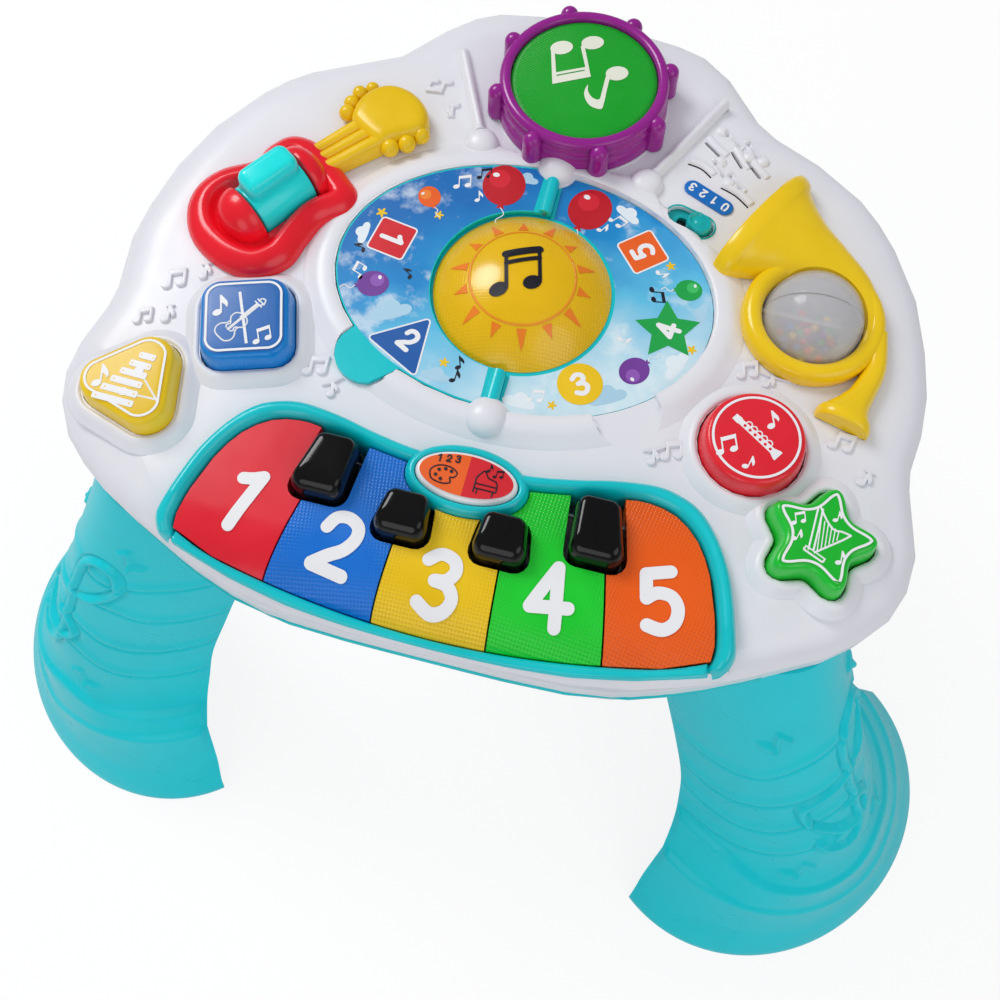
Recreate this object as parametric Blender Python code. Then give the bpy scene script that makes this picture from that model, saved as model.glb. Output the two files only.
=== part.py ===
# Musical activity table for toddlers: a white play deck on three splayed, hollow legs.
# Metres, +Z up. +X runs along the keyboard from key 1 to key 5, +Y runs from the keyboard to the
# drum, and the origin is on the floor below the centre of the bounding box.
import math

import bmesh
import bpy
from mathutils import Matrix, Vector

for old in list(bpy.data.objects):
    bpy.data.objects.remove(old, do_unlink=True)

# Gaps and walls that every piece shares
FIT_GAP = 0.0004
SLIDE_GAP = 0.0007
CUT_OVERRUN = 0.004
WALL = 0.0025

# Deck
DECK_HALF_WIDTH = 0.221
DECK_HALF_DEPTH = 0.1945
DECK_TOP_HEIGHT = 0.317
DECK_RIM_HEIGHT = 0.030
DECK_EDGE_ROUND = 0.026
DECK_EDGE_DROP = 0.017
# Right half of the rim outline, front to back, as shares of the half width and half depth.
DECK_OUTLINE_SHARES = (
    (0.000, -1.008), (0.181, -1.008), (0.303, -1.003), (0.394, -0.992), (0.484, -0.964),
    (0.579, -0.925), (0.665, -0.879), (0.751, -0.833), (0.824, -0.787), (0.891, -0.730),
    (0.950, -0.663), (0.986, -0.581), (1.000, -0.494), (0.991, -0.396), (0.964, -0.267),
    (0.977, -0.154), (0.982, -0.051), (0.968, 0.072), (0.937, 0.226), (0.878, 0.375),
    (0.783, 0.524), (0.674, 0.622), (0.548, 0.689), (0.480, 0.735), (0.439, 0.797),
    (0.389, 0.864), (0.317, 0.931), (0.249, 0.961), (0.127, 0.982), (0.000, 0.992),
)
# Section of the deck's rounded edge: inset as a share of the round, fall as a share of the drop.
DECK_EDGE_SHARES = ((0.0, 1.0), (0.06, 0.69), (0.20, 0.41), (0.46, 0.17), (1.0, 0.0))

# Bottom shell
SHELL_DEPTH = 0.024
SHELL_INSET = 0.0005
# Section of the shell: plan scale as a share of its rim, depth as a share of the shell's depth.
SHELL_SECTION_SHARES = ((1.0, 0.0), (1.0, 0.29), (0.985, 0.46), (0.93, 0.71), (0.80, 1.0))

# Legs: half tubes that lean outwards and flare into a skirted foot
LEG_SPREAD_DEG = 38.5
LEG_FRONT_START = 0.0
LEG_BACK_START = -0.050
LEG_REACH = 0.2875
FOOT_DEPTH = 0.1045
FOOT_HALF_WIDTH = 0.119
LEG_WALL = 0.0035
LEG_PLUG_HEIGHT = 0.030
# Height, open-edge reach, depth and half width as shares of the leg height, reach, foot depth
# and foot half width: the foot's flat, its skirt, the shoulder band and the leaning column.
LEG_STATION_SHARES = (
    (0.000, 1.000, 1.000, 1.000), (0.020, 0.997, 0.992, 0.989), (0.055, 0.988, 0.965, 0.945),
    (0.110, 0.972, 0.918, 0.872), (0.215, 0.949, 0.856, 0.744), (0.232, 0.943, 0.861, 0.716),
    (0.290, 0.912, 0.880, 0.612), (0.345, 0.881, 0.872, 0.540), (0.440, 0.840, 0.862, 0.487),
    (0.560, 0.774, 0.846, 0.450), (0.700, 0.704, 0.818, 0.430), (0.850, 0.628, 0.790, 0.405),
    (1.000, 0.555, 0.765, 0.388),
)
LEG_ARC_STEPS = 12

# Picture plate, page and hinge
DISC_HALF_WIDTH = 0.100
DISC_HALF_DEPTH = 0.073
PLATE_THICKNESS = 0.0022
PLATE_FLANGE = 0.003
RING_WIDTH = 0.0080
RING_HEIGHT = 0.0036
PAGE_THICKNESS = 0.0028
PAGE_TAB_RADIUS = 0.0170
PAGE_TAB_PLACE_SHARES = (-0.303, -0.298)
TAB_START_SHARE = 1.02
HINGE_RADIUS = 0.0038
HINGE_PIN_RADIUS = 0.0011
HINGE_BUMP_RADIUS = 0.0108
HINGE_BUMP_HEIGHT = 0.0085
HINGE_BUMP_REACH = 0.0760
HINGE_PIN_REACH = 0.0764
BARREL_REACH = 0.0724
DOME_RADIUS = 0.0465
DOME_HEIGHT = 0.020
DOME_FORWARD = 0.0030
DOME_GAP = 0.0015

# Keyboard
FRAME_HALF_WIDTH = 0.141
FRAME_OVERHANG = 0.0015
FRAME_REACH = DECK_HALF_DEPTH + FRAME_OVERHANG
FRAME_HEIGHT = 0.0080
FRAME_DEPTH = 0.0160
FRAME_ROUND = 0.0035
FRAME_OUTER_SHARES = (
    (0.972, -0.902), (0.994, -0.876), (1.000, -0.842), (0.986, -0.791), (0.966, -0.730),
    (0.929, -0.648), (0.865, -0.566), (0.794, -0.510), (0.709, -0.482), (0.624, -0.474),
    (0.496, -0.485), (0.355, -0.508), (0.200, -0.526), (0.000, -0.530),
)
FRAME_SIDE = 0.0105
KEY_HALF_SPAN = FRAME_HALF_WIDTH - FRAME_SIDE
KEY_FIELD_SHARES = (
    (1.004, -0.872), (1.006, -0.835), (0.985, -0.765), (0.943, -0.673), (0.875, -0.592),
    (0.779, -0.540), (0.672, -0.523), (0.573, -0.528), (0.382, -0.551), (0.180, -0.570),
    (0.000, -0.574),
)
FRAME_LIP = 0.0032
KEY_FRONT_MARGIN = 0.0055
KEY_FRONT = FRAME_REACH - KEY_FRONT_MARGIN
KEY_FRONT_SAG = 0.0155
KEY_SLOPE_LENGTH = 0.0355
KEY_SLOPE_START = KEY_FRONT - KEY_SLOPE_LENGTH
KEY_TOP = 0.0052
KEY_NOSE_DROP = 0.0185
KEY_BLOCK_DEPTH = 0.0215
KEY_WALL = 0.0022
KEY_GAP = 0.0009
KEY_ROD_RADIUS = 0.0012
KEY_ROD_SETBACK = 0.0760
KEY_ROD_BACK = KEY_FRONT - KEY_ROD_SETBACK
KEY_ROD_DEPTH = 0.0065
KEY_ROD_INSET = 0.0230
KEY_ROD_HALF_LENGTH = KEY_HALF_SPAN - KEY_ROD_INSET
# Where the four gaps between the keys lie: across the front and the back, as shares of the span.
KEY_GAP_FRONT_SHARES = (-0.644, -0.217, 0.217, 0.644)
KEY_GAP_BACK_SHARES = (-0.520, -0.176, 0.176, 0.520)
BED_DEPTH = 0.0235
BED_THICKNESS = 0.0020
BED_POST_RADIUS = 0.0045
BED_POST_SHARES = ((-0.36, -0.75), (0.36, -0.75), (-0.36, -0.62), (0.36, -0.62))
BLACK_KEY_TOP = 0.0185
BLACK_KEY_HALF_FRONT = 0.0145
BLACK_KEY_HALF_BACK = 0.0112
BLACK_KEY_ROUND = 0.0060
BLACK_KEY_CHAMFER = 0.0046
BLACK_KEY_LEAN = 0.0062
# Upper part of a black key: rise, narrowing and backward lean of the front, as shares.
BLACK_KEY_SHARES = ((0.70, 0.42, 0.42), (0.93, 0.66, 0.74), (1.0, 1.0, 1.0))
BLACK_KEY_GAP = 0.0013
# Front and back middles of the black keys, as shares of the key span and the frame reach.
BLACK_KEY_PLACE_SHARES = (
    ((-0.530, -0.722), (-0.490, -0.558)), ((-0.186, -0.776), (-0.180, -0.655)),
    ((0.186, -0.776), (0.180, -0.655)), ((0.530, -0.722), (0.490, -0.558)),
)
MODE_HALF_WIDTH = 0.0252
MODE_HALF_DEPTH = 0.0126
MODE_TOP = 0.0122
MODE_TRAVEL = 0.0015
MODE_BEZEL_WIDTH = 0.0052
MODE_CLEARANCE = 0.0034
MODE_BEZEL_TOP = 0.0105
MODE_PLACE_SHARES = (0.0, -0.587)

# Push buttons
BUTTON_TOP = 0.0145
BUTTON_DRAFT = 0.0022
BUTTON_ROUND = 0.0016
BUTTON_FLANGE = 0.0015
BUTTON_FLANGE_THICKNESS = 0.0022
COLLAR_WIDTH = 0.0053
COLLAR_HEIGHT = 0.0036
COLLAR_DEPTH = 0.0100
SQUARE_BUTTON_HALF = 0.0237
SQUARE_BUTTON_CORNER = 0.0105
TRIANGLE_BUTTON_RADIUS = 0.0400
TRIANGLE_BUTTON_CORNER = 0.0128
ROUND_BUTTON_RADIUS = 0.0260
STAR_BUTTON_RADIUS = 0.0278
STAR_VALLEY_RADIUS = 0.0190
BOARD_DROP = 0.0260
BOARD_THICKNESS = 0.0014
BOARD_RADIUS = 0.0165
BOARD_POST_RADIUS = 0.0040
SPRING_FOOT_RADIUS = 0.0085
SPRING_NECK_RADIUS = 0.0050
BLUE_PLACE_SHARES = (-0.588, -0.306)
YELLOW_PLACE_SHARES = (-0.781, -0.543)
RED_PLACE_SHARES = (0.588, -0.314)
GREEN_PLACE_SHARES = (0.760, -0.530)
BLUE_TURN_DEG = 18.0
YELLOW_TURN_DEG = 72.0
GREEN_TURN_DEG = 9.0

# Drum
DRUM_PLACE_SHARES = (0.014, 0.635)
DRUM_HEAD_RADIUS = 0.0393
DRUM_RIM_TOP_RADIUS = 0.0450
DRUM_RIM_FOOT_RADIUS = 0.0462
DRUM_RIM_HEIGHT = 0.0210
DRUM_LUG_RADIUS = 0.0050
DRUM_LUG_COUNT = 8
DRUM_LUG_TURN_DEG = 22.5
DRUM_HEAD_THICKNESS = 0.0030
DRUM_HEAD_CROWN = 0.0012
DRUM_LIP = 0.0026
DRUM_FLANGE = 0.0024
DRUM_SEAT_HEIGHT = 0.0008
DRUM_SEAT_EDGE = 0.0020
DRUM_CUSHION_WIDTH = 0.0040

# Guitar
GUITAR_HEIGHT = 0.0105
GUITAR_FLOOR = 0.0040
GUITAR_RIM_WIDTH = 0.0075
# Outline of the body, anticlockwise, as shares of the deck's half width and half depth.
GUITAR_BODY_SHARES = (
    (-0.615, -0.157), (-0.552, -0.098), (-0.530, -0.015), (-0.507, 0.050), (-0.457, 0.098),
    (-0.447, 0.160), (-0.498, 0.221), (-0.545, 0.262), (-0.602, 0.305), (-0.665, 0.302),
    (-0.710, 0.245), (-0.724, 0.200), (-0.796, 0.149), (-0.837, 0.082), (-0.842, 0.008),
    (-0.814, -0.067), (-0.765, -0.118), (-0.692, -0.155),
)
GUITAR_NECK_SHARES = (
    (-0.531, 0.201), (-0.434, 0.293), (-0.416, 0.282), (-0.380, 0.303), (-0.348, 0.335),
    (-0.324, 0.380), (-0.328, 0.418), (-0.348, 0.452), (-0.385, 0.486), (-0.430, 0.514),
    (-0.468, 0.511), (-0.511, 0.483), (-0.532, 0.430), (-0.530, 0.365), (-0.500, 0.352),
    (-0.482, 0.342), (-0.579, 0.247),
)
GUITAR_HEAD_HEIGHT = 0.0120
GUITAR_STRING_SHARES = (-0.55, 0.0, 0.55)
GUITAR_NECK_LINE_SHARES = ((-0.549, 0.231), (-0.450, 0.335))
GUITAR_STRING_RADIUS = 0.0017
GUITAR_NECK_HALF_WIDTH = 0.0068
GUITAR_PEG_RADIUS = 0.0048
GUITAR_PEG_SHARES = ((-0.401, 0.298), (-0.362, 0.327), (-0.332, 0.364),
                     (-0.535, 0.396), (-0.532, 0.443), (-0.508, 0.488))
STRUM_PLACE_SHARES = (-0.640, 0.098)
STRUM_TURN_DEG = 56.0
STRUM_HALF_LENGTH = 0.0168
STRUM_RADIUS = 0.0148
STRUM_FIN_REACH = 0.0250
STRUM_FIN_HALF_WIDTH = 0.0060
STRUM_FIN_INSET = 0.0016
STRUM_LEAN_DEG = 18.0
STRUM_AXIS_HEIGHT = 0.0045
STRUM_BORE_RADIUS = 0.0019
CHEEK_RADIUS = 0.0172
CHEEK_LENGTH = 0.0130

# Horn and rattle ball
HORN_PLACE_SHARES = (0.672, 0.082)
HORN_OUTER_RADIUS = 0.0365
HORN_RING_HEIGHT = 0.0095
BALL_RADIUS = 0.0255
BALL_WALL = 0.0014
BALL_CLEARANCE = 0.0010
BALL_CENTRE_HEIGHT = 0.0030
BALL_SEAM_GAP = 0.0004
BALL_AXLE_RADIUS = 0.0016
BALL_AXLE_END = 0.0045
BEAD_RADIUS = 0.0034
BEAD_COUNT = 5
BEAD_CLEARANCE = 0.0009
# Bell of the horn: middle of each section as shares of the deck's half width and half depth,
# then half width and height as shares of the bell's own half width and height.
HORN_BELL_HALF_WIDTH = 0.0375
HORN_BELL_HEIGHT = 0.0190
HORN_BELL_SHARES = (
    ((0.800, 0.020), 0.20, 0.42), ((0.795, 0.125), 0.24, 0.47), ((0.725, 0.215), 0.36, 0.55),
    ((0.640, 0.270), 0.50, 0.68), ((0.560, 0.315), 0.72, 0.86), ((0.514, 0.342), 0.94, 0.99),
    ((0.494, 0.354), 1.00, 1.00), ((0.484, 0.360), 0.98, 0.97),
)
HORN_TAIL_SHARES = (
    ((0.818, 0.060), 0.17, 0.46), ((0.822, -0.040), 0.17, 0.46), ((0.798, -0.110), 0.20, 0.47),
    ((0.782, -0.150), 0.28, 0.52), ((0.774, -0.180), 0.355, 0.56), ((0.771, -0.192), 0.34, 0.52),
)

# Slider switch and its label
SWITCH_PLACE_SHARES = (0.347, 0.316)
SWITCH_TURN_DEG = -15.0
SWITCH_SLOT_HALF_LENGTH = 0.0134
SWITCH_SLOT_RADIUS = 0.0068
SWITCH_KNOB_RADIUS = 0.0058
SWITCH_KNOB_TOP = 0.0042
SWITCH_TRAVEL = 0.0098
SWITCH_PLATE_DROP = 0.0032
SWITCH_PLATE_EDGE = 0.0012
SWITCH_STEM_RADIUS = 0.0019
LABEL_PLACE_SHARES = (0.378, 0.404)
LABEL_TURN_DEG = -24.0
LABEL_HALF_LENGTH = 0.0150
LABEL_RADIUS = 0.0046
LABEL_THICKNESS = 0.0006

# Relief mallets on the deck
MALLET_SHARES = (((-0.199, 0.427), (-0.321, 0.730)), ((0.222, 0.406), (0.367, 0.730)))
MALLET_BALL_RADIUS = 0.0086
MALLET_BALL_HEIGHT = 0.0052
MALLET_STICK_RADIUS = 0.0034

# Speaker
SPEAKER_PLACE_SHARES = (0.415, 0.535)
SPEAKER_RADIUS = 0.0190
SPEAKER_DROP = 0.0028
SPEAKER_MAGNET_RADIUS = 0.0100
SPEAKER_HEIGHT = 0.0130
SLOT_HALF_WIDTH = 0.0009
SLOT_HALF_LENGTH = 0.0065
# Slot middles as shares of the speaker radius, with the turn of each slot in degrees.
SPEAKER_SLOT_SHARES = (
    ((-0.62, 0.35), -38.0), ((-0.10, 0.80), -38.0), ((-0.30, -0.30), -52.0), ((0.12, 0.16), -52.0),
    ((0.52, 0.58), -50.0), ((0.22, -0.62), -45.0), ((0.66, -0.08), -45.0),
)

# Batteries and boards
CELL_RADIUS = 0.0070
CELL_LENGTH = 0.0495
CELL_COUNT = 3
CELL_PITCH = 0.0148
CELL_NUB_RADIUS = 0.0026
CELL_NUB_LENGTH = 0.0012
BOX_WALL = 0.0016
DOOR_THICKNESS = 0.0020
DOOR_SCREW_RADIUS = 0.0022
DOOR_SCREW_HEAD_RADIUS = 0.0038
MAIN_BOARD_HALF_WIDTH = 0.055
MAIN_BOARD_HALF_DEPTH = 0.036

# Derived places and heights
DECK_SKIRT_BOTTOM = DECK_TOP_HEIGHT - DECK_RIM_HEIGHT
SHELL_TOP = DECK_SKIRT_BOTTOM - FIT_GAP
SHELL_BOTTOM = SHELL_TOP - SHELL_DEPTH
SHELL_FLOOR = SHELL_BOTTOM + WALL
LEG_HEIGHT = SHELL_TOP
DISC_TOP = DECK_TOP_HEIGHT - FIT_GAP
PAGE_BOTTOM = DECK_TOP_HEIGHT + FIT_GAP
HINGE_AXIS_HEIGHT = PAGE_BOTTOM + PAGE_THICKNESS / 2
KEY_Z = DECK_TOP_HEIGHT + KEY_TOP
KEY_BOTTOM = KEY_Z - KEY_BLOCK_DEPTH - FIT_GAP
BED_TOP = DECK_TOP_HEIGHT - BED_DEPTH
BOARD_TOP = DECK_TOP_HEIGHT - BOARD_DROP
STEPS_ROUND = 24
ROUND_TURNS = (0.0, 45.0, 90.0)
STEPS_SMALL = 12
STEP_START = 0.37
OUTLINE_TOLERANCE = 0.00042
THIN_RUN = 0.040


# Small helpers

def extreme_foot_y():
    """Most negative Y that the two front feet reach, measured from the disc's centre."""
    axis = math.radians(-LEG_SPREAD_DEG)
    lowest = 0.0
    for step in range(361):
        turn = math.radians(step / 2 - 90)
        along = LEG_FRONT_START + LEG_REACH + FOOT_DEPTH * math.cos(turn)
        across = FOOT_HALF_WIDTH * math.sin(turn)
        lowest = min(lowest, along * math.sin(axis) + across * math.cos(axis))
    return lowest


BACK_FOOT_Y = LEG_BACK_START + LEG_REACH + FOOT_DEPTH
SHIFT = Vector((0.0, -(extreme_foot_y() + BACK_FOOT_Y) / 2, 0.0))


def place(shares):
    """Plan position on the deck from shares of its half width and half depth."""
    return Vector((shares[0] * DECK_HALF_WIDTH, shares[1] * DECK_HALF_DEPTH))


def key_place(shares):
    return Vector((shares[0] * KEY_HALF_SPAN, shares[1] * FRAME_REACH))


def mirrored(points):
    """Closed outline, anticlockwise, from its right half given front to back."""
    left = [Vector((-p.x, p.y)) for p in reversed(points) if abs(p.x) > FIT_GAP]
    return list(points) + left


def smooth_loop(points, steps):
    """Closed Catmull-Rom curve through the points."""
    out = []
    count = len(points)
    for i in range(count):
        a, b, c, d = (points[(i + k - 1) % count] for k in range(4))
        for j in range(steps):
            t = j / steps
            out.append(0.5 * (2 * b + (c - a) * t + (2 * a - 5 * b + 4 * c - d) * t**2
                              + (3 * b - a - 3 * c + d) * t**3))
    return out


def smooth_open(points, steps):
    """Catmull-Rom curve through the points, from the first to the last."""
    ends = [2 * points[0] - points[1]] + list(points) + [2 * points[-1] - points[-2]]
    out = []
    for a, b, c, d in zip(ends, ends[1:], ends[2:], ends[3:]):
        for j in range(steps):
            t = j / steps
            out.append(0.5 * (2 * b + (c - a) * t + (2 * a - 5 * b + 4 * c - d) * t**2
                              + (3 * b - a - 3 * c + d) * t**3))
    return out + [points[-1]]


def thin(points, tolerance=OUTLINE_TOLERANCE):
    """Closed outline without the points that lie almost on the line between their neighbours."""
    kept = list(points)
    changed = True
    while changed and len(kept) > 8:
        changed = False
        out = []
        skip = False
        for i, p in enumerate(kept):
            if skip:
                out.append(p)
                skip = False
                continue
            before, after = kept[i - 1], kept[(i + 1) % len(kept)]
            run = after - before
            off = abs((p - before).x * run.y - (p - before).y * run.x) / max(run.length, FIT_GAP)
            if off < tolerance and run.length < THIN_RUN:
                skip = True
                changed = True
                continue
            out.append(p)
        kept = out
    return kept


def offset(points, distance):
    """Outline moved outwards by a distance, or inwards where it is negative."""
    out = []
    count = len(points)
    for i, p in enumerate(points):
        before = (p - points[i - 1]).normalized()
        after = (points[(i + 1) % count] - p).normalized()
        normal_a = Vector((before.y, -before.x))
        normal_b = Vector((after.y, -after.x))
        bisector = normal_a + normal_b
        out.append(p + bisector * (distance / max(0.35, 1 + normal_a.dot(normal_b))))
    return out


def circle(radius, steps=STEPS_ROUND, centre=(0, 0)):
    turns = [math.tau * (i + STEP_START) / steps for i in range(steps)]
    return [Vector((centre[0] + radius * math.cos(t), centre[1] + radius * math.sin(t))) for t in turns]


def ellipse(half_width, half_depth, steps=36, centre=(0, 0)):
    turns = [math.tau * i / steps for i in range(steps)]
    return [Vector((centre[0] + half_width * math.cos(t), centre[1] + half_depth * math.sin(t)))
            for t in turns]


def capsule(half_length, radius, steps=6):
    """Anticlockwise slot outline along X, half_length from middle to tip."""
    reach = half_length - radius
    out = []
    for side, start in ((1, -90), (-1, 90)):
        for i in range(steps + 1):
            turn = math.radians(start + 180 * i / steps)
            out.append(Vector((side * reach + radius * math.cos(turn), radius * math.sin(turn))))
    return out


def rounded_polygon(corners, radius, steps=4):
    """Anticlockwise polygon with an arc of the given radius at each corner."""
    out = []
    count = len(corners)
    for i, corner in enumerate(corners):
        back = (corners[i - 1] - corner).normalized()
        ahead = (corners[(i + 1) % count] - corner).normalized()
        half = back.angle(ahead) / 2
        inward = (back + ahead).normalized()
        centre = corner + inward * (radius / math.sin(half))
        start = corner + back * (radius / math.tan(half)) - centre
        sweep = math.pi - 2 * half
        for j in range(steps + 1):
            turn = sweep * j / steps
            out.append(centre + Matrix.Rotation(turn, 2) @ start)
    return out


def star(tip, valley):
    """Five-pointed outline with soft tips and valleys."""
    points = []
    for i in range(5):
        for swing, share in ((0.0, 1.0), (13.0, 0.72), (36.0, 0.0), (59.0, 0.72)):
            turn = math.radians(72 * i + swing)
            reach = valley + (tip - valley) * share
            points.append(Vector((reach * math.cos(turn), reach * math.sin(turn))))
    return smooth_loop(points, 2)


def turned(points, degrees):
    spin = Matrix.Rotation(math.radians(degrees), 2)
    return [spin @ p for p in points]


def moved(points, by):
    return [p + Vector((by[0], by[1])) for p in points]


def solid(name, rings, cap_ends=True):
    """Mesh object lofted through equal rings of 3-D points."""
    mesh = bpy.data.meshes.new(name)
    obj = bpy.data.objects.new(name, mesh)
    bpy.context.collection.objects.link(obj)
    bm = bmesh.new()
    loops = [[bm.verts.new(p) for p in ring] for ring in rings]
    size = len(rings[0])
    for low, high in zip(loops, loops[1:]):
        for i in range(size):
            j = (i + 1) % size
            bm.faces.new((low[i], low[j], high[j], high[i]))
    if cap_ends:
        bm.faces.new(list(reversed(loops[0])))
        bm.faces.new(loops[-1])
    bmesh.ops.recalc_face_normals(bm, faces=bm.faces)
    bm.to_mesh(mesh)
    bm.free()
    return obj


def level(points, z):
    return [Vector((p.x, p.y, z)) for p in points]


def prism(name, outline, bottom, top, round_top=0.0):
    """Upright solid of an outline, with a rounded top edge where asked."""
    rings = [level(outline, bottom)]
    if round_top > 0:
        for turn in ROUND_TURNS:
            inset = round_top * (1 - math.cos(math.radians(turn)))
            fall = round_top * (1 - math.sin(math.radians(turn)))
            rings.append(level(offset(outline, -inset), top - fall))
    else:
        rings.append(level(outline, top))
    return solid(name, rings)


def lathe(name, profile, steps=STEPS_ROUND, centre=(0, 0), axis="Z"):
    """Body turned from a closed (radius, height) profile; radius 0 points lie on the axis."""
    mesh = bpy.data.meshes.new(name)
    obj = bpy.data.objects.new(name, mesh)
    bpy.context.collection.objects.link(obj)
    bm = bmesh.new()
    columns = []
    for radius, height in profile:
        if radius == 0:
            columns.append([bm.verts.new((0, 0, height))])
        else:
            turns = [math.tau * (i + STEP_START) / steps for i in range(steps)]
            columns.append([bm.verts.new((radius * math.cos(t), radius * math.sin(t), height))
                            for t in turns])
    count = len(columns)
    closed = not (len(columns[0]) == 1 and len(columns[-1]) == 1)
    for k in range(count if closed else count - 1):
        low, high = columns[k], columns[(k + 1) % count]
        if len(low) == 1 and len(high) == 1:
            continue
        for i in range(steps):
            j = (i + 1) % steps
            if len(low) == 1:
                bm.faces.new((low[0], high[j], high[i]))
            elif len(high) == 1:
                bm.faces.new((low[i], low[j], high[0]))
            else:
                bm.faces.new((low[i], low[j], high[j], high[i]))
    bmesh.ops.recalc_face_normals(bm, faces=bm.faces)
    spin = {"Z": Matrix.Identity(3), "X": Matrix.Rotation(math.pi / 2, 3, "Y"),
            "Y": Matrix.Rotation(-math.pi / 2, 3, "X")}[axis]
    bmesh.ops.transform(bm, matrix=spin.to_4x4(), verts=bm.verts)
    bmesh.ops.translate(bm, vec=(centre[0], centre[1], centre[2] if len(centre) > 2 else 0),
                        verts=bm.verts)
    bm.to_mesh(mesh)
    bm.free()
    return obj


def rod(name, start, end, radius, steps=STEPS_SMALL):
    """Plain round bar between two points."""
    start, end = Vector(start), Vector(end)
    turn = (end - start).to_track_quat("Z", "Y")
    ring = circle(radius, steps)
    rings = [[spot + turn @ Vector((p.x, p.y, 0)) for p in ring] for spot in (start, end)]
    return solid(name, rings)


def knob_cap(name, centre, radius, height, steps=14):
    """Low dome on a short skirt, to be sunk into the surface below it."""
    profile = [(0, -WALL * 0.4), (radius, -WALL * 0.4)]
    for turn in (0, 32, 64):
        profile.append((radius * math.cos(math.radians(turn)), height * math.sin(math.radians(turn))))
    profile.append((0, height))
    return lathe(name, profile, steps, centre)


def ball(name, centre, radius, squash=1.0, rings=5, steps=10):
    profile = []
    for i in range(rings + 1):
        turn = math.pi * i / rings - math.pi / 2
        profile.append((0 if i in (0, rings) else radius * math.cos(turn),
                        radius * squash * math.sin(turn)))
    return lathe(name, profile, steps, centre)


def combine(target, tool, how):
    """Apply one exact Boolean to the target and drop the tool."""
    modifier = target.modifiers.new(how.lower(), "BOOLEAN")
    modifier.operation = how
    modifier.solver = "EXACT"
    modifier.object = tool
    bpy.context.view_layer.update()
    graph = bpy.context.evaluated_depsgraph_get()
    mesh = bpy.data.meshes.new_from_object(target.evaluated_get(graph))
    target.modifiers.clear()
    old_mesh = target.data
    target.data = mesh
    bpy.data.meshes.remove(old_mesh)
    bpy.data.objects.remove(tool, do_unlink=True)


def cut(target, *tools):
    for tool in tools:
        combine(target, tool, "DIFFERENCE")


def join(target, *tools):
    for tool in tools:
        combine(target, tool, "UNION")


def keep_common(target, tool):
    combine(target, tool, "INTERSECT")


MATERIALS = {}


def material(name, colour, roughness, metallic=0.0):
    if name not in MATERIALS:
        mat = bpy.data.materials.new(name)
        mat.use_nodes = True
        shader = mat.node_tree.nodes["Principled BSDF"]
        shader.inputs["Base Color"].default_value = (*colour, 1.0)
        shader.inputs["Roughness"].default_value = roughness
        shader.inputs["Metallic"].default_value = metallic
        MATERIALS[name] = mat
    return MATERIALS[name]


def finish(obj, name, look, origin=(0, 0, 0)):
    """Name a piece, give it its material and origin, tidy its mesh and set it on the table."""
    obj.name = name
    mesh = obj.data
    mesh.name = name
    bm = bmesh.new()
    bm.from_mesh(mesh)
    bmesh.ops.remove_doubles(bm, verts=bm.verts, dist=FIT_GAP / 100)
    bmesh.ops.dissolve_degenerate(bm, edges=bm.edges, dist=FIT_GAP / 100)
    bmesh.ops.translate(bm, vec=-Vector(origin), verts=bm.verts)
    bm.to_mesh(mesh)
    bm.free()
    mesh.materials.clear()
    mesh.materials.append(look)
    mesh.shade_smooth()
    mesh.set_sharp_from_angle(angle=math.radians(35))
    obj.location = Vector(origin) + SHIFT
    print(name, len(mesh.polygons), "faces")
    return obj


WHITE = material("white_plastic", (0.83, 0.83, 0.86), 0.32)
TEAL = material("teal_plastic", (0.0, 0.50, 0.56), 0.35)
RED = material("red_plastic", (0.80, 0.015, 0.03), 0.30)
YELLOW = material("yellow_plastic", (0.90, 0.55, 0.01), 0.32)
BLUE = material("blue_plastic", (0.0, 0.13, 0.50), 0.32)
GREEN = material("green_plastic", (0.01, 0.48, 0.03), 0.32)
PURPLE = material("purple_plastic", (0.26, 0.008, 0.20), 0.30)
BLACK = material("black_plastic", (0.008, 0.008, 0.009), 0.22)
CLEAR = material("clear_plastic", (0.85, 0.85, 0.88), 0.05)
STEEL = material("steel", (0.55, 0.55, 0.56), 0.30, 1.0)
BOARD = material("circuit_board", (0.02, 0.20, 0.08), 0.45)
RUBBER = material("silicone", (0.35, 0.36, 0.38), 0.60)
SKY = material("sky_print", (0.10, 0.40, 0.72), 0.35)
DOME_YELLOW = material("yellow_translucent", (0.86, 0.50, 0.0), 0.25)
DRUM_GREEN = material("green_translucent", (0.02, 0.42, 0.04), 0.28)
KEY_LOOKS = (
    material("key_red", (0.78, 0.02, 0.04), 0.30), material("key_blue", (0.0, 0.12, 0.66), 0.30),
    material("key_yellow", (0.92, 0.62, 0.0), 0.28), material("key_green", (0.02, 0.56, 0.04), 0.28),
    material("key_orange", (0.95, 0.16, 0.0), 0.28),
)


# Deck

DECK_OUTLINE = thin(smooth_loop(mirrored([place(s) for s in DECK_OUTLINE_SHARES]), 4), 2.5 * OUTLINE_TOLERANCE)


def deck_blank():
    """Hollow lid with a rounded edge, before anything is cut into it."""
    outer = [level(DECK_OUTLINE, DECK_SKIRT_BOTTOM)]
    inner = [level(offset(DECK_OUTLINE, -WALL), DECK_SKIRT_BOTTOM - CUT_OVERRUN)]
    for row, (inset_share, fall_share) in enumerate(DECK_EDGE_SHARES):
        inset = inset_share * DECK_EDGE_ROUND
        height = DECK_TOP_HEIGHT - fall_share * DECK_EDGE_DROP
        outer.append(level(offset(DECK_OUTLINE, -inset), height))
        if row % 2 == 0:
            inner.append(level(offset(DECK_OUTLINE, -inset - WALL), height - WALL))
    deck = solid("top_deck", outer)
    cut(deck, solid("deck_hollow", inner))
    return deck


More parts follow.
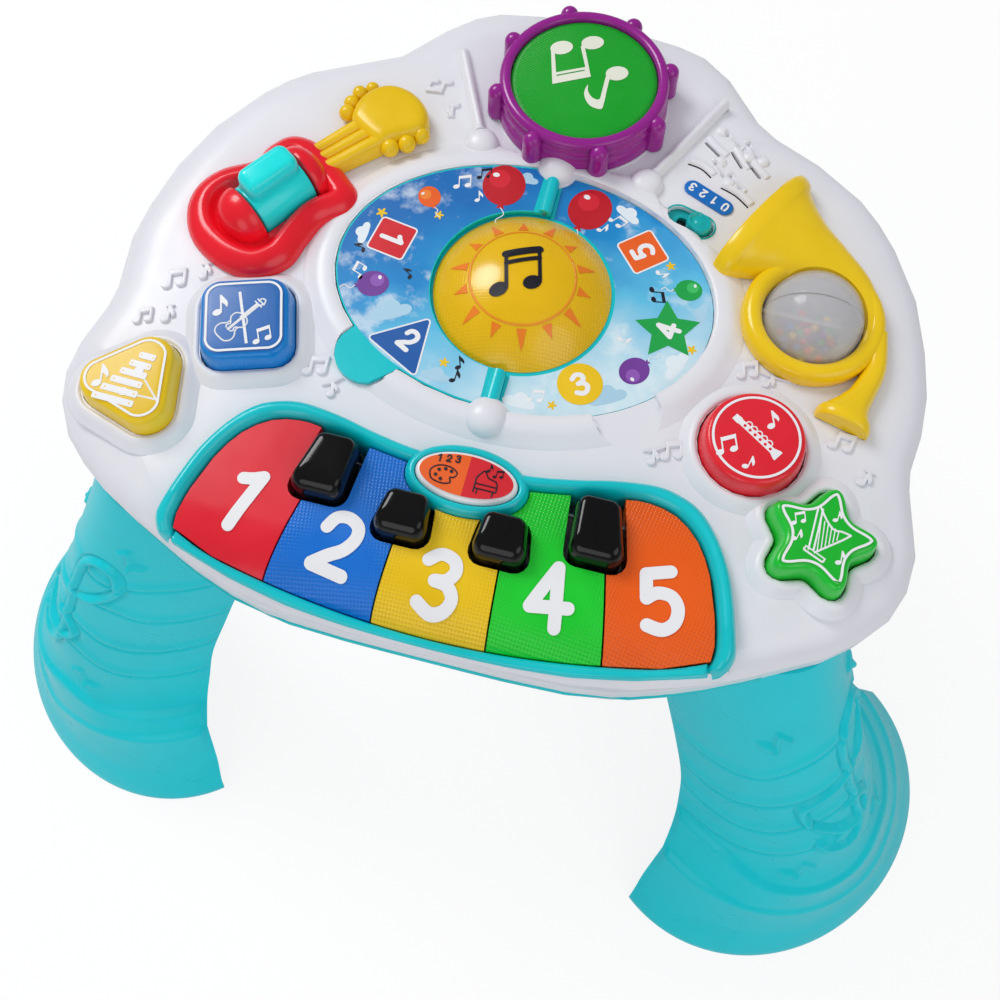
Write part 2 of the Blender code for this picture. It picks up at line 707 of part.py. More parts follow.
def raised_ring():
    """Soft lip around the picture, with the hollows that the page's tab drops into."""
    low = DECK_TOP_HEIGHT - WALL / 2
    hole = DISC_HALF_WIDTH + 2 * FIT_GAP
    hole_depth = DISC_HALF_DEPTH + 2 * FIT_GAP
    lip = prism("ring", ellipse(hole + RING_WIDTH, hole_depth + RING_WIDTH), low,
                DECK_TOP_HEIGHT + RING_HEIGHT, round_top=RING_HEIGHT * 0.9)
    edge = offset(page_outline(), SLIDE_GAP)
    tab = [i for i, p in enumerate(edge)
           if math.hypot(p.x / DISC_HALF_WIDTH, p.y / DISC_HALF_DEPTH) > TAB_START_SHARE]
    room = edge[tab[0] - 1:tab[-1] + 2]
    room += [room[-1] * 0.9, room[0] * 0.9]
    for outline in (room, [Vector((-p.x, p.y)) for p in reversed(room)]):
        cut(lip, prism("tab_hollow", outline, PAGE_BOTTOM - FIT_GAP, DECK_TOP_HEIGHT + 2 * RING_HEIGHT))
    return lip


def build_deck(key_bay, button_holes, strum_window):
    deck = deck_blank()
    for outline, spot in button_holes:
        ring = moved(offset(outline, COLLAR_WIDTH), spot)
        join(deck, prism("collar", ring, DECK_TOP_HEIGHT - COLLAR_DEPTH,
                         DECK_TOP_HEIGHT + COLLAR_HEIGHT, round_top=COLLAR_WIDTH * 0.5))
    lip = raised_ring()
    for side in (1, -1):
        join(lip, knob_cap("bump", (0, side * HINGE_BUMP_REACH, DECK_TOP_HEIGHT), HINGE_BUMP_RADIUS,
                           HINGE_BUMP_HEIGHT))
    drum = place(DRUM_PLACE_SHARES)
    upper = DECK_TOP_HEIGHT + 2 * BUTTON_TOP
    drum_edge = [Vector((p.x, p.y)) for p in rim_ring(drum, DRUM_RIM_FOOT_RADIUS, DRUM_LUG_RADIUS, 0)]
    cut(lip, prism("drum_room", offset(drum_edge, SLIDE_GAP), DECK_TOP_HEIGHT - WALL, upper))
    guitar = offset(thin(smooth_loop([place(s) for s in GUITAR_BODY_SHARES], 3)), 2 * FIT_GAP)
    cut(lip, prism("guitar_room", guitar, DECK_TOP_HEIGHT - WALL, upper))
    cut(lip, flared_tube("horn_room", HORN_BELL_SHARES, DECK_TOP_HEIGHT - FIT_GAP, 2 * FIT_GAP))
    join(deck, lip)
    for head_share, tail_share in MALLET_SHARES:
        head, tail = place(head_share), place(tail_share)
        join(deck, knob_cap("mallet_ball", (head.x, head.y, DECK_TOP_HEIGHT), MALLET_BALL_RADIUS,
                            MALLET_BALL_HEIGHT))
        stick_z = DECK_TOP_HEIGHT - WALL / 3
        join(deck, rod("mallet_stick", (head.x, head.y, stick_z), (tail.x, tail.y, stick_z),
                       MALLET_STICK_RADIUS, 8))
    join(deck, prism("drum_seat", circle(DRUM_RIM_FOOT_RADIUS + DRUM_SEAT_EDGE, STEPS_ROUND, drum),
                     DECK_TOP_HEIGHT - WALL * 0.8, DECK_TOP_HEIGHT + DRUM_SEAT_HEIGHT))
    for outline, spot in button_holes:
        cut(deck, prism("button_hole", moved(offset(outline, SLIDE_GAP), spot),
                        DECK_SKIRT_BOTTOM, DECK_TOP_HEIGHT + BUTTON_TOP))
    tall = DECK_TOP_HEIGHT + BUTTON_TOP
    cut(deck, prism("disc_hole", ellipse(DISC_HALF_WIDTH + FIT_GAP, DISC_HALF_DEPTH + FIT_GAP),
                    DECK_SKIRT_BOTTOM, tall))
    cut(deck, prism("drum_hole", circle(DRUM_HEAD_RADIUS - DRUM_CUSHION_WIDTH, STEPS_ROUND, drum),
                    DECK_SKIRT_BOTTOM, tall))
    horn = place(HORN_PLACE_SHARES)
    cut(deck, prism("ball_hole", circle(BALL_RADIUS + BALL_CLEARANCE, STEPS_ROUND, horn),
                    DECK_SKIRT_BOTTOM, tall))
    cut(deck, strum_window)
    switch = place(SWITCH_PLACE_SHARES)
    slot = moved(turned(capsule(SWITCH_SLOT_HALF_LENGTH, SWITCH_SLOT_RADIUS), SWITCH_TURN_DEG), switch)
    cut(deck, prism("switch_hole", slot, DECK_SKIRT_BOTTOM, tall))
    speaker = place(SPEAKER_PLACE_SHARES)
    for (x_share, y_share), turn in SPEAKER_SLOT_SHARES:
        spot = speaker + Vector((x_share, y_share)) * SPEAKER_RADIUS
        shape = moved(turned(capsule(SLOT_HALF_LENGTH, SLOT_HALF_WIDTH, 2), turn), spot)
        cut(deck, prism("speaker_slot", shape, DECK_SKIRT_BOTTOM, tall))
    cut(deck, key_bay)
    for side in (1, -1):
        cut(deck, rod("pin_bore", (0, side * BARREL_REACH / 2, HINGE_AXIS_HEIGHT),
                      (0, side * (HINGE_PIN_REACH + FIT_GAP), HINGE_AXIS_HEIGHT),
                      HINGE_PIN_RADIUS + FIT_GAP, 12))
    return finish(deck, "top_deck", WHITE)


# Legs

def leg_loop(station, grow=0.0, chord=0.0):
    """D-shaped section of a leg: a half ellipse closed by its open edge."""
    height_share, reach_share, depth_share, width_share = station
    reach = LEG_REACH * reach_share
    depth = FOOT_DEPTH * depth_share + grow
    width = FOOT_HALF_WIDTH * width_share + grow
    height = LEG_HEIGHT * height_share
    points = []
    for i in range(LEG_ARC_STEPS + 1):
        turn = math.radians(-90 + 180 * i / LEG_ARC_STEPS)
        points.append(Vector((reach + depth * math.cos(turn), width * math.sin(turn), height)))
    points.append(Vector((reach - chord, width, height)))
    points.append(Vector((reach - chord, -width, height)))
    return points


def station_at(height):
    """Section of the leg at any height, between the named stations."""
    share = height / LEG_HEIGHT
    for low, high in zip(LEG_STATION_SHARES, LEG_STATION_SHARES[1:]):
        if low[0] <= share <= high[0]:
            t = (share - low[0]) / (high[0] - low[0])
            return tuple(a + (b - a) * t for a, b in zip(low, high))
    first, last = LEG_STATION_SHARES[-2:]
    t = (share - first[0]) / (last[0] - first[0])
    return tuple(a + (b - a) * t for a, b in zip(first, last))


def leg_rows(bottom, top):
    """Heights between two limits at which the leg's section is drawn."""
    inside = [s[0] * LEG_HEIGHT for s in LEG_STATION_SHARES if bottom < s[0] * LEG_HEIGHT < top]
    return [bottom] + inside + [top]


def leg_envelope(name, bottom, top, grow, chord):
    """Closed column that follows the leg between two heights."""
    return solid(name, [leg_loop(station_at(h), grow, chord) for h in leg_rows(bottom, top)])


def leg_mesh():
    """One leg in its own frame: +X points outwards from the middle of the table."""
    top = LEG_HEIGHT - FIT_GAP
    plug = LEG_HEIGHT - LEG_PLUG_HEIGHT
    leg = leg_envelope("leg", 0.0, top, 0.0, LEG_WALL)
    rings = [leg_loop(station_at(h), -LEG_WALL, 3 * LEG_WALL) for h in leg_rows(-CUT_OVERRUN, plug)]
    rings += [leg_loop(station_at(h), -LEG_WALL, 0.0) for h in leg_rows(plug, top - LEG_WALL)]
    cut(leg, solid("leg_hollow", rings))
    return leg


def leg_frames():
    """Name, turn and start of each of the three legs."""
    spread = math.radians(LEG_SPREAD_DEG)
    return (("leg_front_right", -spread, Vector((0, 0, 0))),
            ("leg_front_left", math.pi + spread, Vector((0, 0, 0))),
            ("leg_back", math.pi / 2, Vector((0, LEG_BACK_START, 0))))


def build_legs():
    shape = leg_mesh()
    for name, turn, start in leg_frames():
        piece = bpy.data.objects.new(name, shape.data.copy())
        bpy.context.collection.objects.link(piece)
        finish(piece, name, TEAL)
        piece.rotation_euler = (0, 0, turn)
        piece.location = start + SHIFT
    bpy.data.objects.remove(shape, do_unlink=True)


# Bottom shell

def build_bottom_shell(door_outline, board_posts):
    outer, inner = [], []
    rim = offset(DECK_OUTLINE, -SHELL_INSET)
    for row, (scale_share, depth_share) in enumerate(SHELL_SECTION_SHARES):
        height = SHELL_TOP - depth_share * SHELL_DEPTH
        ring = [p * scale_share for p in rim]
        outer.append(level(ring, height))
        if row != 2:
            inner.append(level(offset(ring, -WALL), height + WALL))
    inner[0] = [Vector((p.x, p.y, SHELL_TOP + CUT_OVERRUN)) for p in inner[0]]
    shell = solid("bottom_shell", outer)
    cut(shell, solid("shell_hollow", inner))
    for spot in board_posts:
        join(shell, prism("post", circle(BOARD_POST_RADIUS, 14, spot), SHELL_FLOOR - WALL / 2,
                          BOARD_TOP - BOARD_THICKNESS - FIT_GAP))
    for name, turn, start in leg_frames():
        tool = leg_envelope("leg_socket", SHELL_BOTTOM - CUT_OVERRUN, SHELL_TOP + CUT_OVERRUN,
                            FIT_GAP, LEG_WALL + FIT_GAP)
        tool.data.transform(Matrix.Translation(start) @ Matrix.Rotation(turn, 4, "Z"))
        cut(shell, tool)
    cut(shell, prism("door_hole", door_outline, SHELL_BOTTOM - CUT_OVERRUN, SHELL_FLOOR + CUT_OVERRUN))
    return finish(shell, "bottom_shell", TEAL)


# Picture plate, page, hinge pins and dome

def build_picture():
    top = DISC_TOP
    plate = prism("plate", ellipse(DISC_HALF_WIDTH, DISC_HALF_DEPTH), top - WALL - FIT_GAP, top)
    flange_top = DECK_TOP_HEIGHT - WALL - FIT_GAP
    join(plate, prism("flange", ellipse(DISC_HALF_WIDTH + PLATE_FLANGE, DISC_HALF_DEPTH + PLATE_FLANGE),
                      flange_top - PLATE_THICKNESS, flange_top))
    switch = offset(switch_outline(), SLIDE_GAP)
    cut(plate, prism("switch_room", switch, flange_top - 2 * PLATE_THICKNESS, top + CUT_OVERRUN))
    for side in (1, -1):
        start, end = side * (DOME_RADIUS + DOME_GAP - side * DOME_FORWARD), side * 2 * DISC_HALF_DEPTH
        cut(plate, rod("barrel_trough", (0, start, HINGE_AXIS_HEIGHT), (0, end, HINGE_AXIS_HEIGHT),
                       HINGE_RADIUS + SLIDE_GAP, STEPS_SMALL))
    centre = (0, -DOME_FORWARD)
    cut(plate, prism("lamp_hole", circle(DOME_RADIUS * 0.8, STEPS_ROUND, centre),
                     flange_top - 2 * PLATE_THICKNESS, top + CUT_OVERRUN))
    finish(plate, "picture_plate", SKY)

    ball_radius = (DOME_RADIUS**2 + DOME_HEIGHT**2) / (2 * DOME_HEIGHT)
    outer, inner = [], []
    for i in range(6):
        share = i / 5
        radius = DOME_RADIUS * math.cos(math.radians(90 * share))
        rise = math.sqrt(ball_radius**2 - radius**2) - (ball_radius - DOME_HEIGHT)
        outer.append((radius, rise))
        inner_radius = (DOME_RADIUS - WALL) * math.sin(math.radians(90 * share))
        inner_ball = ball_radius - WALL
        inner_rise = math.sqrt(inner_ball**2 - inner_radius**2) - (ball_radius - DOME_HEIGHT)
        inner.append((inner_radius, inner_rise))
    outer[-1] = (0, DOME_HEIGHT)
    inner[0] = (0, inner[0][1])
    profile = [(r, h) for r, h in reversed(outer)] + [(DOME_RADIUS - WALL, 0.0)]
    profile += [(r, h) for r, h in reversed(inner[:-1])]
    base = DISC_TOP + FIT_GAP
    dome = lathe("sun_dome", profile, 28, (0, -DOME_FORWARD, base))
    finish(dome, "sun_dome", DOME_YELLOW)


def page_outline():
    """Left half of the picture, with its round tab and its gaps at the dome and hinge bumps."""
    tab = place(PAGE_TAB_PLACE_SHARES)
    outline = []
    count = 90
    for i in range(count + 1):
        turn = math.radians(90 + 180 * i / count)
        way = Vector((math.cos(turn), math.sin(turn)))
        reach = 1 / math.hypot(way.x / (DISC_HALF_WIDTH - FIT_GAP), way.y / (DISC_HALF_DEPTH - FIT_GAP))
        along = tab.dot(way)
        inside = PAGE_TAB_RADIUS**2 - (tab.length_squared - along**2)
        if inside > 0 and along > 0:
            reach = max(reach, along + math.sqrt(inside))
        outline.append(way * reach)
    edge = [p for p in outline if p.x < -FIT_GAP]
    high = [Vector((0, outline[0].y))]
    low = [Vector((0, outline[-1].y))]
    dome = []
    for i in range(25):
        turn = math.radians(270 - 180 * i / 24)
        dome.append(Vector((math.cos(turn), math.sin(turn))) * (DOME_RADIUS + DOME_GAP)
                    - Vector((0, DOME_FORWARD)))
    return high + thin(edge, OUTLINE_TOLERANCE / 3) + low + dome


def barrel_spans():
    """Start and end along Y of the page's two hinge barrels."""
    clear = DOME_RADIUS + DOME_GAP + FIT_GAP
    return ((clear - DOME_FORWARD, BARREL_REACH - FIT_GAP), (-BARREL_REACH + FIT_GAP, -clear - DOME_FORWARD))


def build_page():
    top = PAGE_BOTTOM + PAGE_THICKNESS
    page = prism("page", page_outline(), PAGE_BOTTOM, top)
    for start, end in barrel_spans():
        join(page, rod("barrel", (0, start, HINGE_AXIS_HEIGHT), (0, end, HINGE_AXIS_HEIGHT),
                       HINGE_RADIUS, STEPS_SMALL))
    for start, end in barrel_spans():
        cut(page, rod("page_bore", (0, start - CUT_OVERRUN, HINGE_AXIS_HEIGHT),
                      (0, end + CUT_OVERRUN, HINGE_AXIS_HEIGHT), HINGE_PIN_RADIUS + FIT_GAP, 12))
    finish(page, "page", SKY, (0, 0, HINGE_AXIS_HEIGHT))

    far_span, near_span = barrel_spans()
    ends = (("hinge_pin_back", far_span[0], HINGE_PIN_REACH), ("hinge_pin_front", -HINGE_PIN_REACH, near_span[1]))
    for name, start, end in ends:
        pin = rod(name, (0, start, HINGE_AXIS_HEIGHT), (0, end, HINGE_AXIS_HEIGHT), HINGE_PIN_RADIUS, 12)
        finish(pin, name, STEEL, (0, (start + end) / 2, HINGE_AXIS_HEIGHT))


# Keyboard

KEY_FIELD_RIGHT = [key_place(s) for s in KEY_FIELD_SHARES]


def front_arc(x, back_by=0.0):
    """Y of the keyboard's front edge, which bows towards the player."""
    share = x / KEY_HALF_SPAN
    return -(KEY_FRONT - KEY_FRONT_SAG * share**2) + back_by


def front_fall(y, top, nose):
    """Height of a surface that is level and then rolls over the front edge."""
    start = -KEY_SLOPE_START
    if y >= start:
        return top
    share = min(1.0, (start - y) / (KEY_FRONT - KEY_SLOPE_START))
    return top - nose * (0.25 * share + 0.75 * share**3)


def keyboard_outline(right, back_by):
    """Anticlockwise outline with a bowed front and a smooth back, from its right half."""
    reach = right[0].x
    count = 12
    front = []
    for i in range(1, count):
        x = -reach + 2 * reach * i / count
        front.append(Vector((x, front_arc(x, back_by))))
    side = smooth_open(right, 2)
    middle = [p for p in side if p.x > FIT_GAP]
    left = [Vector((-p.x, p.y)) for p in reversed(middle)]
    return thin(front + middle + [Vector((0, right[-1].y))] + left)


def key_field(grow=0.0):
    """Outline of the opening that the keys fill."""
    return offset(keyboard_outline(KEY_FIELD_RIGHT, FIT_GAP), grow)


def frame_outline():
    right = [key_place((x * FRAME_HALF_WIDTH / KEY_HALF_SPAN, y)) for x, y in FRAME_OUTER_SHARES]
    return keyboard_outline(right, -FRAME_LIP)


def mode_place():
    return place(MODE_PLACE_SHARES)


def curtain(name, outline_x, low_y, high_y, top, nose, bottom, drop=0.0):
    """Block across the keyboard whose top rolls over the front edge."""
    rings = []
    slope = [-KEY_FRONT + (KEY_FRONT - KEY_SLOPE_START) * i / 6 for i in range(7)]
    for y in [low_y] + [y for y in slope if low_y < y < high_y] + [high_y]:
        z = front_fall(y, top, nose) - drop
        rings.append([Vector((outline_x[0], y, bottom)), Vector((outline_x[1], y, bottom)),
                      Vector((outline_x[1], y, z)), Vector((outline_x[0], y, z))])
    return solid(name, rings)


def build_frame():
    deck = DECK_TOP_HEIGHT
    frame = prism("frame", frame_outline(), deck - FRAME_DEPTH, deck + FRAME_HEIGHT, round_top=FRAME_ROUND)
    wide = FRAME_HALF_WIDTH + CUT_OVERRUN
    roof = curtain("frame_fall", (-wide, wide), -FRAME_REACH - CUT_OVERRUN, -KEY_SLOPE_START,
                   deck + FRAME_HEIGHT, KEY_NOSE_DROP + FRAME_HEIGHT * 0.2, deck + 2 * FRAME_HEIGHT)
    cut(frame, roof)
    centre = mode_place()
    cut(frame, prism("key_opening", key_field(FIT_GAP), deck - FRAME_DEPTH - CUT_OVERRUN,
                     deck + FRAME_HEIGHT + CUT_OVERRUN))
    bezel = ellipse(MODE_HALF_WIDTH + MODE_BEZEL_WIDTH, MODE_HALF_DEPTH + MODE_BEZEL_WIDTH, 36, centre)
    join(frame, prism("bezel", bezel, deck + FIT_GAP, deck + MODE_BEZEL_TOP, round_top=FRAME_ROUND * 0.7))
    cut(frame, prism("bezel_hole", ellipse(MODE_HALF_WIDTH + SLIDE_GAP, MODE_HALF_DEPTH + SLIDE_GAP, 36,
                                           centre),
                     deck - FRAME_DEPTH - CUT_OVERRUN, deck + MODE_BEZEL_TOP + CUT_OVERRUN))
    finish(frame, "keyboard_frame", TEAL)

    button = prism("mode", ellipse(MODE_HALF_WIDTH, MODE_HALF_DEPTH, 36, centre),
                   deck + MODE_TRAVEL + FIT_GAP, deck + MODE_TOP, round_top=BUTTON_ROUND * 0.7)
    finish(button, "mode_button", WHITE, (centre.x, centre.y, deck + MODE_TOP))


def key_bay():
    """Cutter that opens the deck for the keyboard and lowers its front rim."""
    deck = DECK_TOP_HEIGHT
    bay = prism("key_bay", offset(frame_outline(), FIT_GAP), deck - FRAME_DEPTH - FIT_GAP,
                deck + FRAME_HEIGHT + CUT_OVERRUN)
    deep = key_field(FRAME_LIP * 0.5)
    join(bay, prism("bay_well", deep, DECK_SKIRT_BOTTOM - CUT_OVERRUN, deck))
    reach = FRAME_HALF_WIDTH * 0.957
    front = [Vector((-reach, -FRAME_REACH * 1.08)), Vector((reach, -FRAME_REACH * 1.08)),
             Vector((reach, -KEY_SLOPE_START)), Vector((-reach, -KEY_SLOPE_START))]
    join(bay, prism("bay_front", front, deck - FRAME_DEPTH - FIT_GAP, deck + FRAME_HEIGHT))
    return bay


def gap_x(index, y):
    """X of the gap between two neighbouring keys at a given Y."""
    front = KEY_GAP_FRONT_SHARES[index] * KEY_HALF_SPAN
    back = KEY_GAP_BACK_SHARES[index] * KEY_HALF_SPAN
    share = (y + KEY_FRONT) / (KEY_FRONT - KEY_FIELD_SHARES[-3][1] * -FRAME_REACH)
    return front + (back - front) * share


def black_key_outline(index, grow=0.0, longer=0.0, lean=0.0):
    """Rounded wedge of a black key: grown all round, longer at the back, leaning back in front."""
    (front_share, back_share) = BLACK_KEY_PLACE_SHARES[index]
    front, back = key_place(front_share), key_place(back_share)
    front = front + (back - front).normalized() * lean
    back = back + (back - front).normalized() * longer
    corners = [Vector((front.x - BLACK_KEY_HALF_FRONT, front.y)),
               Vector((front.x + BLACK_KEY_HALF_FRONT, front.y)),
               Vector((back.x + BLACK_KEY_HALF_BACK, back.y)),
               Vector((back.x - BLACK_KEY_HALF_BACK, back.y))]
    return offset(rounded_polygon(corners, BLACK_KEY_ROUND, 4), grow)


def bezel_tool(grow, bottom, top):
    outline = ellipse(MODE_HALF_WIDTH + MODE_BEZEL_WIDTH + grow, MODE_HALF_DEPTH + MODE_BEZEL_WIDTH + grow,
                      36, mode_place())
    return prism("bezel_room", outline, bottom, top)


def key_strip(name, index, grow, drop, bottom):
    """Slice of the key field between two gaps, rolled over at the front."""
    field = keyboard_slice(index, grow)
    low = -KEY_FRONT - CUT_OVERRUN
    high = KEY_FIELD_SHARES[-3][1] * FRAME_REACH + 4 * CUT_OVERRUN
    body = curtain(name, (-KEY_HALF_SPAN * 1.1, KEY_HALF_SPAN * 1.1), low, high, KEY_Z, KEY_NOSE_DROP,
                   bottom, drop)
    keep_common(body, prism("slice", field, bottom - CUT_OVERRUN, KEY_Z + CUT_OVERRUN))
    return body


def keyboard_slice(index, grow):
    """Plan outline of one key, cut from the key field."""
    field = key_field(-FIT_GAP - KEY_GAP / 2 + grow)
    low, high = min(p.y for p in field) - CUT_OVERRUN, max(p.y for p in field) + CUT_OVERRUN
    for edge, keep_right in ((index - 1, True), (index, False)):
        if 0 <= edge < len(KEY_GAP_FRONT_SHARES):
            side = 1 if keep_right else -1
            shift = side * (KEY_GAP / 2 - grow)
            a = Vector((gap_x(edge, low) + shift, low))
            b = Vector((gap_x(edge, high) + shift, high))
            field = clip(field, a, b, side)
    return field


def clip(outline, a, b, side):
    """Part of an outline on one side of the line from a to b."""
    across = Vector(((b - a).y, -(b - a).x)).normalized() * side
    out = []
    count = len(outline)
    for i, p in enumerate(outline):
        q = outline[(i + 1) % count]
        here, there = (p - a).dot(across), (q - a).dot(across)
        if here >= 0:
            out.append(p)
        if here * there < 0:
            out.append(p + (q - p) * (here / (here - there)))
    return out


def build_keys():
    rod_z = DECK_TOP_HEIGHT - KEY_ROD_DEPTH
    for index in range(len(KEY_LOOKS)):
        name = "key_%d" % (index + 1)
        key = key_strip(name, index, 0.0, 0.0, KEY_BOTTOM)
        hollow = key_strip("key_hollow", index, -KEY_WALL, KEY_WALL, KEY_BOTTOM - CUT_OVERRUN)
        for near in (index - 1, index):
            if 0 <= near < len(BLACK_KEY_PLACE_SHARES):
                longer = 0.0 if abs(BLACK_KEY_PLACE_SHARES[near][0][0]) < 0.3 else BLACK_KEY_HALF_FRONT
                cut(hollow, prism("notch_wall", black_key_outline(near, BLACK_KEY_GAP + KEY_WALL, longer),
                                  KEY_BOTTOM - 2 * CUT_OVERRUN, KEY_Z + CUT_OVERRUN))
                cut(key, prism("notch", black_key_outline(near, BLACK_KEY_GAP, longer),
                               KEY_BOTTOM - 2 * CUT_OVERRUN, KEY_Z + CUT_OVERRUN))
        under_bezel = DECK_TOP_HEIGHT - SLIDE_GAP - MODE_CLEARANCE
        cut(hollow, bezel_tool(SLIDE_GAP + KEY_WALL, under_bezel - KEY_WALL, KEY_Z + CUT_OVERRUN))
        cut(key, hollow)
        cut(key, bezel_tool(SLIDE_GAP, under_bezel, KEY_Z + CUT_OVERRUN))
        cut(key, rod("rod_bore", (-KEY_HALF_SPAN, -KEY_ROD_BACK, rod_z),
                     (KEY_HALF_SPAN, -KEY_ROD_BACK, rod_z), KEY_ROD_RADIUS + FIT_GAP, 12))
        finish(key, name, KEY_LOOKS[index], (0, -KEY_ROD_BACK, rod_z))
    long_rod = rod("key_rod", (-KEY_ROD_HALF_LENGTH, -KEY_ROD_BACK, rod_z),
                   (KEY_ROD_HALF_LENGTH, -KEY_ROD_BACK, rod_z), KEY_ROD_RADIUS, 12)
    finish(long_rod, "key_rod", STEEL, (0, -KEY_ROD_BACK, rod_z))


def build_black_keys():
    for index in range(len(BLACK_KEY_PLACE_SHARES)):
        name = "black_key_%d" % (index + 1)
        outline = black_key_outline(index)
        top = DECK_TOP_HEIGHT + BLACK_KEY_TOP
        rings = [level(outline, BED_TOP + FIT_GAP), level(outline, KEY_Z + FIT_GAP)]
        for rise_share, side_share, lean_share in BLACK_KEY_SHARES:
            shape = black_key_outline(index, -BLACK_KEY_CHAMFER * side_share, 0.0, BLACK_KEY_LEAN * lean_share)
            rings.append(level(shape, KEY_Z + (top - KEY_Z) * rise_share))
        key = solid(name, rings)
        cut(key, bezel_tool(SLIDE_GAP, DECK_TOP_HEIGHT - FRAME_DEPTH, top + CUT_OVERRUN))
        rod_z = DECK_TOP_HEIGHT - KEY_ROD_DEPTH
        cut(key, rod("rod_room", (-KEY_HALF_SPAN, -KEY_ROD_BACK, rod_z),
                     (KEY_HALF_SPAN, -KEY_ROD_BACK, rod_z), KEY_ROD_RADIUS + FIT_GAP, 12))
        middle = key_place(BLACK_KEY_PLACE_SHARES[index][0])
        finish(key, name, BLACK, (middle.x, middle.y, BED_TOP + FIT_GAP))


def build_key_bed():
    bed = prism("bed", key_field(-FIT_GAP), BED_TOP - BED_THICKNESS, BED_TOP)
    for shares in BED_POST_SHARES:
        join(bed, prism("bed_post", circle(BED_POST_RADIUS, 14, key_place(shares)),
                        SHELL_FLOOR + FIT_GAP, BED_TOP - BED_THICKNESS / 2))
    finish(bed, "key_bed", BLACK)


# Push buttons

def button_shapes():
    """Name, outline, place and material of the four push buttons."""
    half = SQUARE_BUTTON_HALF
    square = [Vector((-half, -half)), Vector((half, -half)), Vector((half, half)), Vector((-half, half))]
    reach = TRIANGLE_BUTTON_RADIUS
    thirds = [Matrix.Rotation(math.radians(120 * i), 2) @ Vector((reach, 0)) for i in range(3)]
    return (
        ("blue_button", turned(rounded_polygon(square, SQUARE_BUTTON_CORNER), BLUE_TURN_DEG),
         place(BLUE_PLACE_SHARES), BLUE),
        ("yellow_button", turned(rounded_polygon(thirds, TRIANGLE_BUTTON_CORNER, 8), YELLOW_TURN_DEG),
         place(YELLOW_PLACE_SHARES), YELLOW),
        ("red_button", circle(ROUND_BUTTON_RADIUS), place(RED_PLACE_SHARES), RED),
        ("green_button", turned(star(STAR_BUTTON_RADIUS, STAR_VALLEY_RADIUS), GREEN_TURN_DEG),
         place(GREEN_PLACE_SHARES), GREEN),
    )


def build_buttons():
    deck = DECK_TOP_HEIGHT
    flange_top = deck - COLLAR_DEPTH - FIT_GAP
    flange_bottom = flange_top - BUTTON_FLANGE_THICKNESS
    for name, outline, spot, look in button_shapes():
        at_place = moved(outline, spot)
        rings = [level(at_place, flange_top - BUTTON_FLANGE_THICKNESS / 2), level(at_place, deck + COLLAR_HEIGHT)]
        reach = max(p.length for p in outline)
        for turn in ROUND_TURNS:
            inset = BUTTON_DRAFT + BUTTON_ROUND * (1 - math.cos(math.radians(turn)))
            fall = BUTTON_ROUND * (1 - math.sin(math.radians(turn)))
            smaller = [p * (1 - inset / reach) for p in outline]
            rings.append(level(moved(smaller, spot), deck + BUTTON_TOP - fall))
        cap = solid(name, rings)
        flange = moved(offset(outline, BUTTON_FLANGE), spot)
        join(cap, prism("flange", flange, flange_bottom, flange_top))
        finish(cap, name, look, (spot.x, spot.y, flange_bottom))
        rise = flange_bottom - FIT_GAP - (BOARD_TOP + FIT_GAP)
        profile = [(0, 0), (SPRING_FOOT_RADIUS, 0), (SPRING_FOOT_RADIUS, rise * 0.15),
                   (SPRING_NECK_RADIUS, rise * 0.7), (SPRING_NECK_RADIUS, rise), (0, rise)]
        spring = lathe(name + "_spring", profile, 12, (spot.x, spot.y, BOARD_TOP + FIT_GAP))
        finish(spring, name + "_spring", RUBBER, (spot.x, spot.y, BOARD_TOP + FIT_GAP))


def board_outline(a, b):
    """Capsule-shaped board that spans two places."""
    middle = (a + b) / 2
    half = (b - a).length / 2 + BOARD_RADIUS
    turn = math.degrees(math.atan2((b - a).y, (b - a).x))
    return moved(turned(capsule(half, BOARD_RADIUS, 8), turn), middle)


def build_boards():
    pairs = (("button_board_left", BLUE_PLACE_SHARES, YELLOW_PLACE_SHARES),
             ("button_board_right", RED_PLACE_SHARES, GREEN_PLACE_SHARES))
    for name, first, second in pairs:
        board = prism(name, board_outline(place(first), place(second)), BOARD_TOP - BOARD_THICKNESS,
                      BOARD_TOP)
        finish(board, name, BOARD)


# Drum

def rim_ring(spot, radius, lug, z):
    """Circle with eight round lugs standing out of it."""
    points = []
    reach = DRUM_RIM_TOP_RADIUS + DRUM_LUG_RADIUS * 0.35
    for i in range(DRUM_LUG_COUNT):
        middle = DRUM_LUG_TURN_DEG + 360 * i / DRUM_LUG_COUNT
        for swing in (-6.3, -5.2, -2.2, 2.2, 5.2, 6.3, 16.5, 28.5):
            turn = math.radians(swing)
            far = radius
            inside = lug**2 - (reach * math.sin(turn))**2
            if inside > 0:
                far = max(radius, reach * math.cos(turn) + math.sqrt(inside))
            angle = math.radians(middle + swing)
            points.append(Vector((spot.x + far * math.cos(angle), spot.y + far * math.sin(angle), z)))
    return points


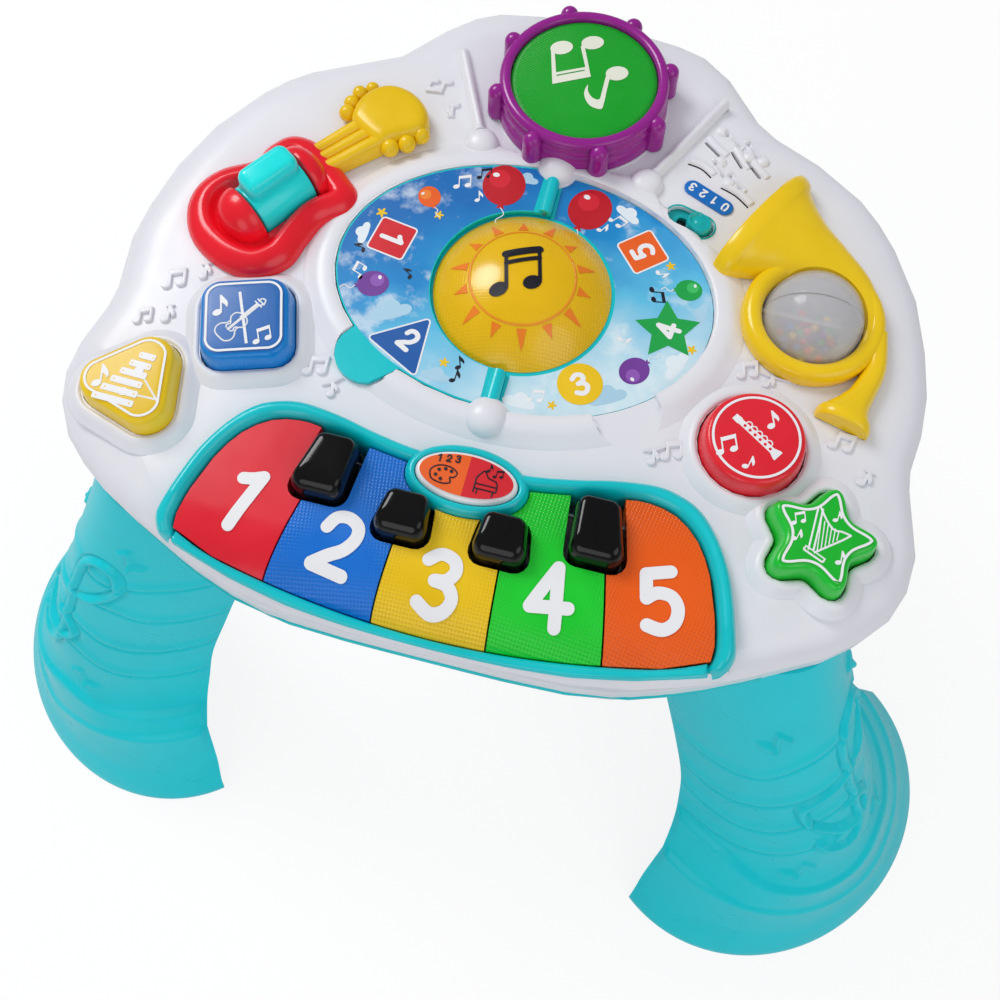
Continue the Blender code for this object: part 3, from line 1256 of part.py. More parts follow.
def build_drum():
    deck = DECK_TOP_HEIGHT
    spot = place(DRUM_PLACE_SHARES)
    foot = deck + DRUM_SEAT_HEIGHT + FIT_GAP
    top = deck + DRUM_RIM_HEIGHT
    bore = DRUM_HEAD_RADIUS + SLIDE_GAP
    room = bore + DRUM_FLANGE + SLIDE_GAP
    lip_bottom = top - DRUM_LIP
    shoulder = top - DRUM_LUG_RADIUS * 0.8
    dome = (top - shoulder) * 0.75
    waist = DRUM_RIM_TOP_RADIUS + (DRUM_RIM_FOOT_RADIUS - DRUM_RIM_TOP_RADIUS) * 0.3
    rings = [
        rim_ring(spot, room, 0, foot), rim_ring(spot, DRUM_RIM_FOOT_RADIUS, DRUM_LUG_RADIUS, foot),
        rim_ring(spot, waist, DRUM_LUG_RADIUS, shoulder),
        rim_ring(spot, DRUM_RIM_TOP_RADIUS, DRUM_LUG_RADIUS * 0.72, shoulder + dome * 0.7),
        rim_ring(spot, DRUM_RIM_TOP_RADIUS, 0, shoulder + dome),
        rim_ring(spot, DRUM_RIM_TOP_RADIUS - DRUM_LIP * 0.7, 0, top), rim_ring(spot, bore, 0, top - DRUM_LIP * 0.3),
        rim_ring(spot, bore, 0, lip_bottom), rim_ring(spot, room, 0, lip_bottom),
    ]
    rim = solid("drum_rim", rings + [rings[0]], cap_ends=False)
    finish(rim, "drum_rim", PURPLE)

    flange_top = lip_bottom - FIT_GAP
    flange_bottom = flange_top - DRUM_FLANGE
    edge_z = top - DRUM_HEAD_CROWN - DRUM_LIP * 0.25
    head_radius = DRUM_HEAD_RADIUS
    head = lathe("drum_head", [
        (0, edge_z + DRUM_HEAD_CROWN - DRUM_HEAD_THICKNESS), (head_radius * 0.9, flange_bottom), (head_radius + DRUM_FLANGE, flange_bottom),
        (head_radius + DRUM_FLANGE, flange_top), (head_radius, flange_top), (head_radius, edge_z),
        (head_radius * 0.6, edge_z + DRUM_HEAD_CROWN * 0.65), (0, edge_z + DRUM_HEAD_CROWN)], 32, spot)
    finish(head, "drum_head", DRUM_GREEN, (spot.x, spot.y, edge_z))

    cushion_bottom = deck + DRUM_SEAT_HEIGHT + FIT_GAP
    inner = DRUM_HEAD_RADIUS - DRUM_CUSHION_WIDTH + FIT_GAP
    outer = DRUM_HEAD_RADIUS - FIT_GAP
    cushion = lathe("drum_cushion", [(inner, cushion_bottom), (outer, cushion_bottom),
                                     (outer, flange_bottom - FIT_GAP), (inner, flange_bottom - FIT_GAP)],
                    24, spot)
    finish(cushion, "drum_cushion", RUBBER, (spot.x, spot.y, cushion_bottom))


# Guitar

def strum_frame():
    """Placement of the strummer's axis: +X runs along the guitar's neck."""
    spot = place(STRUM_PLACE_SHARES)
    height = DECK_TOP_HEIGHT + STRUM_AXIS_HEIGHT
    return Matrix.Translation((spot.x, spot.y, height)) @ Matrix.Rotation(
        math.radians(STRUM_TURN_DEG), 4, "Z")


def strum_window():
    """Opening under the strummer, through the guitar and the deck."""
    reach = STRUM_RADIUS + SLIDE_GAP * 2
    half = STRUM_HALF_LENGTH + SLIDE_GAP
    window = [Vector((-half, -reach)), Vector((half, -reach)), Vector((half, reach)), Vector((-half, reach))]
    spot = place(STRUM_PLACE_SHARES)
    return prism("strum_window", moved(turned(window, STRUM_TURN_DEG), spot),
                 DECK_SKIRT_BOTTOM, DECK_TOP_HEIGHT + 2 * STRUM_FIN_REACH)


def build_guitar():
    base = DECK_TOP_HEIGHT + FIT_GAP
    outline = thin(smooth_loop([place(s) for s in GUITAR_BODY_SHARES], 3), OUTLINE_TOLERANCE)
    body = prism("guitar_body", outline, base, base + GUITAR_HEIGHT, round_top=GUITAR_RIM_WIDTH * 0.55)
    dish = offset(outline, -GUITAR_RIM_WIDTH)
    cut(body, solid("dish", [level(offset(dish, -GUITAR_RIM_WIDTH * 0.3), base + GUITAR_FLOOR),
                             level(dish, base + GUITAR_HEIGHT * 0.9),
                             level(offset(dish, GUITAR_RIM_WIDTH * 0.2), base + GUITAR_HEIGHT + CUT_OVERRUN)]))
    frame = strum_frame()
    for side in (-1, 1):
        start = side * (STRUM_HALF_LENGTH + SLIDE_GAP)
        rings = []
        for share in (0.0, 0.45, 0.78, 0.95, 1.0):
            radius = CHEEK_RADIUS * math.sqrt(1 - (share * 0.97)**2)
            x = start + side * CHEEK_LENGTH * share
            ring = [Vector((x, radius * math.cos(t), radius * math.sin(t)))
                    for t in [math.pi * i / 14 for i in range(15)]]
            rings.append([frame @ p for p in ring] + [
                frame @ Vector((x, -radius, -STRUM_AXIS_HEIGHT + 2 * FIT_GAP)),
                frame @ Vector((x, radius, -STRUM_AXIS_HEIGHT + 2 * FIT_GAP))])
        join(body, solid("cheek", rings))
    neck_room = smooth_loop([place(s) for s in GUITAR_NECK_SHARES], 1)
    cut(body, prism("neck_room", offset(neck_room, FIT_GAP), base - CUT_OVERRUN,
                    base + GUITAR_HEAD_HEIGHT * 0.8))
    cut(body, strum_window())
    reach = STRUM_HALF_LENGTH + CHEEK_LENGTH * 0.6
    cut(body, rod("strum_bore", frame @ Vector((-reach, 0, 0)), frame @ Vector((reach, 0, 0)),
                  STRUM_BORE_RADIUS, 12))
    finish(body, "guitar_body", RED)

    axle = rod("strummer_axle", frame @ Vector((-reach + FIT_GAP, 0, 0)), frame @ Vector((reach - FIT_GAP, 0, 0)),
               STRUM_BORE_RADIUS - FIT_GAP, 12)
    finish(axle, "strummer_axle", STEEL)
    build_strummer(frame)
    build_neck(base)


def build_strummer(frame):
    """Rocker: a half drum about the axis, with a thick fin that leans away from the keyboard."""
    low = 20.0
    profile = []
    for i in range(6):
        turn = math.radians(low - 90 - STRUM_LEAN_DEG + (90 + STRUM_LEAN_DEG) * i / 5)
        profile.append((STRUM_RADIUS * math.cos(turn), STRUM_RADIUS * math.sin(turn)))
    for i in range(1, 6):
        turn = math.radians(low + (160 - low) * i / 5)
        profile.append((STRUM_RADIUS * math.cos(turn), STRUM_RADIUS * math.sin(turn)))
    for i in range(1, 5):
        turn = math.radians(160 + (50 + STRUM_LEAN_DEG) * i / 4)
        profile.append((STRUM_RADIUS * math.cos(turn), STRUM_RADIUS * math.sin(turn)))
    rings = [[Vector((x, y, z)) for y, z in profile] for x in (-STRUM_HALF_LENGTH, STRUM_HALF_LENGTH)]
    strummer = solid("strummer", rings)
    lean = Matrix.Rotation(math.radians(STRUM_LEAN_DEG), 3, "X")
    fin_half = STRUM_HALF_LENGTH - STRUM_FIN_INSET
    outline = rounded_polygon(rectangle(fin_half, STRUM_FIN_HALF_WIDTH), STRUM_FIN_HALF_WIDTH * 0.5, 3)
    fin = prism("fin", outline, 0, STRUM_FIN_REACH, round_top=STRUM_FIN_HALF_WIDTH * 0.4)
    fin.data.transform(lean.to_4x4())
    join(strummer, fin)
    cut(strummer, rod("strummer_bore", (-2 * STRUM_HALF_LENGTH, 0, 0), (2 * STRUM_HALF_LENGTH, 0, 0),
                      STRUM_BORE_RADIUS, 12))
    finish(strummer, "strummer", TEAL)
    strummer.rotation_euler = (0, 0, math.radians(STRUM_TURN_DEG))
    strummer.location = frame.translation + SHIFT


def build_neck(base):
    outline = [place(s) for s in GUITAR_NECK_SHARES]
    neck = prism("guitar_neck", outline, base, base + GUITAR_HEAD_HEIGHT, round_top=FRAME_ROUND * 0.6)
    start, end = (place(s) for s in GUITAR_NECK_LINE_SHARES)
    along = (end - start).normalized()
    across = Vector((-along.y, along.x)) * GUITAR_NECK_HALF_WIDTH
    flat = base + GUITAR_HEAD_HEIGHT * 0.62
    room_side = across * 1.8
    strip = [start - along * GUITAR_NECK_HALF_WIDTH - room_side, end - room_side,
             end + room_side, start - along * GUITAR_NECK_HALF_WIDTH + room_side]
    cut(neck, prism("neck_step", strip, flat, base + 2 * GUITAR_HEAD_HEIGHT))
    for share in GUITAR_STRING_SHARES:
        a, b = start + across * share + along * WALL, end + across * share + along * WALL
        join(neck, rod("string", (a.x, a.y, flat), (b.x, b.y, flat), GUITAR_STRING_RADIUS, 8))
    for shares in GUITAR_PEG_SHARES:
        spot = place(shares)
        join(neck, ball("peg", (spot.x, spot.y, base + GUITAR_PEG_RADIUS + FIT_GAP), GUITAR_PEG_RADIUS, 1.0, 4, 8))
    finish(neck, "guitar_neck", YELLOW)


# Horn and rattle ball

def flared_tube(name, stations, base, grow=0.0):
    """Half-round tube on the deck, lofted through flaring sections."""
    spots = [place(s[0]) for s in stations]
    spots[-1] = spots[-1] + (spots[-1] - spots[-2]).normalized() * grow
    rings = []
    for i, (_, width_share, height_share) in enumerate(stations):
        ahead = spots[min(i + 1, len(spots) - 1)] - spots[max(i - 1, 0)]
        across = Vector((ahead.y, -ahead.x)).normalized()
        half = HORN_BELL_HALF_WIDTH * width_share + grow
        rise = HORN_BELL_HEIGHT * height_share + grow
        ring = []
        for j in range(9):
            turn = math.pi * j / 8
            flat = spots[i] + across * (half * math.cos(turn))
            ring.append(Vector((flat.x, flat.y, base + rise * (0.14 + 0.86 * math.sin(turn)))))
        ring += [Vector((p.x, p.y, base)) for p in (spots[i] - across * half, spots[i] + across * half)]
        rings.append(ring)
    return solid(name, rings)


def build_horn():
    base = DECK_TOP_HEIGHT + FIT_GAP
    spot = place(HORN_PLACE_SHARES)
    hole = BALL_RADIUS + BALL_CLEARANCE
    middle = (HORN_OUTER_RADIUS + hole) / 2
    half = (HORN_OUTER_RADIUS - hole) / 2
    inner = hole - WALL
    profile = [(inner, base), (middle + half, base), (middle + half, base + HORN_RING_HEIGHT * 0.35)]
    for turn in (40, 90, 140):
        profile.append((middle + half * math.cos(math.radians(turn)),
                        base + HORN_RING_HEIGHT * (0.35 + 0.65 * math.sin(math.radians(turn)))))
    profile.append((inner, base + HORN_RING_HEIGHT * 0.35))
    horn = lathe("horn", profile, 36, spot)
    join(horn, flared_tube("bell", HORN_BELL_SHARES, base))
    join(horn, flared_tube("tail", HORN_TAIL_SHARES, base))
    axis_z = DECK_TOP_HEIGHT + BALL_CENTRE_HEIGHT
    reach = hole + BALL_AXLE_END
    cut(horn, rod("axle_bore", (spot.x - reach, spot.y, axis_z), (spot.x + reach, spot.y, axis_z),
                  BALL_AXLE_RADIUS + FIT_GAP, 12))
    cut(horn, prism("ball_room", circle(hole, 36, spot), base - CUT_OVERRUN,
                    base + 2 * HORN_BELL_HEIGHT))
    finish(horn, "horn", YELLOW)


def build_rattle():
    spot = place(HORN_PLACE_SHARES)
    centre = Vector((spot.x, spot.y, DECK_TOP_HEIGHT + BALL_CENTRE_HEIGHT))
    reach = BALL_RADIUS + BALL_CLEARANCE + BALL_AXLE_END - FIT_GAP
    axle = rod("rattle_axle", centre - Vector((reach, 0, 0)), centre + Vector((reach, 0, 0)), BALL_AXLE_RADIUS, 12)
    finish(axle, "rattle_axle", STEEL, centre)
    inner = BALL_RADIUS - BALL_WALL
    for name, side in (("rattle_half_front", -1), ("rattle_half_back", 1)):
        profile = []
        for i in range(5):
            turn = math.radians(90 * i / 4)
            profile.append((0 if i == 4 else BALL_RADIUS * math.cos(turn), max(BALL_SEAM_GAP, BALL_RADIUS * math.sin(turn))))
        for i in range(5):
            turn = math.radians(90 - 90 * i / 4)
            profile.append((0 if i == 0 else inner * math.cos(turn), max(BALL_SEAM_GAP, inner * math.sin(turn))))
        half = lathe(name, [(r, side * h) for r, h in profile], 22, centre, "Y")
        cut(half, rod("axle_gap", centre - Vector((2 * reach, 0, 0)), centre + Vector((2 * reach, 0, 0)),
                      BALL_AXLE_RADIUS + FIT_GAP, 12))
        finish(half, name, CLEAR, centre)
    bead_looks = (RED, BLUE, YELLOW, GREEN, PURPLE)
    circle_radius = inner - BEAD_RADIUS - BEAD_CLEARANCE
    for i in range(BEAD_COUNT):
        lean = math.radians(58.0)
        swing = math.tau * i / BEAD_COUNT
        offset_out = circle_radius * math.cos(lean)
        bead_centre = centre + Vector((offset_out * math.cos(swing), offset_out * math.sin(swing),
                                       -circle_radius * math.sin(lean)))
        bead = ball("bead", bead_centre, BEAD_RADIUS, 1.0, 4, 8)
        finish(bead, "bead_%d" % (i + 1), bead_looks[i % len(bead_looks)], bead_centre)


# Switch, label and speaker

def switch_outline():
    shape = capsule(SWITCH_SLOT_HALF_LENGTH + SWITCH_PLATE_EDGE, SWITCH_SLOT_RADIUS + SWITCH_PLATE_EDGE)
    return moved(turned(shape, SWITCH_TURN_DEG), place(SWITCH_PLACE_SHARES))


def build_switch():
    deck = DECK_TOP_HEIGHT
    spot = place(SWITCH_PLACE_SHARES)
    plate_top = deck - SWITCH_PLATE_DROP
    plate = prism("switch_plate", switch_outline(), plate_top - WALL, plate_top)
    slot_half = SWITCH_TRAVEL / 2 + SWITCH_STEM_RADIUS + SLIDE_GAP
    slot = moved(turned(capsule(slot_half, SWITCH_STEM_RADIUS + SLIDE_GAP, 5), SWITCH_TURN_DEG), spot)
    cut(plate, prism("stem_slot", slot, plate_top - 2 * WALL, plate_top + CUT_OVERRUN))
    finish(plate, "switch_plate", TEAL)
    along = Vector((math.cos(math.radians(SWITCH_TURN_DEG)), math.sin(math.radians(SWITCH_TURN_DEG))))
    knob_spot = spot + along * SWITCH_TRAVEL / 2
    base = plate_top + FIT_GAP
    top = deck + SWITCH_KNOB_TOP
    crown = SWITCH_KNOB_RADIUS * 0.25
    knob = lathe("switch_knob", [(0, plate_top - WALL - SLIDE_GAP), (SWITCH_STEM_RADIUS, plate_top - WALL - SLIDE_GAP),
                                 (SWITCH_STEM_RADIUS, base), (SWITCH_KNOB_RADIUS, base),
                                 (SWITCH_KNOB_RADIUS, top - crown), (SWITCH_KNOB_RADIUS - crown, top), (0, top)],
                 24, knob_spot)
    finish(knob, "switch_knob", TEAL, (knob_spot.x, knob_spot.y, base))
    label_spot = place(LABEL_PLACE_SHARES)
    outline = moved(turned(capsule(LABEL_HALF_LENGTH, LABEL_RADIUS), LABEL_TURN_DEG), label_spot)
    label = prism("switch_label", outline, deck + FIT_GAP, deck + FIT_GAP + LABEL_THICKNESS)
    finish(label, "switch_label", BLUE)


def build_speaker():
    spot = place(SPEAKER_PLACE_SHARES)
    top = DECK_TOP_HEIGHT - WALL - SPEAKER_DROP
    rim = SPEAKER_HEIGHT * 0.18
    speaker = lathe("speaker", [
        (0, top - SPEAKER_HEIGHT), (SPEAKER_MAGNET_RADIUS, top - SPEAKER_HEIGHT),
        (SPEAKER_MAGNET_RADIUS, top - SPEAKER_HEIGHT * 0.55), (SPEAKER_RADIUS * 0.9, top - rim),
        (SPEAKER_RADIUS, top - rim), (SPEAKER_RADIUS, top), (SPEAKER_RADIUS * 0.88, top),
        (SPEAKER_RADIUS * 0.45, top - SPEAKER_HEIGHT * 0.35), (0, top - SPEAKER_HEIGHT * 0.28)], STEPS_SMALL, spot)
    finish(speaker, "speaker", BLACK)


# Batteries and main board

def cell_box_half():
    """Inner half width and half depth of the battery box."""
    half_width = CELL_PITCH * (CELL_COUNT - 1) / 2 + CELL_RADIUS + SLIDE_GAP
    return half_width, CELL_LENGTH / 2 + CELL_NUB_LENGTH + SLIDE_GAP


def rectangle(half_width, half_depth):
    return [Vector((-half_width, -half_depth)), Vector((half_width, -half_depth)),
            Vector((half_width, half_depth)), Vector((-half_width, half_depth))]


def build_batteries():
    half_width, half_depth = cell_box_half()
    floor = SHELL_FLOOR + FIT_GAP
    box_top = floor + 2 * CELL_RADIUS + 2 * SLIDE_GAP + BOX_WALL
    box = prism("battery_box", rectangle(half_width + BOX_WALL, half_depth + BOX_WALL), floor, box_top)
    cut(box, prism("box_room", rectangle(half_width, half_depth), floor - CUT_OVERRUN, box_top - BOX_WALL))
    finish(box, "battery_box", BLACK)
    for i in range(CELL_COUNT):
        x = (i - (CELL_COUNT - 1) / 2) * CELL_PITCH
        z = floor + CELL_RADIUS + FIT_GAP
        side = 1 if i % 2 == 0 else -1
        body = CELL_LENGTH / 2
        cell = lathe("cell", [(0, -body), (CELL_RADIUS, -body), (CELL_RADIUS, body), (CELL_NUB_RADIUS, body),
                              (CELL_NUB_RADIUS, body + CELL_NUB_LENGTH), (0, body + CELL_NUB_LENGTH)],
                     STEPS_SMALL, (0, 0, 0), "Y")
        if side < 0:
            cell.data.transform(Matrix.Rotation(math.pi, 4, "Z"))
        cell.data.transform(Matrix.Translation((x, 0, z)))
        finish(cell, "battery_%d" % (i + 1), STEEL, (x, 0, z))
    door = prism("battery_door", rectangle(half_width - FIT_GAP, half_depth - FIT_GAP), SHELL_BOTTOM,
                 SHELL_BOTTOM + DOOR_THICKNESS)
    screw_y = half_depth - FIT_GAP - DOOR_SCREW_HEAD_RADIUS - WALL / 2
    cut(door, prism("screw_hole", circle(DOOR_SCREW_RADIUS + FIT_GAP, 16, (0, screw_y)),
                    SHELL_BOTTOM - CUT_OVERRUN, SHELL_BOTTOM + CUT_OVERRUN))
    cut(door, prism("screw_sink", circle(DOOR_SCREW_HEAD_RADIUS + FIT_GAP, 16, (0, screw_y)),
                    SHELL_BOTTOM - CUT_OVERRUN, SHELL_BOTTOM + DOOR_THICKNESS / 2))
    finish(door, "battery_door", TEAL)
    head_top = SHELL_BOTTOM + DOOR_THICKNESS / 2 - FIT_GAP
    screw = lathe("battery_door_screw", [
        (0, SHELL_BOTTOM + FIT_GAP), (DOOR_SCREW_HEAD_RADIUS, SHELL_BOTTOM + FIT_GAP),
        (DOOR_SCREW_HEAD_RADIUS, head_top), (DOOR_SCREW_RADIUS, head_top),
        (DOOR_SCREW_RADIUS, SHELL_BOTTOM + DOOR_THICKNESS + FIT_GAP), (0, SHELL_BOTTOM + DOOR_THICKNESS + FIT_GAP)],
        16, (0, screw_y))
    finish(screw, "battery_door_screw", STEEL)
    board = prism("main_board", rectangle(MAIN_BOARD_HALF_WIDTH, MAIN_BOARD_HALF_DEPTH), box_top + FIT_GAP,
                  box_top + FIT_GAP + BOARD_THICKNESS)
    finish(board, "main_board", BOARD)


def build_all():
    holes = [(outline, spot) for _, outline, spot, _ in button_shapes()]
    half_width, half_depth = cell_box_half()
    build_deck(key_bay(), holes, strum_window())
    build_bottom_shell(rectangle(half_width, half_depth), [place(BLUE_PLACE_SHARES), place(RED_PLACE_SHARES)])
    build_legs()
    build_picture()
    build_page()
    build_frame()
    build_keys()
    build_black_keys()
    build_key_bed()
    build_buttons()
    build_boards()
    build_drum()
    build_guitar()
    build_horn()
    build_rattle()
    build_switch()
    build_speaker()
    build_batteries()


build_all()
print("pieces", len(bpy.data.objects))
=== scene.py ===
import math

import bpy
import numpy as np
from mathutils import Matrix, Vector
from mathutils.bvhtree import BVHTree


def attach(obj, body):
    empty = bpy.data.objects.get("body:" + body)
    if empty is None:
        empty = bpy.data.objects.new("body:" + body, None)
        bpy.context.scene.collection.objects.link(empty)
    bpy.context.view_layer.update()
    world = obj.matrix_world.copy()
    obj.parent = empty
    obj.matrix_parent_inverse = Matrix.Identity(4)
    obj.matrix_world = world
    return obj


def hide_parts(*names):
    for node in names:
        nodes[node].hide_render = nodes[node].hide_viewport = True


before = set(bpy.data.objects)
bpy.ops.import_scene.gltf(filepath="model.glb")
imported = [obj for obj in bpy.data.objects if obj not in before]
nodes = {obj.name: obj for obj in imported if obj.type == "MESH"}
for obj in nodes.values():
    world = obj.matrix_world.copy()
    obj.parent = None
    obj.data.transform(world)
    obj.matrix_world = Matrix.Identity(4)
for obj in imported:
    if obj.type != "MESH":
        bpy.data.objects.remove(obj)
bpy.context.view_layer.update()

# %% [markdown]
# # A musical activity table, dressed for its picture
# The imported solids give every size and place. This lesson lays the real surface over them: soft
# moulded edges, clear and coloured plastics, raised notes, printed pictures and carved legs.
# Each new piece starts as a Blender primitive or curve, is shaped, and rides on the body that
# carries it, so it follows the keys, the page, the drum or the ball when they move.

SHIFT_Y = -0.0247
HALF_WIDTH, HALF_DEPTH = 0.221, 0.1945
DECK = 0.317
# Height that the toys on the deck start from, and the smallest radius of a turned profile.
TOY_FOOT, POLE = 0.3175, 0.0002

# %% [markdown]
# ## Small helpers
# An operator acts on everything that is selected, and the loaded solids arrive selected. So every
# step first clears the selection and then chooses one piece.

# %% Choosing one piece and finishing it
def clear_selection():
    if bpy.context.object and bpy.context.object.mode != "OBJECT":
        bpy.ops.object.mode_set(mode="OBJECT")
    bpy.ops.object.select_all(action="DESELECT")


def choose(piece):
    clear_selection()
    piece.select_set(True)
    bpy.context.view_layer.objects.active = piece


def smooth(piece, degrees=35):
    choose(piece)
    bpy.ops.object.shade_smooth_by_angle(angle=math.radians(degrees))
    return piece


def apply_all(piece):
    choose(piece)
    for step in list(piece.modifiers):
        bpy.ops.object.modifier_apply(modifier=step.name)
    return piece


def settle(piece):
    """Puts the place, turn and size of a piece into its mesh, as the solids have it."""
    choose(piece)
    bpy.ops.object.transform_apply(location=True, rotation=True, scale=True)
    return piece


def dress(piece, look, body, *stands_for, slot=None):
    """Gives a piece its material and the body that it rides on."""
    piece.data.materials.clear()
    piece.data.materials.append(look)
    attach(piece, body)
    if stands_for:
        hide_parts(*stands_for)
    return piece


def tidy_mesh(piece):
    """Merges points that coincide and turns all faces outwards."""
    choose(piece)
    bpy.ops.object.mode_set(mode="EDIT")
    bpy.ops.mesh.select_all(action="SELECT")
    bpy.ops.mesh.remove_doubles(threshold=1e-6)
    bpy.ops.mesh.normals_make_consistent(inside=False)
    bpy.ops.object.mode_set(mode="OBJECT")
    return piece


# %% [markdown]
# ## Curves through a few chosen points
# Most outlines on this table are soft closed curves. A short table of points, as shares of the
# deck's half width and half depth, goes through a smoothing curve and is then spaced evenly.

# %% Outlines
def spot(share):
    return np.array([share[0] * HALF_WIDTH, share[1] * HALF_DEPTH + SHIFT_Y])


def flow(points, steps=12, closed=True):
    """Smooth curve through the given points (rows of x, y or x, y, z)."""
    p = np.asarray(points, float)
    n = len(p)
    out = []
    for i in range(n if closed else n - 1):
        if closed:
            a, b, c, d = p[(i - 1) % n], p[i], p[(i + 1) % n], p[(i + 2) % n]
        else:
            a, b, c, d = p[max(i - 1, 0)], p[i], p[i + 1], p[min(i + 2, n - 1)]
        for k in range(steps):
            t = k / steps
            out.append(0.5 * (2 * b + (c - a) * t + (2 * a - 5 * b + 4 * c - d) * t * t
                              + (3 * b - a - 3 * c + d) * t ** 3))
    if not closed:
        out.append(p[-1])
    return np.array(out)


def even(points, count, closed=True):
    """The same curve with evenly spaced points."""
    p = np.asarray(points, float)
    if closed:
        p = np.vstack([p, p[:1]])
    run = np.concatenate([[0], np.cumsum(np.linalg.norm(np.diff(p, axis=0), axis=1))])
    at = np.linspace(0, run[-1], count + 1)[:-1] if closed else np.linspace(0, run[-1], count)
    return np.stack([np.interp(at, run, p[:, k]) for k in range(p.shape[1])], 1)


def inset(points, amount):
    """Closed anticlockwise outline moved inwards along its own normals."""
    p = np.asarray(points, float)
    along = np.roll(p, -1, 0) - np.roll(p, 1, 0)
    normal = np.stack([-along[:, 1], along[:, 0]], 1)
    normal /= np.linalg.norm(normal, axis=1)[:, None]
    return p + normal * amount


def polar(reach, count=144):
    """Closed outline whose distance from the middle is given for each angle."""
    t = np.linspace(0, 2 * np.pi, count + 1)[:-1]
    r = np.array([reach(a) for a in t])
    return np.stack([r * np.cos(t), r * np.sin(t)], 1)


def at_height(outline, z):
    return np.column_stack([outline, np.full(len(outline), z)])


# %% [markdown]
# ## A skin over rings
# A lofted skin is a grid primitive whose rows are pulled onto one ring after another, like
# dough over a frame. Its side seam is merged, and its open ends are closed with a face.

# %% Skin
def skin(name, rings, around=True, close=True, angle=35):
    rings = [np.asarray(r, float) for r in rings]
    rows, count = len(rings), len(rings[0])
    clear_selection()
    bpy.ops.mesh.primitive_grid_add(x_subdivisions=count if around else count - 1,
                                    y_subdivisions=rows - 1, size=1)
    piece = bpy.context.object
    piece.name = piece.data.name = name
    wide = count + 1 if around else count
    assert len(piece.data.vertices) == wide * rows, (name, len(piece.data.vertices), wide, rows)
    points = np.array([np.vstack([r, r[:1]]) if around else r for r in rings]).reshape(-1, 3)
    piece.data.vertices.foreach_set("co", points.ravel())
    piece.data.update()
    choose(piece)
    bpy.ops.object.mode_set(mode="EDIT")
    bpy.ops.mesh.select_all(action="SELECT")
    bpy.ops.mesh.remove_doubles(threshold=1e-7)
    if around and close:
        bpy.ops.mesh.select_all(action="DESELECT")
        bpy.ops.mesh.select_mode(type="EDGE")
        bpy.ops.mesh.select_non_manifold(extend=False, use_wire=False, use_multi_face=False,
                                         use_non_contiguous=False, use_verts=False)
        bpy.ops.mesh.fill_holes(sides=0)
    bpy.ops.mesh.select_all(action="SELECT")
    bpy.ops.mesh.normals_make_consistent(inside=False)
    bpy.ops.object.mode_set(mode="OBJECT")
    return smooth(piece, angle)


def lathe(name, profile, centre, count=96, axis="Z", angle=40):
    """Profile of (radius, height) pairs turned about an axis through the centre."""
    t = np.linspace(0, 2 * np.pi, count + 1)[:-1]
    rings = []
    for r, h in profile:
        a, b, c = r * np.cos(t), r * np.sin(t), np.full(count, h)
        ring = {"Z": (a, b, c), "Y": (b, c, a), "X": (c, a, b)}[axis]
        rings.append(np.stack(ring, 1) + np.asarray(centre))
    return skin(name, rings, angle=angle)


# %% [markdown]
# ## Flat shapes and drawn lines
# Raised trims and printed pictures start as curves. A closed 2D curve is filled and given a
# thickness and a round edge; a drawn line is a round bead that is then pressed flat.

# %% Curves made into meshes
def flat_shape(name, outlines, z, thick, edge=0.0):
    data = bpy.data.curves.new(name, "CURVE")
    data.dimensions = "2D"
    data.fill_mode = "BOTH"
    data.extrude = max(thick / 2 - edge, 0.0)
    data.bevel_depth = edge
    data.bevel_resolution = 3
    for outline in outlines:
        line = data.splines.new("POLY")
        line.points.add(len(outline) - 1)
        shape = inset(outline, edge) if edge else np.asarray(outline)
        line.points.foreach_set("co",
                                np.column_stack([shape, np.zeros(len(shape)),
                                                 np.ones(len(shape))]).ravel())
        line.use_cyclic_u = True
    piece = bpy.data.objects.new(name, data)
    bpy.context.scene.collection.objects.link(piece)
    choose(piece)
    bpy.ops.object.convert(target="MESH")
    piece = bpy.context.object
    piece.location.z = z + thick / 2
    settle(piece)
    tidy_mesh(piece)
    return smooth(piece, 40)


def drawn(name, lines, width, z, rise=0.0003, steps=2):
    """Printed or moulded lines: round beads along the lines, pressed to a low rise."""
    data = bpy.data.curves.new(name, "CURVE")
    data.dimensions = "3D"
    data.bevel_depth = width / 2
    data.bevel_resolution = steps
    data.use_fill_caps = True
    for points in lines:
        p = np.asarray(points, float)
        loop = len(p) > 3 and np.allclose(p[0], p[-1])
        if loop:
            p = p[:-1]
        line = data.splines.new("POLY")
        line.points.add(len(p) - 1)
        line.points.foreach_set("co",
                                np.column_stack([p[:, :2], np.zeros(len(p)), np.ones(len(p))]).ravel())
        line.use_cyclic_u = loop
    piece = bpy.data.objects.new(name, data)
    bpy.context.scene.collection.objects.link(piece)
    choose(piece)
    bpy.ops.object.convert(target="MESH")
    piece = bpy.context.object
    piece.scale.z = rise / (width / 2)
    piece.location.z = z
    settle(piece)
    tidy_mesh(piece)
    return smooth(piece, 50)


def join_all(name, pieces):
    clear_selection()
    for piece in pieces:
        piece.select_set(True)
    bpy.context.view_layer.objects.active = pieces[0]
    if len(pieces) > 1:
        bpy.ops.object.join()
    pieces[0].name = pieces[0].data.name = name
    return pieces[0]


def drape(piece, height):
    """Lets a flat print follow a surface: every point moves up or down by the height there."""
    co = np.empty(len(piece.data.vertices) * 3)
    piece.data.vertices.foreach_get("co", co)
    co = co.reshape(-1, 3)
    co[:, 2] += height(co[:, 0], co[:, 1])
    piece.data.vertices.foreach_set("co", co.ravel())
    piece.data.update()
    return piece


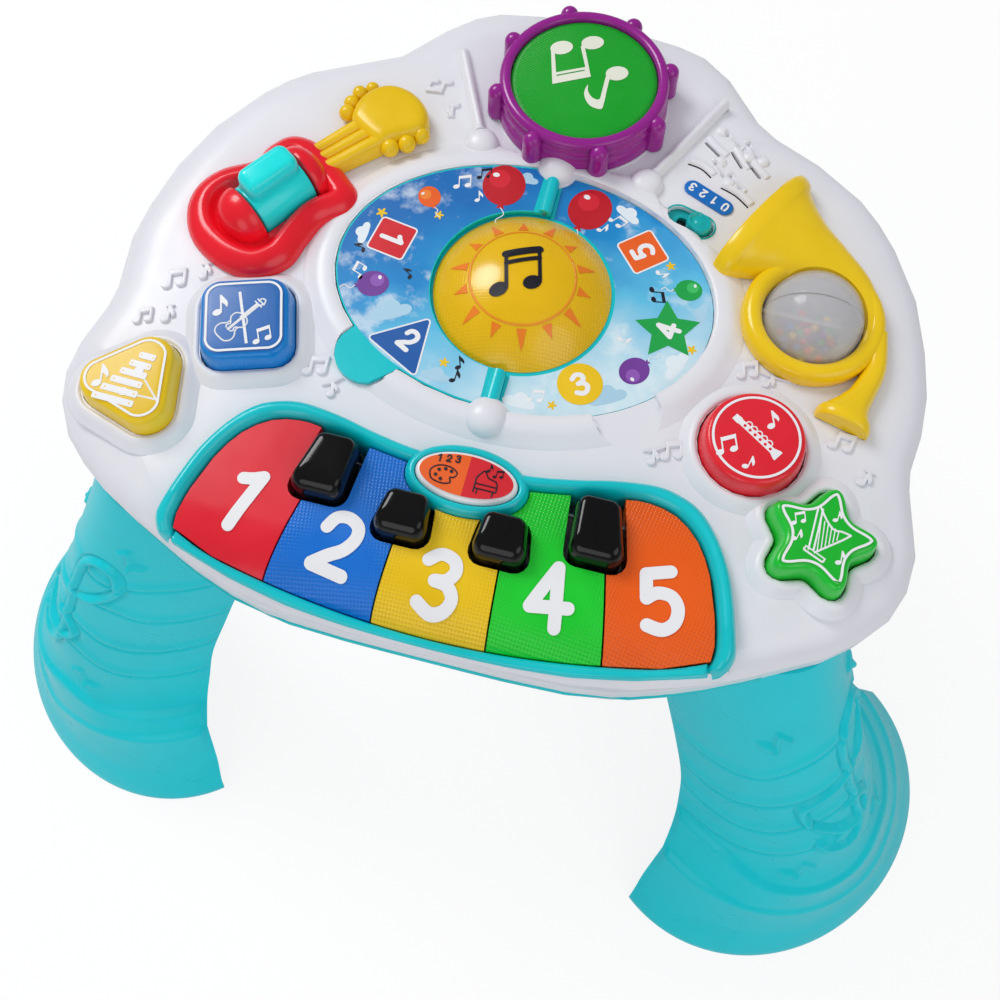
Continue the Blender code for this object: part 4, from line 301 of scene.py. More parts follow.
def moved(points, centre=(0, 0), turn=0.0, size=1.0, flip=False):
    """Turns (degrees), sizes and moves flat points."""
    p = np.asarray(points, float) * size
    if flip:
        p = p * (-1, 1)
    c, s = math.cos(math.radians(turn)), math.sin(math.radians(turn))
    return np.stack([p[:, 0] * c - p[:, 1] * s, p[:, 0] * s + p[:, 1] * c], 1) + np.asarray(centre)


print("helpers ready")

# %% [markdown]
# ## Moulded plastic
# Every part here is injection-moulded. Such plastic is never one flat colour: the melt leaves
# faint flow streaks, the gloss wanders a little, and the skin has a very fine grain and slow
# waves where thick places shrank. Three noise textures on Object coordinates give all three.

# %% Plastic finish
def paint(red, green, blue):
    """Colour as seen on a screen, turned to the linear values that a shader uses."""
    return tuple((c / 12.92 if c <= 0.04045 else ((c + 0.055) / 1.055) ** 2.4) for c
                 in (red / 255, green / 255, blue / 255))


def set_inputs(tree, made, values):
    """Fills a node's inputs: a socket is linked, any other value is written in."""
    for socket, value in values.items():
        if isinstance(value, bpy.types.NodeSocket):
            tree.links.new(value, made.inputs[socket])
        else:
            made.inputs[socket].default_value = value
    return made


def add_node(tree, kind, values=None, **traits):
    made = tree.nodes.new("ShaderNode" + kind)
    for trait, value in traits.items():
        setattr(made, trait, value)
    return set_inputs(tree, made, values or {})


def object_place(tree):
    return add_node(tree, "TexCoord").outputs["Object"]


def noise(tree, place, scale, detail, **more):
    return add_node(tree, "TexNoise",
                    {"Vector": place, "Scale": scale, "Detail": detail, **more}).outputs["Fac"]


def plastic(name, colour, rough=0.26, streak=0.07, wave=0.05, grain=0.02, coat=0.3, clear=0.0, glow=0.0,
            scale=1.0):
    look = bpy.data.materials.new(name)
    look.use_nodes = True
    tree = look.node_tree
    shader = tree.nodes["Principled BSDF"]
    place = object_place(tree)
    melt = noise(tree, place, 22 * scale, 4, Distortion=1.2)
    tint = add_node(tree, "ValToRGB", {"Fac": melt})
    dark, light = tint.color_ramp.elements
    dark.position, light.position = 0.25, 0.75
    dark.color = tuple(c * (1 - streak) for c in colour) + (1,)
    light.color = tuple(min(1, c * (1 + streak * 0.6) + 0.003) for c in colour) + (1,)
    gloss = add_node(tree, "MapRange", {"From Min": 0.3, "From Max": 0.7, "To Min": rough * 0.85,
                                        "To Max": rough * 1.2, "Value": melt})
    slow = noise(tree, place, 45 * scale, 1)
    fine = noise(tree, place, 1600, 2)
    sink = add_node(tree, "Bump", {"Strength": wave, "Distance": 0.004, "Height": slow})
    grains = add_node(tree, "Bump", {"Strength": grain, "Distance": 0.0004, "Height": fine,
                                     "Normal": sink.outputs["Normal"]}, name="grain bump")
    set_inputs(tree, shader, {"Base Color": tint.outputs["Color"], "Roughness": gloss.outputs["Result"],
                              "Normal": grains.outputs["Normal"], "Coat Weight": coat,
                              "Coat Roughness": 0.12, "IOR": 1.49})
    if clear:
        shader.inputs["Alpha"].default_value = 1 - clear
    if glow:
        set_inputs(tree, shader, {"Subsurface Weight": glow, "Subsurface Scale": 1.0,
                                  "Subsurface Radius": (0.004, 0.003, 0.002)})
    return look


def moulded_grid_and_shade(look, pitch, depth, painted_rib_shade=0.0, angle=0.0, centre=(0, 0, 0), inner=None, across=True):
    """Adds the fine prism grid that is moulded under a clear coloured plastic, and painted shade along
    its lines.
    """
    tree = look.node_tree
    shader = tree.nodes["Principled BSDF"]
    place = object_place(tree)
    turn = add_node(tree, "Mapping", {"Rotation": (0, 0, math.radians(angle)), "Vector": place})
    waves = []
    for direction in ("X", "Y") if across else ("Y",):
        band = add_node(tree, "TexWave",
                        {"Scale": 0.314 / pitch, "Distortion": 0, "Vector": turn.outputs["Vector"]},
                        wave_type="BANDS", bands_direction=direction, wave_profile="SIN")
        waves.append(band.outputs["Fac"])
    pattern = waves[0]
    if across:
        pattern = add_node(tree, "Math", {0: waves[0], 1: waves[1]},
                           operation="MULTIPLY").outputs["Value"]
    if inner:
        # the grid and its painted shade show strongest round the edge, where the wall behind it stands
        flat = add_node(tree, "Mapping", {"Scale": (1, 1, 0), "Vector": place})
        apart = add_node(tree, "VectorMath", {0: flat.outputs["Vector"], 1: centre}, operation="DISTANCE")
        fade = add_node(tree, "MapRange", {"From Min": inner[0], "From Max": inner[1], "To Min": inner[2],
                                           "Value": apart.outputs["Value"]})
        mask = add_node(tree, "Math", {0: pattern, 1: fade.outputs["Result"]}, operation="MULTIPLY")
        pattern = mask.outputs["Value"]
    bump = add_node(tree, "Bump", {"Strength": depth, "Distance": 0.0006, "Height": pattern,
                                   "Normal": tree.nodes["grain bump"].outputs["Normal"]})
    tree.links.new(bump.outputs["Normal"], shader.inputs["Normal"])
    # painted shade: the base colour is darkened along the grid's lines
    if painted_rib_shade:
        source = shader.inputs["Base Color"].links[0].from_socket
        shade = (1 - painted_rib_shade, 1 - painted_rib_shade * 1.3, 1 - painted_rib_shade, 1)
        mix = add_node(tree, "Mix", {"B": shade, "A": source, "Factor": pattern}, data_type="RGBA",
                       blend_type="MULTIPLY")
        tree.links.new(mix.outputs["Result"], shader.inputs["Base Color"])
    return look


WHITE = plastic("deck_white", paint(237, 237, 243), 0.34, streak=0.012, wave=0.03, coat=0.08)
TRIM = plastic("trim_teal", paint(0, 206, 214), 0.24, coat=0.15)
LEG_TEAL = plastic("leg_teal", paint(0, 214, 226), 0.3, streak=0.04, wave=0.06, coat=0.0)
LEG_TEAL.node_tree.nodes["Principled BSDF"].inputs["Specular IOR Level"].default_value = 0.3
SWITCH_TEAL = plastic("switch_teal", paint(0, 182, 184), 0.25)
GUITAR_RED = plastic("guitar_red", paint(250, 20, 42), 0.24, coat=0.2)
GUITAR_YELLOW = plastic("guitar_yellow", paint(248, 204, 4), 0.27, coat=0.15)
STRUM_TEAL = plastic("strum_teal", paint(24, 244, 242), 0.24, coat=0.2)
HORN_YELLOW = plastic("horn_yellow", paint(253, 210, 14), 0.24, coat=0.2)
DRUM_PURPLE = plastic("drum_purple", paint(156, 26, 146), 0.24, coat=0.25)
BLACK = plastic("black_plastic", (0.003, 0.003, 0.0034), 0.13, wave=0.02, coat=0.0)
BLACK.node_tree.nodes["Principled BSDF"].inputs["Specular IOR Level"].default_value = 0.4
PRINT_WHITE = plastic("print_white", paint(246, 246, 248), 0.45, streak=0.01, wave=0.0, coat=0.0)
PRINT_DARK = plastic("print_dark", paint(22, 24, 40), 0.4, wave=0.0, coat=0.0)
PRINT_RED = plastic("print_red", paint(225, 28, 42), 0.35, wave=0.0, coat=0.1)
PRINT_BLUE = plastic("print_blue", paint(0, 92, 176), 0.35, wave=0.0, coat=0.1)
PRINT_YELLOW = plastic("print_yellow", paint(250, 205, 10), 0.35, wave=0.0, coat=0.1)
PRINT_GREEN = plastic("print_green", paint(20, 172, 74), 0.35, wave=0.0, coat=0.1)
PRINT_ORANGE = plastic("print_orange", paint(248, 100, 18), 0.35, wave=0.0, coat=0.1)
PRINT_PURPLE = plastic("print_purple", paint(120, 60, 160), 0.35, wave=0.0, coat=0.1)
PRINT_CLOUD = plastic("print_cloud", paint(236, 246, 252), 0.45, streak=0.03, wave=0.0, coat=0.0)
PRINT_MIST = plastic("print_mist", paint(178, 218, 240), 0.45, streak=0.06, wave=0.0, coat=0.0)
print("materials", len(bpy.data.materials))

# %% [markdown]
# ## Solids that stay, with soft edges
# Where a solid already has the right form, a copy of it gets merged points and smooth shading,
# and a small bevel on its sharp edges, because a moulded edge always has a radius that catches
# the light. The copy stands for the solid and keeps its place.

# %% Softened copies
def soften(node, name, look, body, radius=0.0, angle=32, segments=2):
    source = nodes[node]
    piece = bpy.data.objects.new(name, source.data.copy())
    piece.data.name = name
    bpy.context.scene.collection.objects.link(piece)
    choose(piece)
    bpy.ops.object.mode_set(mode="EDIT")
    bpy.ops.mesh.select_all(action="SELECT")
    bpy.ops.mesh.remove_doubles(threshold=1e-5)
    bpy.ops.mesh.dissolve_limited(angle_limit=math.radians(0.6))
    bpy.ops.object.mode_set(mode="OBJECT")
    if radius:
        bevel = piece.modifiers.new("edge", "BEVEL")
        bevel.width = radius
        bevel.segments = segments
        bevel.limit_method = "ANGLE"
        bevel.angle_limit = math.radians(50)
        bevel.use_clamp_overlap = True
        bevel.harden_normals = False
    apply_all(piece)
    smooth(piece, angle)
    even_out = piece.modifiers.new("even", "WEIGHTED_NORMAL")
    even_out.keep_sharp = True
    apply_all(piece)
    return dress(piece, look, body, node)


deck = soften("top_deck", "deck", WHITE, "base")
shell = soften("bottom_shell", "underside", WHITE, "base", angle=40)

bed = soften("key_bed", "key_bed_floor", WHITE, "base")
print("softened", [o.name for o in (deck, shell, bed)])

# %% [markdown]
# ## Carved legs
# Each leg is an open half tube: one wall of plastic that leans out and flares into a foot. Its
# face carries a music staff that runs round it in waves, a big clef and two small notes. The
# wall is a loft with closely spaced rings, and every point of its outer face is moved in or out
# by its distance to the carved lines, which is how a mould cutter would think of it.

# %% The leg's form
LEG_HEIGHT, LEG_REACH, FOOT_DEPTH, FOOT_HALF_WIDTH, LEG_WALL = 0.2866, 0.2875, 0.1045, 0.119, 0.0035
LEG_STATIONS = np.array((
    (0.000, 1.000, 1.000, 1.000), (0.020, 0.997, 0.992, 0.989), (0.055, 0.988, 0.965, 0.945),
    (0.110, 0.972, 0.918, 0.872), (0.215, 0.949, 0.856, 0.744), (0.232, 0.943, 0.861, 0.716),
    (0.290, 0.912, 0.880, 0.612), (0.345, 0.881, 0.872, 0.540), (0.440, 0.840, 0.862, 0.487),
    (0.560, 0.774, 0.846, 0.450), (0.700, 0.704, 0.818, 0.430), (0.850, 0.628, 0.790, 0.405),
    (1.000, 0.555, 0.765, 0.388),
))


def station(height):
    fine = flow(LEG_STATIONS, 10, closed=False)
    fine[:, 0] = np.maximum.accumulate(fine[:, 0])
    return [np.interp(height, fine[:, 0], fine[:, k]) for k in (1, 2, 3)]


def leg_point(degrees, height, sink=0.0):
    """Point on a leg's face: degrees round it and height as a share of its own height."""
    reach, depth, width = station(height)
    t = np.radians(degrees)
    x = LEG_REACH * reach + (FOOT_DEPTH * depth - sink) * np.cos(t)
    y = (FOOT_HALF_WIDTH * width - sink) * np.sin(t)
    return np.stack([x, y, np.broadcast_to(height * LEG_HEIGHT, np.shape(x))], -1)


# Staff lines and the two foot bands: degrees round the leg against height shares.
STAFF_SHARES = (
    ((-90, 0.598), (-67, 0.615), (-46, 0.650), (-23, 0.718), (0, 0.752), (27, 0.740), (48, 0.750),
     (90, 0.748)),
    ((-90, 0.495), (-67, 0.505), (-46, 0.552), (-25, 0.605), (0, 0.650), (32, 0.660), (56, 0.628),
     (90, 0.605)),
    ((-90, 0.415), (-67, 0.425), (-46, 0.465), (-23, 0.525), (0, 0.556), (19, 0.555), (47, 0.512),
     (90, 0.480)),
    ((-90, 0.333), (-67, 0.350), (-46, 0.380), (-22, 0.443), (0, 0.470), (22, 0.470), (49, 0.413),
     (90, 0.375)),
)
BAND_SHARES = (
    ((-90, 0.322), (-66, 0.323), (-44, 0.290), (-22, 0.285), (0, 0.300), (22, 0.315), (45, 0.290),
     (90, 0.280)),
    ((-90, 0.235), (-64, 0.228), (-40, 0.210), (-18, 0.186), (8, 0.160), (29, 0.205), (55, 0.230),
     (90, 0.230)),
)
# A clef in its own square: x to the right, y upwards, both from its middle.
CLEF = np.array((
    (0.00, -0.17), (0.09, -0.18), (0.15, -0.25), (0.09, -0.32), (-0.05, -0.33), (-0.17, -0.26),
    (-0.21, -0.15), (-0.13, -0.03), (0.00, 0.07), (0.12, 0.19), (0.17, 0.32), (0.12, 0.44), (0.04, 0.48),
    (-0.03, 0.40), (-0.04, 0.26), (0.00, 0.08), (0.05, -0.12), (0.09, -0.30), (0.10, -0.42),
    (0.04, -0.50), (-0.06, -0.50), (-0.11, -0.44), (-0.05, -0.41),
))
NOTE_STROKE = np.array(((0.5, 0.0), (0.5, 2.6), (1.4, 2.1)))
# The face is unrolled to a flat sheet for the carving: its height, and its radius (metres).
SHEET_HEIGHT, SHEET_RADIUS = 0.335, 0.056
print("leg tables", len(STAFF_SHARES) + len(BAND_SHARES), "lines")


# %% Carving as a field of heights
def distance_to(lines, x, y):
    best = np.full(x.shape, 1.0)
    for line in lines:
        a, b = line[:-1], line[1:]
        for (ax, ay), (bx, by) in zip(a, b):
            length = max((bx - ax) ** 2 + (by - ay) ** 2, 1e-12)
            t = np.clip(((x - ax) * (bx - ax) + (y - ay) * (by - ay)) / length, 0, 1)
            best = np.minimum(best, np.hypot(x - ax - t * (bx - ax), y - ay - t * (by - ay)))
    return best


def carving(degrees, height):
    """How far the leg's face stands out (metres) at each point."""
    over = height * SHEET_HEIGHT
    round_it = np.radians(degrees) * SHEET_RADIUS
    rise = np.zeros(degrees.shape)
    curves = [flow(line, 8, closed=False) for line in STAFF_SHARES + BAND_SHARES]
    lows = [np.interp(degrees, c[:, 0], c[:, 1]) for c in curves]
    for low in lows[:4]:
        away = (height - low) * SHEET_HEIGHT
        rise -= 0.0020 * np.exp(-(away / 0.0011) ** 2)
        rise += 0.0012 * np.exp(-((away - 0.005) / 0.0042) ** 2)
    for low, step in zip(lows[4:], (0.0034, 0.0026)):
        away = (height - low) * SHEET_HEIGHT
        rise += step * (0.5 - 0.5 * np.tanh(away / 0.0017)) * np.exp(np.minimum(away, 0) / 0.02)
    clef_x, clef_y = math.radians(5) * SHEET_RADIUS, 0.618 * SHEET_HEIGHT
    clef = moved(flow(CLEF, 8, closed=False), (clef_x, clef_y), -10, 0.132)
    near = distance_to([clef], round_it, over)
    rise += 0.0025 * np.clip(1.25 - (near / 0.0025) ** 2, 0,
                             1) - 0.0014 * np.exp(-((near - 0.0037) / 0.0010) ** 2)
    for side, at_deg, at_share in ((1, -38, 0.775), (-1, 40, 0.830), (1, -35, 0.330), (-1, 36, 0.345)):
        cx, cy = math.radians(at_deg) * SHEET_RADIUS, at_share * SHEET_HEIGHT
        head = np.hypot((round_it - cx) / 1.3, over - cy)
        stroke = moved(NOTE_STROKE * 0.0064, (cx, cy), -12 * side, 1.0, flip=side < 0)
        rise += 0.0024 * np.clip(1.2 - (head / 0.0044) ** 2, 0, 1)
        rise += 0.0020 * np.clip(1.2 - (distance_to([stroke], round_it, over) / 0.0017) ** 2, 0, 1)
    return rise


def carved_leg(name, turn, start_y, node):
    columns, back_columns, rows = 190, 36, 240
    face = np.linspace(-90, 90, columns)
    heights = np.linspace(0, 1, rows) * 0.9986
    degrees, levels = np.meshgrid(face, heights)
    rise = carving(degrees, levels)
    rise *= np.clip(levels / 0.02, 0, 1) * np.clip((89.5 - np.abs(degrees)) / 3, 0, 1)
    outer = leg_point(degrees, levels, -rise)
    back = np.linspace(90, -90, back_columns)
    inner = leg_point(*np.meshgrid(back, heights), sink=LEG_WALL)
    loops = np.concatenate([outer, inner], 1)
    c, s = math.cos(math.radians(turn)), math.sin(math.radians(turn))
    x, y = loops[..., 0] * c - loops[..., 1] * s, loops[..., 0] * s + loops[..., 1] * c + start_y
    piece = skin(name, np.stack([x, y, loops[..., 2]], -1), angle=50)
    return dress(piece, LEG_TEAL, "base", node)


for name, turn, start_y in (("leg_front_right", -38.5, SHIFT_Y), ("leg_front_left", -141.5, SHIFT_Y),
                            ("leg_back", 90.0, SHIFT_Y - 0.050)):
    leg = carved_leg(name + "_carved", turn, start_y, name)
    print(leg.name, len(leg.data.vertices), "points")

# %% [markdown]
# ## Corners, prints and strokes
# Buttons and tiles share a few outlines: polygons with rounded corners, stars with soft tips and
# music notes. A print is a thin skin of ink, laid on the plastic.

# %% Outlines and prints
C = np.array([0.0, SHIFT_Y])


def round_corners(corners, radius, steps=10):
    p = np.asarray(corners, float)
    out = []
    for i in range(len(p)):
        before, here, after = p[i - 1], p[i], p[(i + 1) % len(p)]
        u = (before - here) / np.linalg.norm(before - here)
        v = (after - here) / np.linalg.norm(after - here)
        half = math.acos(np.clip(u @ v, -1, 1)) / 2
        middle = here + (u + v) / np.linalg.norm(u + v) * radius / math.sin(half)
        start, end = here + u * radius / math.tan(half), here + v * radius / math.tan(half)
        first, last = (math.atan2(*(q - middle)[::-1]) for q in (start, end))
        while last < first:
            last += 2 * math.pi
        if last - first > math.pi:
            last -= 2 * math.pi
        out += [middle + radius * np.array([math.cos(a), math.sin(a)]) for a
                in np.linspace(first, last, steps)]
    return np.array(out)


def bulge(outline, sides, amount, turn):
    """Pushes the sides of a polygon outwards and leaves its corners."""
    r, a = np.hypot(*outline.T), np.arctan2(outline[:, 1], outline[:, 0])
    r = r + amount * (0.5 - 0.5 * np.cos(sides * (a - turn)))
    return np.stack([r * np.cos(a), r * np.sin(a)], 1)


def box_outline(width, depth, radius, steps=8):
    w, d = width / 2, depth / 2
    return round_corners([(-w, -d), (w, -d), (w, d), (-w, d)], radius, steps)


def oval(width, depth, count=64):
    return polar(lambda a: 1.0, count) * (width / 2, depth / 2)


def star_outline(tip, valley, count=200, sharp=1.15):
    return polar(lambda a: valley + (tip - valley) * (0.5 + 0.5 * math.cos(5 * a)) ** sharp, count)


def note_parts(kind):
    """Outlines of a note one unit high: heads, stems and a flag or a beam."""
    if kind == "single":
        return [moved(oval(0.42, 0.30), (0.18, 0.14), 20),
                np.array([(0.31, 0.16), (0.385, 0.16), (0.385, 1.0), (0.31, 1.0)]),
                np.array([(0.38, 0.62), (0.52, 0.50), (0.60, 0.36), (0.66, 0.50), (0.62, 0.68),
                          (0.38, 1.0)])]
    return [moved(oval(0.40, 0.29), (0.18, 0.13), 20), moved(oval(0.40, 0.29), (0.86, 0.26), 20),
            np.array([(0.30, 0.15), (0.37, 0.15), (0.37, 0.90), (0.30, 0.90)]),
            np.array([(0.98, 0.28), (1.05, 0.28), (1.05, 1.0), (0.98, 1.0)]),
            np.array([(0.30, 0.68), (1.05, 0.82), (1.05, 1.02), (0.30, 0.88)])]


def ink(name, outlines, z, look, body, slot, thick=0.0002, follow=None, edge=0.0):
    """Prints closed outlines, each as its own thin skin, and joins them."""
    skins = []
    for k, outline in enumerate(outlines):
        rings = outline if isinstance(outline, list) else [outline]
        skins.append(flat_shape("%s_%d" % (name, k), rings, z, thick + 0.00001 * (k % 5), edge))
    piece = join_all(name, skins) if len(skins) > 1 else skins[0]
    piece.name = piece.data.name = name
    if follow:
        drape(piece, follow)
    return dress(piece, look, body, slot=slot)


def notes(centre, size, turn, kind):
    middle = (0.68, 0.5) if kind == "pair" else (0.38, 0.5)
    return [moved(part - middle, centre, turn, size) for part in note_parts(kind)]


DIGITS = {
    "0": [((0, .5), (.20, .42), (.27, .16), (.27, -.16), (.20, -.42), (0, -.5), (-.20, -.42),
           (-.27, -.16), (-.27, .16), (-.20, .42), (0, .5))],
    "1": [((-.20, .30), (-.06, .38), (.08, .50)), ((.08, .50), (.08, -.50))],
    "2": [((-.27, .20), (-.18, .41), (.02, .48), (.22, .39), (.27, .19), (.16, -.05), (-.06, -.24),
           (-.27, -.45)),
          ((-.27, -.46), (.29, -.46))],
    "3": [((-.25, .34), (-.06, .48), (.17, .42), (.24, .24), (.12, .07), (-.07, .03)),
          ((-.07, .03), (.15, -.01), (.28, -.20), (.19, -.41), (-.03, -.49), (-.28, -.36))],
    "4": [((.13, -.50), (.13, .49)), ((.13, .49), (-.30, -.18)), ((-.30, -.18), (.33, -.18))],
    "5": [((.24, .47), (-.17, .47)), ((-.17, .47), (-.22, .06)),
          ((-.22, .06), (-.03, .13), (.19, .05), (.27, -.16), (.18, -.39), (-.03, -.48), (-.27, -.38))],
}


def stroke(points, width):
    """Outline of a fat pen line with round ends."""
    p = np.asarray(points, float)
    along = np.gradient(p, axis=0)
    along /= np.linalg.norm(along, axis=1)[:, None]
    side = np.stack([-along[:, 1], along[:, 0]], 1) * width / 2
    start, end = (math.atan2(v[1], v[0]) for v in (side[0], -side[-1]))
    t = np.linspace(0, math.pi, 9)[1:-1]
    cap_start = p[0] + width / 2 * np.stack([np.cos(start + t), np.sin(start + t)], 1)
    cap_end = p[-1] + width / 2 * np.stack([np.cos(end + t), np.sin(end + t)], 1)
    return np.vstack([p - side, cap_end, (p + side)[::-1], cap_start])


def digit(name, figure, centre, height, width, turn, z, look, body, slot, rise=0.0003, follow=None):
    shapes = []
    for line in DIGITS[figure]:
        points = np.array(line)
        curve = flow(points, 7, closed=False) if len(line) > 2 else even(points, 14, closed=False)
        shapes.append(stroke(moved(curve, centre, turn, height - width), width))
    return ink(name, shapes, z, look, body, slot, rise, follow)


print("outlines ready")

# %% [markdown]
# ## Push buttons
# Four caps in four shapes stand in soft white pedestals of the deck. A cap is moulded in a
# clear-ish colour with drafted sides, a small radius round the top and a face that is barely
# domed. Its face carries a print: a deeper colour, a white border and a small picture.

# %% Caps and pedestals
TOP = 0.3316
CAP_STEPS = ((0.0, 0.3060), (0.0, 0.3195), (0.0007, 0.3240), (0.0014, 0.3280), (0.0019, 0.3298),
             (0.0025, 0.3308), (0.0033, 0.3314), (0.0042, TOP))
FOOT_STEPS = ((-0.0009, 0.3150), (-0.0009, 0.3206), (-0.0014, 0.3213), (-0.0024, 0.3216),
              (-0.0040, 0.3212), (-0.0056, 0.3200), (-0.0072, 0.3184), (-0.0086, 0.3174),
              (-0.0094, 0.3168), (-0.0095, 0.3120))


def crown(outline):
    """Height of a cap's face above its rim: a very shallow dome."""
    reach = np.hypot(*(outline - outline.mean(0)).T).max()
    middle = outline.mean(0)
    return lambda x, y: 0.0008 * np.clip(1 - ((x - middle[0]) ** 2 + (y - middle[1]) ** 2) / reach ** 2,
                                         0, 1)


def cap(name, outline, look, body, node, steps=CAP_STEPS):
    rings = [at_height(inset(outline, d), z) for d, z in steps]
    middle = outline.mean(0)
    high = crown(outline)
    edge = inset(outline, steps[-1][0])
    for s in (0.94, 0.8, 0.6, 0.4, 0.2, 0.05):
        p = middle + (edge - middle) * s
        rings.append(at_height(p, steps[-1][1])
                     + np.column_stack([np.zeros((len(p), 2)), high(p[:, 0], p[:, 1])]))
    return dress(skin(name, rings, angle=60), look, body, node)


def pedestal(name, outline):
    piece = skin(name, [at_height(inset(outline, d), z) for d, z in FOOT_STEPS], close=False, angle=60)
    return dress(piece, WHITE, "base", slot="deck_white")


BLUE_CAP = plastic("button_blue", paint(0, 134, 220), 0.24, coat=0.2, glow=0.1)
YELLOW_CAP = plastic("button_yellow", paint(255, 212, 24), 0.24, coat=0.2, glow=0.1)
RED_CAP = plastic("button_red", paint(244, 36, 52), 0.24, coat=0.2, glow=0.1)
GREEN_CAP = plastic("button_green", paint(28, 206, 56), 0.24, coat=0.2, glow=0.1)
BLUE_FACE = plastic("face_blue", paint(0, 102, 184), 0.34, coat=0.08)
YELLOW_FACE = plastic("face_yellow", paint(240, 198, 0), 0.34, coat=0.08)
RED_FACE = plastic("face_red", paint(236, 26, 46), 0.34, coat=0.08)
GREEN_FACE = plastic("face_green", paint(14, 192, 44), 0.34, coat=0.08)

half = 0.0237
square = even(bulge(round_corners([(-half, -half), (half, -half), (half, half), (-half, half)], 0.0112),
                    4, 0.0010, math.pi / 4), 160)
thirds = [(0.040 * math.cos(a), 0.040 * math.sin(a)) for a in (0, 2 * math.pi / 3, 4 * math.pi / 3)]
triangle = even(bulge(round_corners(thirds, 0.0125), 3, 0.0020, 0.0), 160)
BUTTONS = {
    "blue": (moved(square, spot((-0.588, -0.306)), 18), BLUE_CAP, BLUE_FACE),
    "yellow": (moved(triangle, spot((-0.781, -0.543)), 72), YELLOW_CAP, YELLOW_FACE),
    "red": (moved(oval(0.052, 0.052, 144), spot((0.588, -0.314))), RED_CAP, RED_FACE),
    "green": (moved(star_outline(0.0278, 0.0190), spot((0.760, -0.530)), 9), GREEN_CAP, GREEN_FACE),
}
for colour, (outline, look, face) in BUTTONS.items():
    body = colour + "_button"
    cap(body + "_cap", outline, look, body, body)
    pedestal(colour + "_pedestal", outline)
    high = crown(outline)
    label = [at_height(inset(outline, 0.0036), TOP + 0.00005)]
    middle = outline.mean(0)
    for s in (0.9, 0.75, 0.6, 0.4, 0.2, 0.04):
        p = middle + (inset(outline, 0.0036) - middle) * s
        label.append(np.column_stack([p, TOP + 0.00008 + high(p[:, 0], p[:, 1])]))
    dress(skin(colour + "_label", label, angle=60), face, body, slot="button_" + colour)
    ink(colour + "_border", [[inset(outline, 0.0046), inset(outline, 0.0058)[::-1]]], TOP + 0.0001,
        PRINT_WHITE, body, "button_white", thick=0.0003, follow=high)
print("buttons", len(BUTTONS))

# %% [markdown]
# ## Pictures on the buttons
# Each face names an instrument with a plain line drawing: a violin, a xylophone, a clarinet and
# a harp, with a few notes. They are drawn in millimetres as the reader at the front sees them.

# %% Pictures
LEAN = 14.4


def sketch(points, colour):
    middle = BUTTONS[colour][0].mean(0)
    return moved(np.asarray(points, float) * 0.001, middle, LEAN)


def lines_on(colour, name, lines, width=0.0009):
    piece = drawn(name, [sketch(line, colour) for line in lines], width, TOP + 0.0001, 0.0003, steps=2)
    drape(piece, crown(BUTTONS[colour][0]))
    return dress(piece, PRINT_WHITE, colour + "_button", slot="button_white")


def shapes_on(colour, name, shapes, look=PRINT_WHITE):
    return ink(name, [sketch(shape, colour) for shape in shapes], TOP + 0.0001, look, colour + "_button",
               "button_white", thick=0.0003, follow=crown(BUTTONS[colour][0]))


def on_violin(points):
    return moved(points, (-4.6, -5.2), -45)


body_half = np.array([(0, -9.5), (3.6, -9.0), (5.4, -6.6), (5.0, -3.8), (3.2, -1.6), (3.0, 0.6),
                      (4.4, 2.4), (4.2, 5.2), (2.2, 6.9), (0, 7.0)])
violin = np.vstack([body_half, body_half[::-1][1:-1] * (-1, 1)])
violin = on_violin(flow(violin, 5))
neck = [on_violin([(-0.9, 5), (-0.9, 16.5), (0.9, 16.5), (0.9, 5)])]
strings = [on_violin([(x, -4), (x, 16)]) for x in (-0.35, 0.35)]
scroll_line = [(0.9, 16.5), (2.0, 18.5), (0.6, 20.6), (-1.2, 19.6), (-0.9, 17.6)]
scroll = [on_violin(flow(scroll_line, 5, closed=False))]
pegs = [on_violin([(-2.6, y), (2.6, y)]) for y in (16.4, 18.2)]
waist_line = np.array([(1.2, -3.6), (2.4, -2.4), (1.6, -0.8), (2.6, 0.6)])
waist = [on_violin(flow(waist_line * (s, 1), 4, closed=False)) for s in (-1, 1)]
lines_on("blue", "violin", [np.vstack([violin, violin[:1]])] + neck + strings + scroll + pegs + waist,
         0.0008)
bow = [np.array([(-3.6, 13.4), (-2.2, 13.6), (3.4, -15.6), (2.0, -15.8)])]
shapes_on("blue", "violin_bow", bow + notes((-11.4, 6.0), 11.5, 6, "single")
          + notes((11.2, -10.6), 9.0, 12, "pair"))

bars = []
for k in range(6):
    long = 8.5 + 2.6 * k
    bars.append(moved(box_outline(long, 3.5, 0.8, 3), (7.4 - 2.9 * k, 11.0 - 4.6 * k), -16))
sticks = [np.array([(4.5, 3.0), (15.0, -13.5)]), np.array([(-2.0, -8.5), (15.5, -12.5)])]
heads = [moved(oval(4.6, 4.2, 24), (4.2, 3.4)), moved(oval(4.6, 4.2, 24), (-2.4, -8.0))]
shapes_on("yellow", "xylophone", bars + notes((-13.6, 1.0), 12.0, 0, "single"))
lines_on("yellow", "xylophone_sticks", sticks, 0.0011)
shapes_on("yellow", "xylophone_heads", heads)
pins = []
for k in range(6):
    for s in (-1, 1):
        pin = moved([(s * (3.2 + 1.1 * k), 0)], (7.4 - 2.9 * k, 11.0 - 4.6 * k), -16)[0]
        pins.append(moved(oval(0.9, 0.9, 12), pin))
shapes_on("yellow", "xylophone_pins", pins, YELLOW_FACE)

